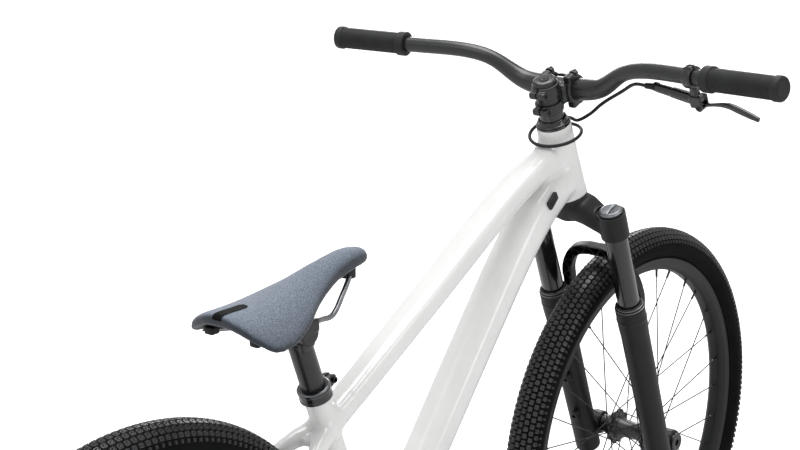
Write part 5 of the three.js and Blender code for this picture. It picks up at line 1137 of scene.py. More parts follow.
def build_lever():
    """Brake lever body with its clamp, cylinder and hose nut, and the blade on its pin."""
    ring_parts = [
        rod(UP * -7, UP * 7, 15.4, 48, edge=1.2),
        block((10, 11, 12), (-12.4, 0, 0), 2.4, 3),
        rod(CYLINDER_FOOT, CYLINDER_HEAD, 6.5, 36, 8.1, 1.5),
        rod(Vector((27, 0, -40)), Vector((35.4, 0, 9)), 7.6, 36, 8.4, 2),
        block((25, 10, 11.4), (15.5, 0, 0), 2.4, 3),
    ]
    for side in (1, -1):
        out = ACROSS * side
        ring_parts.append(block((17, 4, 20), (34.5, side * 6.5, 3.4), 1.6))
        ring_parts.append(
            rod(LEVER_PIVOT + out * 4.5, LEVER_PIVOT + out * 8.5, 5.8, 28, edge=0.8)
        )
    body = carved(
        fused(ring_parts, 0.85, 3), rod(UP * -30, UP * 30, 11.5, 48, edge=0.1),
        block((22, 9, 40), (46, 0, 14), 0), block((14, 1.6, 20), (-17, 0, 0), 0),
    )
    for at in (-3.4, 3.4):
        place = Matrix.Translation((-14.8, -5.4, at))
        added(body, bolt(2.3, 1.0, 1.2, 18), place @ sideways(-1), 1)
    for side in (1, -1):
        place = Matrix.Translation(LEVER_PIVOT + ACROSS * side * 8.4)
        added(body, bolt(3.2, 1.0, 1.5, 20), place @ sideways(side), 1)
    added(body, rod(LEVER_PIVOT - ACROSS * 5, LEVER_PIVOT + ACROSS * 5, 2.3, 20), None, 1)
    nut = stacked([
        (6.2, -8, None), (6.6, -7.4, many_sided(6, 0.25)), (6.6, -1, many_sided(6, 0.25)),
        (6.1, 0, None),
    ], 24)
    along = (CYLINDER_FOOT - CYLINDER_HEAD).normalized()
    added(body, nut, Matrix.Translation((23.2, 0, -60.5)) @ along.to_track_quat(
        "-Z", "Y").to_matrix().to_4x4(), 1)
    boot_rows = [(2.9, -84), (4.0, -84), (4.2, -83.2)]
    for i in range(6):
        at = -82.4 + i * 2.5
        fold, dip = 4.25 + i * 0.12, 3.85 + i * 0.12
        boot_rows += [(fold, at), (fold, at + 1.3), (dip, at + 1.6), (dip, at + 2.2)]
    boot_rows += [(5.0, -67), (5.0, -64), (2.9, -64)]
    added(body, turned(boot_rows, 28, closed=True), Matrix.Translation((23, 0, 0)), 2)
    piece("lever_body", body, STEERING @ LEVER, "steering",
          ["gloss_black", "black_steel", "black_rubber"], ["lever_body"])
    line = [
        LEVER_PIVOT, Vector((37.8, 0, 24.2)), LEVER_KNEE, Vector((43.5, 0, 75.85)), LEVER_TIP,
    ]
    wide = [3.7, 3.5, 3.5, 3.6, 3.7, 3.8, 3.7, 3.4, 2.8]
    painted_flank_shade = [2.4, 2.3, 2.4, 3.0, 3.9, 4.5, 4.5, 4.1, 3.2]
    blade = lofted(
        line, lambda s: (spread(wide, s), spread(painted_flank_shade, s)), ACROSS, 28, power=3, count=48,
    )
    eye = rod(LEVER_PIVOT - ACROSS * 3.8, LEVER_PIVOT + ACROSS * 3.8, 5.5, 32, edge=0.8)
    hole = rod(LEVER_PIVOT - ACROSS * 9, LEVER_PIVOT + ACROSS * 9, 2.7, 24)
    made = carved(fused([blade, eye], 0.7, 3), hole)
    piece("brake_lever", made, STEERING @ LEVER, "lever", "gloss_black", ["brake_lever"])


# Hose

RING_RADIUS = 37
RING_TOP = HEAD_TOP - 9.5
RING_FALL = 13
PORT_LENGTH = 26
DOWN_TUBE_HALF_HEAD = 30
DOWN_TUBE_HALF_FOOT = 27
CALIPER_ANGLE = math.radians(16)
CALIPER = REAR_AXLE + Vector((73 * math.cos(CALIPER_ANGLE), 57, 73 * math.sin(CALIPER_ANGLE)))


def down_tube_at(share, left):
    place = smooth_line(DOWN_TUBE, shares=[share])[0][0]
    return Vector((place.x, left, place.z))


def by_ring(ahead, left, up):
    """Place beside the hose's ring, in shares of its radius."""
    return steered(RING_RADIUS * ahead, RING_RADIUS * left, RING_TOP + RING_RADIUS * up)


def hose_points():
    """From the lever once round the head tube, into the down tube and out to the caliper."""
    start = CYLINDER_FOOT - UP * (BOOT_LENGTH + GAP)
    lead = start - UP * BOOT_LENGTH
    points = [STEERING @ LEVER @ place for place in (start, lead)]
    for shares in ((1.095, -2.62, 1.392), (1.048, -1.7, 0.804), (1.0, -1.03, 0.265)):
        points.append(by_ring(*shares))
    steps = 17
    for i in range(steps + 1):
        share = i / steps
        angle = math.radians(mix(-30, 425, share))
        points.append(steered(
            RING_RADIUS * math.cos(angle), RING_RADIUS * math.sin(angle),
            RING_TOP - RING_FALL * share**1.2,
        ))
    for shares in ((0.43, 0.88, -0.68), (0.11, 0.905, -1), (-0.38, 0.905, -1.32)):
        points.append(by_ring(*shares))
    tube = Vector((math.cos(PORT_SLOPE), 0, -math.sin(PORT_SLOPE)))
    up = Vector((-tube.z, 0, tube.x))
    for forward, left, rise in ((1.1, 1.2, 0.4), (0.37, 1.03, 0.17), (-0.62, 0.57, -0.14)):
        place = PORT_CENTRE + tube * PORT_LENGTH * forward + up * PORT_LENGTH * rise
        points.append(Vector((place.x, DOWN_TUBE_HALF_HEAD * left, place.z)))
    for share, left in ((0.83, 0.15), (0.7, -0.07), (0.47, -0.15), (0.21, 0.07), (0.1, 0.52)):
        points.append(down_tube_at(share, DOWN_TUBE_HALF_FOOT * left))
    for ahead, left, up in ((0.87, 0.99, 1.43), (-0.61, 1.42, 1.26)):
        points.append(BRACKET + Vector((23 * ahead, 36.5 * left, 23 * up)))
    for share, left, up in ((0.19, 0.78, 2.2), (0.42, 0.836, 2.28), (0.62, 0.864, 3.27)):
        place = BRACKET.lerp(REAR_AXLE, share)
        points.append(Vector((place.x, DROPOUT_MIDDLE * left, place.z + 12.5 * up)))
    inlet = CALIPER + Vector((27 + GAP, 0, 5.5))
    return points + [inlet + AHEAD * BOOT_LENGTH, inlet]


def build_hose():
    shape = hosed(hose_points(), 2.5, 16, 620)
    hose = piece("brake_hose", shape, None, None, "black_rubber", ["brake_hose"])
    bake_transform(hose)


# Fork

LEGS = [(1, "left"), (-1, "right")]
LEG_AHEAD = 1.5
LEG_OUT = 68.4
SOCKET_TOP = 456
SOCKET_FOOT = 417
LOWERS_TOP = 284


def leg_place(side, height=0.0):
    return Matrix.Translation((LEG_AHEAD, side * LEG_OUT, height))


def build_crown():
    """Forged crown with dropped arms that hold the legs, and its steerer."""
    shares = [-1, -0.86, -0.72, -0.45, -0.25, 0.25, 0.45, 0.72, 0.86, 1]
    rises = [0.12, 0.2, 0.38, 0.84, 1, 1, 0.84, 0.38, 0.2, 0.12]
    places = []
    for share, rise in zip(shares, rises):
        thickness = mix(27, 36, rise)
        top = mix(SOCKET_TOP - 13.5, CROWN_RACE - GAP, rise)
        depth = mix(18.6, 24.3, eased(1.6 - 1.7 * abs(share)))
        places.append(axes(
            Vector((depth, 0, 0)), Vector((0, 0, thickness / 2)), ACROSS,
            Vector((LEG_AHEAD, share * LEG_OUT, top - thickness / 2)),
        ))
    parts = [skinned(places, 48, squared(2.9))]
    race_foot = CROWN_RACE - 34
    parts.append(turned([(0, race_foot), (22, race_foot), (24.5, CROWN_RACE - 4.5),
                         (24.5, CROWN_RACE + 6), (0, CROWN_RACE + 6)], 64))
    for side, _ in LEGS:
        place = Vector((LEG_AHEAD, side * LEG_OUT, 0))
        parts.append(rod(place + UP * (SOCKET_FOOT - 8), place + UP * (SOCKET_TOP + 8), 21, 56))
    crown = fused(parts, 1.7, 9)
    cutters = []
    for side, _ in LEGS:
        place = Vector((LEG_AHEAD, side * LEG_OUT, 0))
        for low, high, radius in (
            (SOCKET_TOP, SOCKET_TOP + 20, 22.5), (SOCKET_FOOT - 20, SOCKET_FOOT, 22.5),
            (SOCKET_TOP - 2, SOCKET_TOP + 3, 19.2), (SOCKET_FOOT - 30, SOCKET_TOP + 30, 17.3),
        ):
            cutters.append(rod(place + UP * low, place + UP * high, radius, 64, edge=0.1))
    crown = carved(crown, *cutters)
    trimmed(crown, Matrix.Translation((0, 0, CROWN_RACE - GAP)), 24.4, 16, 2)
    added(crown, rod(UP * (CROWN_RACE - 6), UP * (STEM_FOOT + STEM_HEIGHT - 2.4), 14.3, 40))
    piece("fork_crown", crown, STEERING, "steering", "matte_black_paint", ["fork_crown"], sharp=45)


def build_stanchions():
    for side, name in LEGS:
        rows = [
            (0, 150), (16.4, 150), (17, 150.8), (17, SOCKET_TOP - 0.6), (16.4, SOCKET_TOP - 0.3),
        ]
        if side < 0:
            shape = turned(rows + [(0, SOCKET_TOP - 0.3)], 64)
        else:
            rows += [
                (15.8, SOCKET_TOP - 0.1), (15.8, SOCKET_TOP + 0.8), (16.6, SOCKET_TOP + 1.1),
                (16.6, SOCKET_TOP + 2.6), (15.9, SOCKET_TOP + 3.3), (12.4, SOCKET_TOP + 3.4),
                (11.6, SOCKET_TOP + 3.1), (0, SOCKET_TOP + 3.1),
            ]
            shape = turned(rows, 64)
            hexagon = many_sided(6, 0.08)
            added(shape, stacked([
                (10.6, SOCKET_TOP + 2.6, hexagon), (10.6, SOCKET_TOP + 5.6, hexagon),
                (10, SOCKET_TOP + 6.2, hexagon), (6.6, SOCKET_TOP + 6.2, None),
                (6.2, SOCKET_TOP + 5.6, None), (0.4, SOCKET_TOP + 5.6, None),
            ], 48), None, 1)
        piece(f"stanchion_{name}", moved(shape, leg_place(side)), STEERING, "steering",
              ["gloss_black", "black_anodised"], [f"stanchion_{name}"])


def build_seals():
    for side, name in LEGS:
        foot = LOWERS_TOP + 0.3
        rows = [
            (17.6, foot), (22.4, foot), (22.6, foot + 0.4), (22.6, foot + 2.2), (22.1, foot + 2.7),
            (21.2, foot + 3.0), (21.2, foot + 4.0), (22.0, foot + 4.3), (22.3, foot + 4.9),
            (22.0, foot + 5.7), (20.9, foot + 6.1), (20.3, foot + 6.9), (20.2, foot + 8.0),
            (20.9, foot + 8.4), (21.0, foot + 9.2), (20.4, foot + 9.9), (19.2, foot + 10.3),
            (18.4, foot + 11.2), (17.6, foot + 11.4),
        ]
        shape = turned(rows, 72, closed=True)
        for radius, height in ((21.95, 5.0), (20.55, 9.0)):
            added(shape, turned([
                (radius, foot + height - 0.7), (radius + 0.45, foot + height - 0.6),
                (radius + 0.65, foot + height), (radius + 0.45, foot + height + 0.6),
                (radius, foot + height + 0.7),
            ], 72, closed=True), None, 1)
        piece(f"fork_seal_{name}", moved(shape, leg_place(side)), STEERING, "lowers",
              ["black_rubber", "grey_anodised"], [f"fork_seal_{name}"])


def arch_line():
    top = WHEEL_RADIUS + 22
    leg_side = LEG_OUT - 8
    start = LOWERS_TOP - 46
    half = [
        Vector((mix(LEG_AHEAD, FORK_OFFSET, forward), leg_side * out, mix(start, top, rise)))
        for out, rise, forward in (
            (1, 0, 0.35), (1.02, 0.34, 0.95), (0.93, 0.68, 1), (0.62, 0.93, 1), (0.24, 1, 1),
            (0, 1, 1),
        )
    ]
    return half + [Vector((p.x, -p.y, p.z)) for p in reversed(half[:-1])]


def build_lowers():
    """Cast lower legs in one with the arch, whose back is a lattice of ribs."""
    parts = []
    for side, _ in LEGS:
        profile = [
            (0, -24), (16.8, -24), (19, -22.8), (20, -20), (20, 40), (21.3, 170), (21.6, 238),
            (22.6, 256), (22.6, LOWERS_TOP + 8), (0, LOWERS_TOP + 8),
        ]
        parts.append(moved(turned(profile, 56), leg_place(side)))
        start, end = Vector((FORK_OFFSET, side * 55.3, 0)), Vector((FORK_OFFSET, side * 76.7, 0))
        parts.append(rod(start, end, 19, 48, edge=2))
        parts.append(block((30, 16, 30), (20, side * 66, 0), 5))
        collar = turned([(0, 268), (23.4, 268.4), (23.4, 271), (0, 271.4)], 56)
        parts.append(moved(collar, leg_place(side)))
    count = 72
    front = lofted(arch_line(), lambda s: (2.4, 8.1), AHEAD, 24, power=5, count=count)
    bmesh.ops.translate(front, vec=(6.2, 0, 0), verts=front.verts)
    parts.append(front)
    places, directions = smooth_line(arch_line(), count)
    outward = [direction.cross(AHEAD).normalized() for direction in directions]
    for offset in (7, -7):
        rail = [place + out * offset for place, out in zip(places, outward)]
        parts.append(lofted(rail, lambda s: (8.7, 1.2), AHEAD, 20, power=4, count=count))
    ribs = 22
    for i in range(1, ribs):
        a = 4 + round((i - 1) * 63 / ribs)
        b = min(a + 3, count - 1)
        sign = 1 if i % 2 else -1
        low = places[a] + outward[a] * 6.6 * sign
        high = places[b] - outward[b] * 6.6 * sign
        ends = [station(end, high - low, AHEAD, 8.4, 0.8) for end in (low, high)]
        parts.append(skinned(ends, 12, squared(5)))
    lowers = fused(parts, 1.35, 3)
    for side, _ in LEGS:
        trimmed(lowers, leg_place(side, LOWERS_TOP), 22.6, 17.6, 30)
    bore = rod(Vector((FORK_OFFSET, -90, 0)), Vector((FORK_OFFSET, 90, 0)), 10.4, 48)
    room = block((90, 110, 70), (FORK_OFFSET, 0, 0), 0)
    recess = rod(Vector((FORK_OFFSET, -79, 0)), Vector((FORK_OFFSET, -73, 0)), 14.6, 48)
    lowers = carved(lowers, bore, room, recess)
    piece("fork_lowers", lowers, STEERING, "lowers", "matte_black_paint", ["fork_lowers"], sharp=42)
    build_brake_tabs()


def build_brake_tabs():
    """Brake mounts on the left leg, with nothing fitted to them."""
    shape, holes = bmesh.new(), []
    for height in (62, 136):
        place = Vector((0, 60, height))
        added(shape, block((11, 10, 15), place - AHEAD * 23, 2.6, 3))
        added(shape, rod(place - AHEAD * 29, place - AHEAD * 20, 6.2, 28, edge=1))
        holes.append(rod(place - AHEAD * 40, place - AHEAD * 24, 3.2, 20))
    piece("brake_mounts", carved(shape, *holes), STEERING, "lowers", "matte_black_paint")


def build_front_axle():
    shape = turned([
        (0, -77), (8.4, -77), (9.6, -76.4), (10, -75.6), (10, 76.2), (9.4, 77), (0, 77),
    ], 40)
    moved(shape, ALONG_Y)
    head = stacked([
        (13.6, -3.4, None), (14.3, -2.8, None), (14.3, 3.6, None), (13.4, 4.6, None),
        (9.8, 4.8, None), (9.4, 4.2, None), (6.2, 4.0, many_sided(6)), (6.0, -1.5, many_sided(6)),
    ], 48)
    added(shape, head, Matrix.Translation((0, -77.2, 0)) @ sideways(-1))
    moved(shape, Matrix.Translation((FORK_OFFSET, 0, 0)))
    piece("front_axle", shape, STEERING, "lowers", "black_anodised", ["front_axle"])


def build_dials():
    """The grey compression dial on the right leg, and the rebound dial under it."""
    foot = SOCKET_TOP + 0.3
    knurl = lobed(28, 0.03)
    dial = stacked([
        (16.6, foot, None), (17.3, foot + 0.6, knurl), (17.3, foot + 2.9, knurl),
        (16.8, foot + 3.5, None), (16.2, foot + 3.7, None), (15.8, foot + 5.0, None),
        (14.8, foot + 5.7, None), (13.6, foot + 5.9, None), (12.9, foot + 5.3, None),
        (6.0, foot + 5.1, None), (0.3, foot + 5.1, None),
    ], 112)
    grip = lofted(
        [Vector((-14, 0, foot + 5.4)), Vector((0, 0, foot + 6.1)), Vector((14, 0, foot + 5.4))],
        lambda s: (mix(2.0, 3.6, abs(2 * s - 1)), 1.6), ACROSS, 24, power=2.6, count=20,
    )
    added(dial, grip)
    for i in range(3):
        angle = math.radians(50 + 40 * i)
        place = Vector((9.5 * math.cos(angle), 9.5 * math.sin(angle), foot + 4.8))
        added(dial, rod(place, place + UP * 0.8, 0.9, 12))
    place = leg_place(-1)
    piece("compression_dial", moved(dial, place), STEERING, "compression_dial", "grey_anodised",
          ["compression_knob"])
    low = -24.3
    knob = stacked([
        (4.5, low, None), (7.4, low - 0.4, None), (7.9, low - 1.2, lobed(14, 0.08)),
        (7.9, low - 7.4, lobed(14, 0.08)), (7.2, low - 8.6, None), (5.4, low - 8.9, None),
        (2.4, low - 8.4, many_sided(6)), (2.3, low - 5.5, many_sided(6)),
    ], 84)
    piece("rebound_dial", moved(knob, place), STEERING, "rebound_dial", "grey_anodised",
          ["rebound_knob"])


# Wheels, modelled lying flat about z and stood up by ALONG_Y

RIM_RADIUS = 287
RIM_INNER = 266
SPOKES = 32


def carcass_point(angle, lift=0.0):
    """Place on the tyre's rounded crown: distance across and radius."""
    return (26.2 + lift) * math.sin(angle), 307 + (24.6 + lift) * math.cos(angle)


def knob(shapes, across_angle, round_angle, width, length):
    """One tread block with a groove in its top round a small island."""
    shape = bmesh.new()
    bmesh.ops.create_cube(shape, size=1)
    bmesh.ops.scale(shape, vec=(length, width, shapes.knob_height + 0.5), verts=shape.verts)
    top = max(shape.faces, key=lambda face: face.calc_center_median().z)
    bmesh.ops.scale(shape, vec=(0.9, 0.9, 1), verts=top.verts)
    uprights = [e for e in shape.edges if abs(e.verts[0].co.z - e.verts[1].co.z) > 1]
    bmesh.ops.bevel(shape, geom=uprights, offset=min(width, length) * 0.13, segments=1,
                    affect="EDGES")
    top = max(shape.faces, key=lambda face: face.calc_center_median().z)
    bmesh.ops.inset_individual(shape, faces=[top], thickness=min(width, length) * 0.13)
    bmesh.ops.translate(shape, vec=(length * 0.05, 0, 0), verts=top.verts)
    top = bmesh.ops.extrude_discrete_faces(shape, faces=[top])["faces"][0]
    bmesh.ops.translate(shape, vec=(0, 0, -1.6), verts=top.verts)
    bmesh.ops.inset_individual(shape, faces=[top], thickness=min(width, length) * 0.19)
    bmesh.ops.translate(shape, vec=(length * 0.1, 0, 0), verts=top.verts)
    top = bmesh.ops.extrude_discrete_faces(shape, faces=[top])["faces"][0]
    bmesh.ops.translate(shape, vec=(0, 0, 1.4), verts=top.verts)
    across, radius = carcass_point(across_angle, (shapes.knob_height - 0.9) / 2)
    out = Vector((0, math.sin(across_angle), math.cos(across_angle)))
    side = Vector((0, math.cos(across_angle), -math.sin(across_angle)))
    place = axes(AHEAD, side, out, Vector((0, across, radius)))
    return moved(shape, Matrix.Rotation(round_angle, 4, "Y") @ place)


def tread_sector(shapes, step):
    """One pitch of the tread, at the wheel's top: rows of blocks from side to side."""
    sector = bmesh.new()
    for degrees, offset, width, length in (
        (0, 0.0, 6.7, 7.3), (19, 0.5, 6.7, 7.3), (38, 0.0, 6.7, 7.3), (56, 0.5, 6.2, 6.4),
        (72, 0.5, 4.6, 3.2),
    ):
        for side in ((1, -1) if degrees else (1,)):
            angle = side * math.radians(degrees)
            added(sector, knob(shapes, angle, step * offset, width, length))
    return sector


def tyre_shape(shapes):
    """Carcass with its beads and fine rings, under a dense tread of small blocks."""
    crown = 20
    profile = [carcass_point(math.radians(mix(-90, 90, i / crown))) for i in range(crown + 1)]
    side = [(26.0, 303.6), (25.5, 300.4), (24.9, 300.0), (24.5, 299.4), (23.6, 297.2),
            (22.4, 295.2), (21.5, 294.8), (20.9, 293.9), (19.2, 291.6), (17.4, 289.8),
            (16.6, 289.6), (15.8, 288.2), (14.4, 287.4), (14.1, 281.2)]
    rows = [(r, -y) for y, r in reversed(side)] + [(r, y) for y, r in profile]
    rows += [(r, y) for y, r in side]
    sides = shapes.tread_pitches
    tyre = turned(rows, sides, closed=True)
    step = 2 * math.pi / sides
    sector = moved(tread_sector(shapes, step), axes(ACROSS, UP, AHEAD, Vector()))
    bmesh.ops.spin(
        sector, geom=sector.verts[:] + sector.edges[:] + sector.faces[:], cent=(0, 0, 0),
        axis=(0, 0, 1), angle=step * (sides - 1), steps=sides - 1, use_duplicate=True,
    )
    return added(tyre, sector, None, 1)


def rim_shape():
    """Box rim with rounded sides, hooked edges, and an eyelet for each spoke."""
    rim = turned([
        (RIM_RADIUS - 0.4, 14.6), (RIM_RADIUS, 15.2), (RIM_RADIUS, 16.4), (RIM_RADIUS - 0.6, 17),
        (RIM_RADIUS - 3, 17), (RIM_RADIUS - 3.6, 16.7), (RIM_RADIUS - 9, 16.6),
        (RIM_RADIUS - 12, 15.9), (RIM_RADIUS - 17, 12.3), (RIM_INNER + 1.6, 9.4),
        (RIM_INNER + 0.5, 7.4), (RIM_INNER, 4.5), (RIM_INNER, -4.5), (RIM_INNER + 0.5, -7.4),
        (RIM_INNER + 1.6, -9.4), (RIM_RADIUS - 17, -12.3), (RIM_RADIUS - 12, -15.9),
        (RIM_RADIUS - 9, -16.6), (RIM_RADIUS - 3.6, -16.7), (RIM_RADIUS - 3, -17),
        (RIM_RADIUS - 0.6, -17), (RIM_RADIUS, -16.4), (RIM_RADIUS, -15.2),
        (RIM_RADIUS - 0.4, -14.6), (278.6, -14.6), (278.3, -14), (278.3, 14), (278.6, 14.6),
    ], 192, closed=True)
    for i in range(SPOKES):
        angle = 2 * math.pi * i / SPOKES
        eyelet = turned([(2.5, -0.3), (3.4, -0.3), (3.3, 0.35), (2.6, 0.4)], 14, closed=True)
        side = 2.2 if i % 2 == 0 else -2.2
        out = Vector((math.cos(angle), math.sin(angle), 0))
        added(rim, eyelet, Matrix.Translation(out * RIM_INNER + UP * side) @ aimed(-out))
    return rim


def lacing(flange):
    """Crossed spokes of one side, bent at the hub, with their nipples at the rim."""
    whole = bmesh.new()
    step = 2 * math.pi / SPOKES
    first = 0 if flange > 0 else 1
    for i in range(SPOKES // 2):
        sign = 1 if i % 2 == 0 else -1
        rim_angle = step * (2 * i + first)
        hub_angle = rim_angle + sign * step * 6
        hub = Vector((math.cos(hub_angle), math.sin(hub_angle), 0)) * 25.6
        out = Vector((math.cos(rim_angle), math.sin(rim_angle), 0))
        end = out * (RIM_INNER + 1) + UP * math.copysign(2.2, flange)
        head = hub + UP * (flange + sign * 3.0)
        bend = hub + UP * (flange - sign * 2.6)
        reach = (end - bend).normalized()
        line = [head, hub + UP * (flange - sign * 1.4), bend + reach * 2.2, bend + reach * 8,
                bend.lerp(end, 0.5), end]
        places, directions = smooth_line(
            line, shares=[0, 0.006, 0.012, 0.018, 0.025, 0.035, 0.06, 0.5, 0.95]
        )
        across = AHEAD if abs(directions[0].x) < 0.7 else ACROSS
        rings = [station(p, d, across, 0.95, 0.95) for p, d in zip(places, directions)]
        added(whole, skinned(rings, 8))
        added(whole, rod(head - UP * sign * 0.2, head + UP * sign * 0.9, 2.0, 10))
        back = end - reach * 14
        nipple = [
            station(back + reach * on, reach, across, radius, radius)
            for on, radius in ((0, 1.3), (1.2, 1.9), (9, 2.0), (14, 2.25))
        ]
        added(whole, skinned(nipple, 8), None, 1)
    return whole


def flange_rows(at):
    """Rows of a scalloped spoke flange, thin at its rim."""
    radius, drawn = 29, lobed(8, 0.2)
    return [
        (17.5, at - 5.2, None), (19, at - 2.6, None), (radius - 5, at - 1.7, drawn),
        (radius - 0.6, at - 1.6, drawn), (radius, at - 1.0, drawn), (radius, at + 1.0, drawn),
        (radius - 0.6, at + 1.6, drawn), (radius - 5, at + 1.7, drawn), (19, at + 2.6, None),
    ]


def front_hub_shape():
    rows = [(10.6, -54.6, None), (14.2, -54.6, None), (15, -53.8, None), (15, -47, None),
            (14.2, -46, None), (15.6, -38, None)]
    rows += flange_rows(-30)
    rows += [(16, -20, None), (14.2, -10, None), (14, 0, None), (14.2, 10, None), (16, 20, None)]
    rows += flange_rows(30)
    rows += [(17.5, 36, None), (17.5, 44, None), (15, 46, None), (15, 53.8, None),
             (14.2, 54.6, None), (10.6, 54.6, None)]
    return stacked(rows, 96, closed=True)


def rear_hub_shape():
    rows = [(5.8, -67.2, None), (11, -67.2, None), (13.4, -64, None), (13.4, -42.5, None),
            (15, -41.6, None), (17, -40, None), (17, -28, None)]
    rows += flange_rows(-22)
    rows += [(16, -12, None), (14.4, 0, None), (14.4, 12, None), (16, 24, None)]
    rows += flange_rows(33)
    rotor_seat = lobed(6, 0.12)
    rows += [(18, 40, None), (20, 48, None), (26.4, 53.2, rotor_seat), (26.4, 55.6, rotor_seat),
             (15, 55.7, None), (15, 64, None), (13.6, 67.2, None), (5.8, 67.2, None)]
    return stacked(rows, 96, closed=True)


def rotor_shape():
    """Brake disc: a waved and drilled track on six leaning arms, with its bolts."""
    outer, inner = [], []
    for outline, count, middle_radius, wave in (
        (outer, 144, 79.2, 0.8), (inner, 96, 66.4, 1.0),
    ):
        for i in range(count):
            angle = 2 * math.pi * i / count
            radius = middle_radius + wave * math.cos(12 * angle)
            outline.append((radius * math.cos(angle), radius * math.sin(angle)))
    holes = [inner]
    for i in range(36):
        angle = 2 * math.pi * i / 36
        radius = 70.2 + 2.9 * (i % 3)
        holes.append(circle(1.6, 8, radius * math.cos(angle), radius * math.sin(angle)))
    disc = plate(outer, 1.8, holes, edge=0)
    spider = [plate(circle(29, 48), 1.8, [circle(15.4, 32)], edge=0)]
    for i in range(6):
        angle = 2 * math.pi * i / 6
        lead = angle + math.radians(24)
        start = Vector((math.cos(angle), math.sin(angle), 0)) * 27.6
        end = Vector((math.cos(lead), math.sin(lead), 0)) * 67.6
        middle = (start + end) / 2 + (end - start).cross(UP).normalized() * 2.2
        places, directions = smooth_line([start, middle, end], 12)
        spider.append(skinned(
            [station(p, d, UP, 0.88, mix(4.6, 3.4, j / 11)) for j, (p, d) in enumerate(
                zip(places, directions))], 12, squared(8),
        ))
    for part in spider:
        added(disc, part)
    for i in range(6):
        angle = 2 * math.pi * (i + 0.5) / 6
        place = Matrix.Translation((22 * math.cos(angle), 22 * math.sin(angle), 0.9))
        added(disc, bolt(3.4, 1.9, 1.6, 16), place, 1)
    return moved(disc, Matrix.Translation((0, 0, 57)))


def build_wheels(shapes):
    for name, place, body in (
        ("front", FRONT_WHEEL, "front_wheel"), ("rear", REAR_WHEEL, "rear_wheel"),
    ):
        stand = place @ ALONG_Y
        # The tread is painted lighter and the carcass darker: painted light on the blocks and
        # painted shade between them.
        piece(
            f"{name}_tyre", tyre_shape(shapes), stand, body, ["tyre_rubber", "tread_rubber_painted_light"],
            [f"{name}_tyre"], 50,
        )
        piece(f"{name}_rim", rim_shape(), stand, body, "matte_black_paint", [f"{name}_rim"])
        flanges = (30, -30) if name == "front" else (33, -22)
        for flange, side in zip(flanges, ("left", "right")):
            piece(f"{name}_spokes_{side}", lacing(flange), stand, body,
                  ["black_steel", "black_anodised"], [f"{name}_spokes_{side}"])
        hub = front_hub_shape() if name == "front" else rear_hub_shape()
        piece(f"{name}_hub", hub, stand, body, "black_anodised", [f"{name}_hub"])
    piece("brake_rotor", rotor_shape(), REAR_WHEEL @ ALONG_Y, "rear_wheel",
          ["bare_steel", "black_steel"], ["brake_rotor"])


# Drive, modelled flat about z

CHAIN_LINE = 49.5
LINK_LENGTH = 12.7
RING_TEETH = 28
COG_TEETH = 13
RING_PITCH = LINK_LENGTH / (2 * math.sin(math.pi / RING_TEETH))
COG_PITCH = LINK_LENGTH / (2 * math.sin(math.pi / COG_TEETH))
CRANK_LENGTH = 170


def toothed(teeth, pitch):
    """Outline of a toothed wheel, with rounded teeth and round gullets."""
    outline = []
    for tooth in range(teeth):
        for share, height in (
            (-0.5, -4.0), (-0.34, -3.5), (-0.24, -0.6), (-0.13, 2.6), (-0.05, 3.3),
            (0.05, 3.3), (0.13, 2.6), (0.24, -0.6), (0.34, -3.5),
        ):
            angle = 2 * math.pi * (tooth + share) / teeth
            radius = pitch + height
            outline.append((radius * math.cos(angle), radius * math.sin(angle)))
    return outline


def chain_places():
    """Where each pin of the chain lies, in order round it."""
    run = BRACKET - REAR_AXLE
    lean = math.atan2(run.z, run.x)
    turn = math.acos((COG_PITCH - RING_PITCH) / run.length)
    path = []
    for centre, radius, start, end, steps in (
        (BRACKET, RING_PITCH, -turn, turn, 60),
        (REAR_AXLE, COG_PITCH, turn, 2 * math.pi - turn, 40),
    ):
        for i in range(steps + 1):
            angle = lean + mix(start, end, i / steps)
            path.append(centre + Vector((math.cos(angle), 0, math.sin(angle))) * radius)
    path.append(path[0].copy())
    lengths = [0.0]
    for a, b in zip(path, path[1:]):
        lengths.append(lengths[-1] + (b - a).length)
    count = 2 * round(lengths[-1] / LINK_LENGTH / 2)
    places, at = [], 0
    for i in range(count):
        wanted = lengths[-1] * i / count
        while lengths[at + 1] < wanted:
            at += 1
        part = (wanted - lengths[at]) / (lengths[at + 1] - lengths[at])
        places.append(path[at].lerp(path[at + 1], part))
    return places


def build_chain():
    pins = chain_places()
    whole = bmesh.new()
    for i, (here, there) in enumerate(zip(pins, pins[1:] + pins[:1])):
        outer = i % 2 == 0
        run = there - here
        half = run.length / 2
        waist = [
            (-half, 4.1), (-half * 0.45, 3.5), (0, 3.1), (half * 0.45, 3.5), (half, 4.1),
            (half + 2.9, 2.9), (half + 4.1, 0), (half + 2.9, -2.9), (half, -4.1),
            (half * 0.45, -3.5), (0, -3.1), (-half * 0.45, -3.5), (-half, -4.1),
            (-half - 2.9, -2.9), (-half - 4.1, 0), (-half - 2.9, 2.9),
        ]
        way = run.normalized()
        for side in (1, -1):
            offset = side * (3.4 if outer else 2.45)
            middle = (here + there) / 2 + ACROSS * (offset - CHAIN_LINE)
            place = axes(way, way.cross(ACROSS), ACROSS, middle)
            added(whole, plate(waist, 0.95, edge=0), place)
        centre = here - ACROSS * CHAIN_LINE
        added(whole, rod(centre - ACROSS * 1.9, centre + ACROSS * 1.9, 3.2, 10, edge=0))
        added(whole, rod(centre - ACROSS * 4.15, centre + ACROSS * 4.15, 1.7, 8, edge=0))
    piece("chain", whole, None, "frame", "chain_steel", ["chain"])


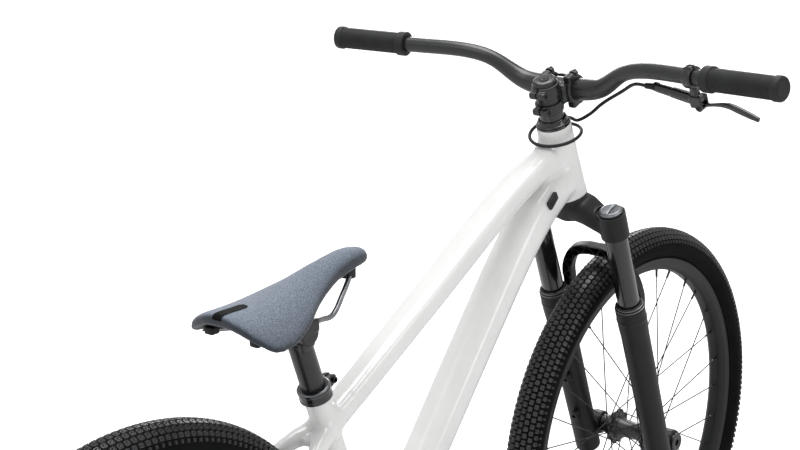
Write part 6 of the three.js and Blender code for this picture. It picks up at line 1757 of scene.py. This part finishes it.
def build_chainring():
    holes = [circle(14.8, 32)]
    half_arm = 0.22
    for i in range(4):
        start = math.pi / 2 * i + half_arm + math.pi / 4
        end = math.pi / 2 * (i + 1) - half_arm + math.pi / 4
        arc = [mix(start, end, k / 8) for k in range(9)]
        outer = [(43 * math.cos(a), 43 * math.sin(a)) for a in arc]
        inner = [(24 * math.cos(a), 24 * math.sin(a)) for a in reversed(arc)]
        holes.append(rounded(outer + inner, 2.4, 2))
    shape = plate(toothed(RING_TEETH, RING_PITCH), 2.8, holes, edge=0.35)
    added(shape, turned([(14.6, -1.6), (18.4, -1.6), (18.4, 1.6), (14.6, 1.6)], 40, closed=True))
    groove = turned([(46.4, 1.2), (49.2, 1.2), (49, 1.75), (46.6, 1.75)], 96, closed=True)
    added(shape, groove)
    beside = Matrix.Translation(-CHAIN_LINE * ACROSS) @ ALONG_Y
    piece("chainring", shape, CRANKS @ beside, "crankset", "black_anodised", ["chainring"])
    cog = plate(toothed(COG_TEETH, COG_PITCH), 2.8, [circle(14.8, 32)], edge=0.35)
    added(cog, turned([(14.6, -4.6), (17.4, -4.6), (17.6, -4.2), (17.6, 4.2), (17.4, 4.6),
                       (14.6, 4.6)], 40, closed=True))
    piece("rear_cog", cog, REAR_WHEEL @ beside, "cog", "chain_steel", ["rear_cog"])
    dressed("bottom_bracket", "black_anodised")


def crank_shape(side):
    """Forged arm from the spindle to the pedal's eye, hollowed on its outer face."""
    line = [
        Vector((0, 60, 0)), Vector((34, 61.1, 0)), Vector((102, 66, 0)),
        Vector((CRANK_LENGTH, 71, 0)),
    ]
    pedal_hole = AHEAD * CRANK_LENGTH
    wide = [6.4, 6.4, 6.2, 5.9, 5.5, 5.3]
    tall = [14.8, 12.8, 11.4, 10.8, 10.9, 11.6]
    arm = lofted(
        line, lambda s: (spread(wide, s), spread(tall, s)), ACROSS, 36, power=3.2, count=36,
    )
    boss = rod(ACROSS * 53.6, ACROSS * 66.4, 15, 48, edge=1.2)
    eye = rod(pedal_hole + ACROSS * 65.7, pedal_hole + ACROSS * 76.3, 12, 44, edge=1.2)
    arm = fused([arm, boss, eye], 1.15, 5)
    pocket = [Vector((30, 68.6, 0)), Vector((85, 71.8, 0)), Vector((146, 76.4, 0))]
    cutter = lofted(pocket, lambda s: (3.2, mix(6.4, 5.2, s)), ACROSS, 24, power=3, count=20)
    holes = [cutter, rod(pedal_hole + ACROSS * 55, pedal_hole + ACROSS * 85, 6.3, 32)]
    if side > 0:
        holes.append(rod(ACROSS * 50, ACROSS * 66.4, 12.3, 36))
    arm = carved(arm, *holes)
    if side > 0:
        place = Matrix.Translation(ACROSS * 66.4) @ sideways(1)
        added(arm, bolt(10.6, 1.6, 4.6, 40), place, 1)
    return arm


def build_cranks():
    right = moved(crank_shape(-1), Matrix.Diagonal((1, -1, 1, 1)))
    added(right, rod(ACROSS * -55.5, ACROSS * 66.3, 12, 40), None, 1)
    left = moved(crank_shape(1), Matrix.Diagonal((-1, 1, 1, 1)))
    for arm, name in ((right, "crank_arm_right"), (left, "crank_arm_left")):
        piece(name, arm, CRANKS, "crankset", ["black_anodised", "black_steel"], [name], sharp=40)
    for side, name in LEGS:
        centre = BRACKET + Vector((-side * CRANK_LENGTH, side * 76.4, 0))
        hexagon = many_sided(6, 0.05)
        axle = stacked([
            (5.9, -10.8, None), (5.9, 0.3, None), (9.4, 0.3, hexagon), (9.4, 4.7, hexagon),
            (8.6, 5.2, None), (6.2, 5.3, None), (6, 12, None), (5, 60, None), (4.8, 81.6, None),
        ], 36)
        place = Matrix.Translation(centre)
        piece(f"pedal_axle_{name}", axle, place @ sideways(side), "crankset", "bare_steel",
              [f"pedal_axle_{name}"])
        piece(f"pedal_{name}", pedal_shape(side), place, f"{name}_pedal", "black_plastic",
              [f"pedal_{name}"])


def pedal_shape(side):
    """Flat pedal: an open cage round a central barrel, with gripping pins on both faces."""
    start, width, half, corner = 5.8, 96, 50, 14
    end = start + width
    outline = rounded([
        (-half + corner, start), (half - corner, start), (half, start + corner),
        (half, end - corner), (half - corner, end), (-half + corner, end), (-half, end - corner),
        (-half, start + corner),
    ], 8, 4)
    holes = []
    for sign in (1, -1):
        x0, x1 = sorted((sign * 13.5, sign * 37))
        for y0, y1 in ((start + 13, start + 45), (start + 51, start + 83)):
            holes.append(rounded([(x0, y0), (x1, y0), (x1, y1), (x0, y1)], 5, 4))
    shape = plate(outline, 13.4, holes, edge=1.4, segments=2)
    barrel = rod(ACROSS * start, ACROSS * (end - 6), 8.4, 36, edge=1)
    bore = rod(Vector(), ACROSS * (start + 82), 6.6, 32)
    shape = carved(fused([shape, barrel], 1.1, 2), bore)
    spots = [(x, start + y) for x in (-43.5, 43.5) for y in (16, 37, 59, 80)]
    spots += [(x, start + y) for x in (-25, 25) for y in (6.6, 89.4)]
    for x, y in spots:
        for face in (1, -1):
            pin = stacked([(1.9, 0, many_sided(6)), (1.9, 0.9, many_sided(6)), (1.3, 1.0, None),
                           (1.2, 2.0, None)], 12)
            turn = Matrix.Identity(4) if face > 0 else Matrix.Rotation(math.pi, 4, "X")
            added(shape, pin, Matrix.Translation((x, y, face * 6.4)) @ turn)
    return moved(shape, Matrix.Diagonal((1, side, 1, 1)))


# Rear brake and axle

def build_rear_brake():
    halves = []
    for side in (1, -1):
        halves.append(block((33, 12, 20), (0, side * 8.2, 0), 4, 3))
        halves.append(rod(Vector((-2, side * 3, 0)), Vector((-2, side * 15, 0)), 11, 40, edge=1.6))
    halves.append(block((30, 20, 7), (0, 0, 7.2), 2.6, 3))
    halves.append(rod(Vector((10, 0, 5.5)), Vector((26.6, 0, 5.5)), 4.8, 24, edge=0.8))
    body = fused(halves, 1.0, 3)
    body = carved(body, block((60, 3.4, 30), (0, 0, -6), 0), block((14, 13, 20), (-2, 0, 8), 3))
    for side in (1, -1):
        place = Matrix.Translation((-2, side * 14.5, 0))
        added(body, bolt(5.4, 0.5, 2.2, 28), place @ sideways(side), 1)
    for x in (-12.5, 12.5):
        added(body, bolt(2.6, 1.4, 1.3, 18), Matrix.Translation((x, 0, 10.4)), 1)
    hexagon = many_sided(6, 0.2)
    nut = stacked([(4.4, 0, hexagon), (4.4, 5, hexagon), (3.6, 6.6, None)], 24)
    added(body, nut, Matrix.Translation((20.2, 0, 5.5)) @ Matrix.Rotation(math.pi / 2, 4, "Y"), 1)
    piece("brake_caliper", body, Matrix.Translation(CALIPER), "frame",
          ["gloss_black", "black_steel"], ["brake_caliper"])
    shape = turned([(0, -86), (4.6, -86), (5, -85.6), (5, 85.6), (4.6, 86), (0, 86)], 24)
    for side in (1, -1):
        nut = stacked([
            (10, 0, None), (11, 0.4, None), (11, 1.6, None), (9.6, 1.8, many_sided(6)),
            (9.6, 9.0, many_sided(6)), (8.4, 9.8, None), (5.4, 9.8, None), (5.2, 8.8, None),
        ], 36)
        turn = Matrix.Identity(4) if side > 0 else Matrix.Rotation(math.pi, 4, "X")
        added(shape, nut, Matrix.Translation((0, 0, side * 76.2)) @ turn)
    piece("rear_axle", shape, REAR_WHEEL @ ALONG_Y, "frame", "bare_steel", ["rear_axle"])


# Seat

def build_collar():
    """Seat clamp: a ring with a lip, two ears in front, and the bolt through them."""
    ring_shape = turned([
        (17.4, -14), (20.6, -14), (21.4, -13.3), (21.4, -10.2), (20.9, -9.7), (20.9, -2.3),
        (21.4, -1.8), (21.4, 1.4), (20.7, 2.4), (19.4, 3), (15.9, 3), (15.9, 0.5), (17.4, 0.5),
    ], 72, closed=True)
    ears = []
    for side in (1, -1):
        outline = rounded([(18.5, -13.6), (34.2, -11.2), (34.2, 0.2), (18.5, 2.6)], 4, 4)
        ear = plate(outline, 6.2, edge=1.1, segments=2)
        ears.append(moved(ear, Matrix.Translation(ACROSS * side * 4.7) @ sideways(-1)))
    body = carved(ring_shape, block((30, 3.2, 40), (26, 0, -5), 0))
    for ear in ears:
        added(body, ear)
    middle = Vector((28.2, 0, -5.5))
    added(body, rod(middle - ACROSS * 8, middle + ACROSS * 8, 2.4, 20), None, 1)
    for side in (1, -1):
        place = Matrix.Translation(middle + ACROSS * side * 7.8) @ sideways(side)
        added(body, bolt(4.2, 3.2, 2.1), place, 1)
    for rows in (
        [(19.5, 2.95), (20.7, 2.35), (21.35, 1.45), (21.55, 1.5), (20.9, 2.6), (19.6, 3.15)],
        [(20.95, -2.4), (21.4, -1.9), (21.5, -2.0), (21.1, -2.6)],
        [(20.7, -13.9), (21.35, -13.3), (21.5, -13.45), (20.9, -14.1)],
    ):
        added(body, turned(rows, 72, closed=True), None, 2)
    piece("seat_collar", body, SEAT, "frame", ["gloss_black", "black_steel", "grey_anodised"],
          ["seat_collar"])


def build_post():
    tube = turned([
        (0, -150), (14.6, -150), (15.4, -149), (15.45, 66), (15.9, 68.4), (15.9, 72), (15, 73),
        (0, 73),
    ], 56)
    cradle = block((23.4, 33.4, 14.4), (0, 0, 69.5), 3.2, 3)
    saddle_room = rod(Vector((0, -40, 88)), Vector((0, 40, 88)), 15.4, 64)
    head = carved(fused([cradle], 0.9, 3), saddle_room)
    added(tube, head)
    piece("seatpost", tube, SEAT, "post", "black_anodised", ["seatpost"])


def rail_line():
    right = [
        Vector((-102, -37, 20)), Vector((-72, -29.5, 16)), Vector((-42, -22, 12)),
        Vector((-21, -22, 12)), Vector((21, -22, 12)), Vector((42, -22, 12)),
        Vector((70, -14.5, 30.5)), Vector((91, -7, 47)),
    ]
    left = [Vector((p.x, -p.y, p.z)) for p in reversed(right)]
    return right + [Vector((98, 0, 49))] + left


def build_clamp():
    parts = [
        rod(Vector((0, -26, 0)), Vector((0, 26, 0)), 15, 56, edge=1.2),
        block((27.6, 57.5, 17.4), (0, 0, 9.2), 2.6, 3),
    ]
    body = carved(fused(parts, 1.0, 3), *[
        rod(Vector((-42, side * 22, 12)), Vector((42, side * 22, 12)), 4.1, 28) for side in (1, -1)
    ])
    for x in (-8.2, 8.2):
        added(body, rod(Vector((x, 0, 10)), Vector((x, 0, 18)), 2.6, 20), None, 1)
        added(body, bolt(3.5, 3.4, 1.8), Matrix.Translation((x, 0, 17.8)), 1)
    for side in (1, -1):
        added(body, block((20, 1.0, 0.8), (0, side * 13, 18), 0.3))
    piece("seatpost_clamp", body, SADDLE, "saddle", ["black_anodised", "black_steel"],
          ["seatpost_clamp"])
    piece("saddle_rails", hosed(rail_line(), 3.5, 24, 180), SADDLE, "saddle", "bare_steel",
          ["saddle_rails"])


SADDLE_LENGTH = 254
SADDLE_NOSE = 125
SADDLE_HALF_WIDTH = 70
SADDLE_RISE = 81.5
SADDLE_DEPTH = 34
SADDLE_DROOP = 26
SADDLE_PLACES = [0, 0.03, 0.12, 0.28, 0.46, 0.62, 0.76, 0.88, 0.96, 1]
SADDLE_WIDTHS = [0.09, 0.2, 0.27, 0.34, 0.54, 0.81, 0.97, 1, 0.78, 0.36]
SADDLE_HEIGHTS = [0.9, 0.965, 1, 0.926, 0.778, 0.685, 0.64, 0.63, 0.635, 0.625]
SADDLE_DEPTHS = [0.3, 0.6, 0.8, 0.84, 0.78, 0.74, 0.74, 0.7, 0.58, 0.36]


def saddle_row(values, share):
    """Smooth value along the saddle's length."""
    points = [Vector((place * 100, value * 100, 0)) for place, value in zip(SADDLE_PLACES, values)]
    fine = smooth_line(points, 160)[0]
    best = min(fine, key=lambda p: abs(p.x - share * 100))
    return best.y / 100


def saddle_form(shrink, lower, sides, count=44):
    """The saddle's form, drawn in at its ends and sides and moved down."""
    places = []
    for i in range(count):
        share = i / (count - 1)
        share = 0.5 - 0.5 * math.cos(math.pi * share)
        height = SADDLE_DEPTH * saddle_row(SADDLE_DEPTHS, share) / 2
        width = max(SADDLE_HALF_WIDTH * saddle_row(SADDLE_WIDTHS, share) - shrink, 0.3)
        centre = Vector((
            SADDLE_NOSE - shrink - share * (SADDLE_LENGTH - 2 * shrink), 0,
            SADDLE_RISE * saddle_row(SADDLE_HEIGHTS, share) - height - lower,
        ))
        places.append(axes(ACROSS * width, UP * height, Vector((-1, 0, 0)), centre))
    shape = skinned(places, sides, squared(2.4))
    for vert in shape.verts:
        vert.co.z -= SADDLE_DROOP * (abs(vert.co.y) / SADDLE_HALF_WIDTH) ** 2.2
    return shape


def saddle_cushion():
    """The cover as a thick shell over its base."""
    return carved(saddle_form(0, 0, 64), saddle_form(4.2, 13.2, 64))


def puffed(shape, swell):
    """Fills the cover: a gentle cloth simulation that no point leaves by more than the swell."""
    soft = through_modifiers(shape, ("REMESH", {"mode": "VOXEL", "voxel_size": 2.6}))
    smoothed(soft, 3)
    bmesh.ops.transform(soft, matrix=Matrix.Scale(METRES, 4), verts=soft.verts)
    mesh = bpy.data.meshes.new("cushion")
    soft.to_mesh(mesh)
    soft.free()
    start = [vert.co.copy() for vert in mesh.vertices]
    cushion = bpy.data.objects.new("cushion", mesh)
    bpy.context.scene.collection.objects.link(cushion)
    held = cushion.vertex_groups.new(name="held")
    for vert in mesh.vertices:
        if vert.normal.z < 0.05:
            held.add([vert.index], 1.0, "REPLACE")
    cloth = cushion.modifiers.new("cloth", "CLOTH")
    cloth.settings.vertex_group_mass = "held"
    cloth.settings.use_pressure = True
    cloth.settings.uniform_pressure_force = 3.0
    cloth.settings.tension_stiffness = 30
    cloth.settings.compression_stiffness = 30
    cloth.settings.effector_weights.gravity = 0
    scene = bpy.context.scene
    for step in range(1, 13):
        scene.frame_set(step)
    graph = bpy.context.evaluated_depsgraph_get()
    made = bmesh.new()
    evaluated = cushion.evaluated_get(graph)
    made.from_mesh(evaluated.to_mesh())
    evaluated.to_mesh_clear()
    made.verts.ensure_lookup_table()
    for vert, place in zip(made.verts, start):
        shift = vert.co - place
        limit = swell * METRES
        if shift.length > limit:
            vert.co = place + shift * (limit / shift.length)
    scene.frame_set(1)
    bpy.data.objects.remove(cushion)
    bpy.data.meshes.remove(mesh)
    smoothed(made, 3)
    bmesh.ops.transform(made, matrix=Matrix.Scale(1 / METRES, 4), verts=made.verts)
    return made


def kept_between(shape, planes):
    """Keeps what lies behind every plane, given as place and outward direction."""
    for place, outward in planes:
        bmesh.ops.bisect_plane(
            shape, geom=shape.verts[:] + shape.edges[:] + shape.faces[:], dist=0.0001,
            plane_co=place, plane_no=outward, clear_outer=True,
        )
    return shape


def build_saddle(shapes):
    cover = puffed(saddle_cushion(), shapes.saddle_swell)
    patch = cover.copy()
    made = piece("saddle_cover", cover, SADDLE, "saddle", "blue_cloth", ["saddle_cover"], sharp=60)
    for face in [f for f in patch.faces if f.normal.z < 0.02]:
        patch.faces.remove(face)
    front, half = Vector((-83, 0, 0)), 7.2
    planes = [(front, AHEAD)]
    for side in (1, -1):
        out = ACROSS * side
        planes += [(front + out * 4.2, AHEAD * 0.7 + out), (out * half, out)]
    kept_between(patch, planes)
    patch = through_modifiers(patch, ("SOLIDIFY", {"thickness": 0.9, "offset": 0.6}))
    piece("saddle_patch", patch, SADDLE, "saddle", "tyre_rubber", sharp=50)
    parts = [carved(saddle_form(10, 13.6, 64), saddle_form(4.0, 17.8, 64))]
    parts.append(block((14, 21, 19), (94.5, 0, 53), 2.5, 3))
    for side in (1, -1):
        parts.append(block((14, 14, 10.2), (-102, side * 37, 19.6), 2.5, 3))
    base = carved(gathered(*parts), hosed(rail_line(), 3.85, 20, 120))
    piece("saddle_base", base, SADDLE, "saddle", "black_plastic", ["saddle_base"])


# Stage

# The photograph's camera: width and focal length in its pixels, place and direction
PHOTO_WIDTH = 800
PHOTO_FOCUS = 1633
SENSOR_WIDTH = 36
CAMERA_PLACE = Vector((-1.61121, -1.29148, 1.33725))
CAMERA_AHEAD = Vector((0.74328, 0.61784, -0.25654)).normalized()
CAMERA_ROLL = math.radians(-0.38)


def build_stage(shapes):
    """Pale floor, soft studio light, and the camera at the photograph's angle."""
    scene = bpy.context.scene
    floor_shape = bmesh.new()
    bmesh.ops.create_grid(floor_shape, x_segments=1, y_segments=1, size=40)
    mesh = bpy.data.meshes.new("studio_floor")
    floor_shape.to_mesh(mesh)
    floor_shape.free()
    floor = bpy.data.objects.new("studio_floor", mesh)
    scene.collection.objects.link(floor)
    pale = bpy.data.materials.new("studio_floor")
    pale.use_nodes = True
    skin = pale.node_tree.nodes["Principled BSDF"]
    grain = placed_effect(pale.node_tree, surface_grain, {"Fine Scale": 40.0, "Broad Scale": 0.6})
    tone = mixed(pale.node_tree, grain["Cloudiness"], grey(0.84), grey(0.82))
    path = node(pale.node_tree, "LightPath").outputs
    tone = mixed(pale.node_tree, path["Is Glossy Ray"], tone, grey(0.45))
    pale.node_tree.links.new(tone, skin.inputs["Base Color"])
    seen = path["Is Camera Ray"]
    skin.inputs["Emission Color"].default_value = grey(1)
    glow = node(pale.node_tree, "Math", {0: seen, 1: 0.35}, operation="MULTIPLY")
    pale.node_tree.links.new(glow.outputs[0], skin.inputs["Emission Strength"])
    skin.inputs["Roughness"].default_value = 0.85
    skin.inputs["Specular IOR Level"].default_value = 0.1
    mesh.materials.append(pale)
    world = bpy.data.worlds.new("studio")
    scene.world = world
    world.use_nodes = True
    sky = world.node_tree.nodes["Background"]
    sky.inputs["Color"].default_value = grey(1)
    seen = node(world.node_tree, "LightPath").outputs["Is Camera Ray"]
    strength = node(world.node_tree, "MapRange", {
        "Value": seen, "To Min": shapes.room_light, "To Max": 1.0,
    })
    world.node_tree.links.new(strength.outputs[0], sky.inputs["Strength"])
    sun = bpy.data.lights.new("high_light", "SUN")
    sun.energy = 2.3
    sun.angle = math.radians(46)
    lamp = bpy.data.objects.new("high_light", sun)
    scene.collection.objects.link(lamp)
    lamp.rotation_euler = Vector((-0.05, -0.1, -1)).to_track_quat("-Z", "Y").to_euler()
    for name, place, target, size, power in (
        ("key_light", (-2.4, 0.6, 3.4), (0, 0, 0.7), (1.6, 2.6), 14),
        ("side_light", (0.6, -3.6, 2.1), (0.2, 0, 0.8), (0.6, 2.6), 14),
        ("back_light", (3.4, 2.6, 2.3), (0.3, 0, 0.8), (2.2, 1.2), 56),
    ):
        data = bpy.data.lights.new(name, "AREA")
        data.shape = "RECTANGLE"
        data.size, data.size_y = size
        data.energy = power
        lamp = bpy.data.objects.new(name, data)
        scene.collection.objects.link(lamp)
        lamp.location = place
        aim = Vector(target) - Vector(place)
        lamp.rotation_euler = aim.to_track_quat("-Z", "Y").to_euler()
    scene.view_settings.view_transform = "Standard"
    scene.view_settings.look = "None"
    camera_data = bpy.data.cameras.new("camera")
    camera_data.sensor_width = SENSOR_WIDTH
    camera_data.lens = SENSOR_WIDTH * PHOTO_FOCUS / PHOTO_WIDTH
    camera_data.clip_start, camera_data.clip_end = 0.05, 200
    camera = bpy.data.objects.new("camera", camera_data)
    scene.collection.objects.link(camera)
    right = CAMERA_AHEAD.cross(UP).normalized()
    up = right.cross(CAMERA_AHEAD)
    leaned = right * math.cos(CAMERA_ROLL) + up * math.sin(CAMERA_ROLL)
    camera.matrix_world = axes(leaned, leaned.cross(CAMERA_AHEAD), -CAMERA_AHEAD, CAMERA_PLACE)
    scene.camera = camera


# Add-on

class BikeShapes(bpy.types.PropertyGroup):
    """Sizes that a user may change; lengths in millimetres"""
    frame_voxel: FloatProperty(
        name="Frame voxel", description="Grid of the skin over the frame's tubes, in millimetres",
        default=2.4, min=1.0, max=6.0, subtype="UNSIGNED",
    )
    knob_height: FloatProperty(
        name="Knob height", description="How far the tread's blocks stand up, in millimetres",
        default=2.6, min=0.5, max=4.0,
    )
    tread_pitches: IntProperty(
        name="Tread pitches", description="How often the tread repeats round a tyre", default=208,
        min=60, max=400,
    )
    saddle_swell: FloatProperty(
        name="Saddle swell", description="Most that the cover swells, in millimetres", default=2.0,
        min=0.0, max=8.0,
    )
    room_light: FloatProperty(
        name="Room light", description="Strength of the light from all round", default=0.54,
        min=0.0, max=3.0, subtype="FACTOR",
    )


class BikeColours(bpy.types.PropertyGroup):
    """Colours that a user may change"""
    cloth_dark: FloatVectorProperty(
        name="Dark yarn", description="Darker yarn of the saddle's cloth", subtype="COLOR",
        default=shade("4b5666")[:3],
    )
    cloth_light: FloatVectorProperty(
        name="Light yarn", description="Lighter yarn of the saddle's cloth", subtype="COLOR",
        default=shade("aab6c6")[:3],
    )


class BikeOperator:
    """What every operator of this file shares"""
    bl_options = {"REGISTER", "UNDO"}

    def execute(self, context):
        self.build(context.scene.bike_shapes)
        return {"FINISHED"}


class BIKE_OT_frame(BikeOperator, bpy.types.Operator):
    """Builds the welded frame and the ports in its down tube"""
    bl_idname = "bike.frame"
    bl_label = "Frame"

    def build(self, shapes):
        build_frame(shapes)
        build_ports()


class BIKE_OT_cockpit(BikeOperator, bpy.types.Operator):
    """Builds the headset, stem, handlebar and grips"""
    bl_idname = "bike.cockpit"
    bl_label = "Cockpit"

    def build(self, shapes):
        build_headset()
        build_stem()
        build_bars()


class BIKE_OT_lever(BikeOperator, bpy.types.Operator):
    """Builds the brake lever"""
    bl_idname = "bike.lever"
    bl_label = "Brake Lever"

    def build(self, shapes):
        build_lever()


class BIKE_OT_hose(BikeOperator, bpy.types.Operator):
    """Builds the brake hose along its whole route"""
    bl_idname = "bike.hose"
    bl_label = "Brake Hose"

    def build(self, shapes):
        build_hose()


class BIKE_OT_fork(BikeOperator, bpy.types.Operator):
    """Builds the fork with its seals, dials and axle"""
    bl_idname = "bike.fork"
    bl_label = "Fork"

    def build(self, shapes):
        build_crown()
        build_stanchions()
        build_seals()
        build_lowers()
        build_front_axle()
        build_dials()


class BIKE_OT_wheels(BikeOperator, bpy.types.Operator):
    """Builds both wheels and the rear brake's rotor"""
    bl_idname = "bike.wheels"
    bl_label = "Wheels"

    def build(self, shapes):
        build_wheels(shapes)


class BIKE_OT_drive(BikeOperator, bpy.types.Operator):
    """Builds the chain, its wheels, the cranks and the pedals"""
    bl_idname = "bike.drive"
    bl_label = "Drive"

    def build(self, shapes):
        build_chain()
        build_chainring()
        build_cranks()


class BIKE_OT_rear_brake(BikeOperator, bpy.types.Operator):
    """Builds the rear caliper and the rear axle"""
    bl_idname = "bike.rear_brake"
    bl_label = "Rear Brake"

    def build(self, shapes):
        build_rear_brake()


class BIKE_OT_seat(BikeOperator, bpy.types.Operator):
    """Builds the collar, seatpost, clamp, rails and saddle"""
    bl_idname = "bike.seat"
    bl_label = "Seat"

    def build(self, shapes):
        build_collar()
        build_post()
        build_clamp()
        build_saddle(shapes)


class BIKE_OT_stage(BikeOperator, bpy.types.Operator):
    """Sets out the floor, the lights and the camera"""
    bl_idname = "bike.stage"
    bl_label = "Stage"

    def build(self, shapes):
        build_stage(shapes)


OPERATORS = [
    BIKE_OT_stage, BIKE_OT_hose, BIKE_OT_frame, BIKE_OT_cockpit, BIKE_OT_lever, BIKE_OT_fork,
    BIKE_OT_wheels, BIKE_OT_drive, BIKE_OT_rear_brake, BIKE_OT_seat,
]


class BIKE_PT_panel(bpy.types.Panel):
    """Lists the bike's pieces in the sidebar"""
    bl_idname = "BIKE_PT_panel"
    bl_label = "Dirt Jump Bike"
    bl_space_type = "VIEW_3D"
    bl_region_type = "UI"
    bl_category = "Bike"

    def draw(self, context):
        column = self.layout.column()
        for name in BikeShapes.__annotations__:
            column.prop(context.scene.bike_shapes, name)
        for name in BikeColours.__annotations__:
            column.prop(context.scene.bike_colours, name)
        for operator in OPERATORS:
            column.operator(operator.bl_idname)


CLASSES = [BikeShapes, BikeColours, *OPERATORS, BIKE_PT_panel]


def register():
    for kind in CLASSES:
        bpy.utils.register_class(kind)
    bpy.types.Scene.bike_shapes = PointerProperty(type=BikeShapes)
    bpy.types.Scene.bike_colours = PointerProperty(type=BikeColours)


def unregister():
    del bpy.types.Scene.bike_shapes
    del bpy.types.Scene.bike_colours
    for kind in reversed(CLASSES):
        bpy.utils.unregister_class(kind)


def main():
    register()
    for operator in OPERATORS:
        group, name = operator.bl_idname.split(".")
        getattr(getattr(bpy.ops, group), name)()


if __name__ == "__main__":
    main()
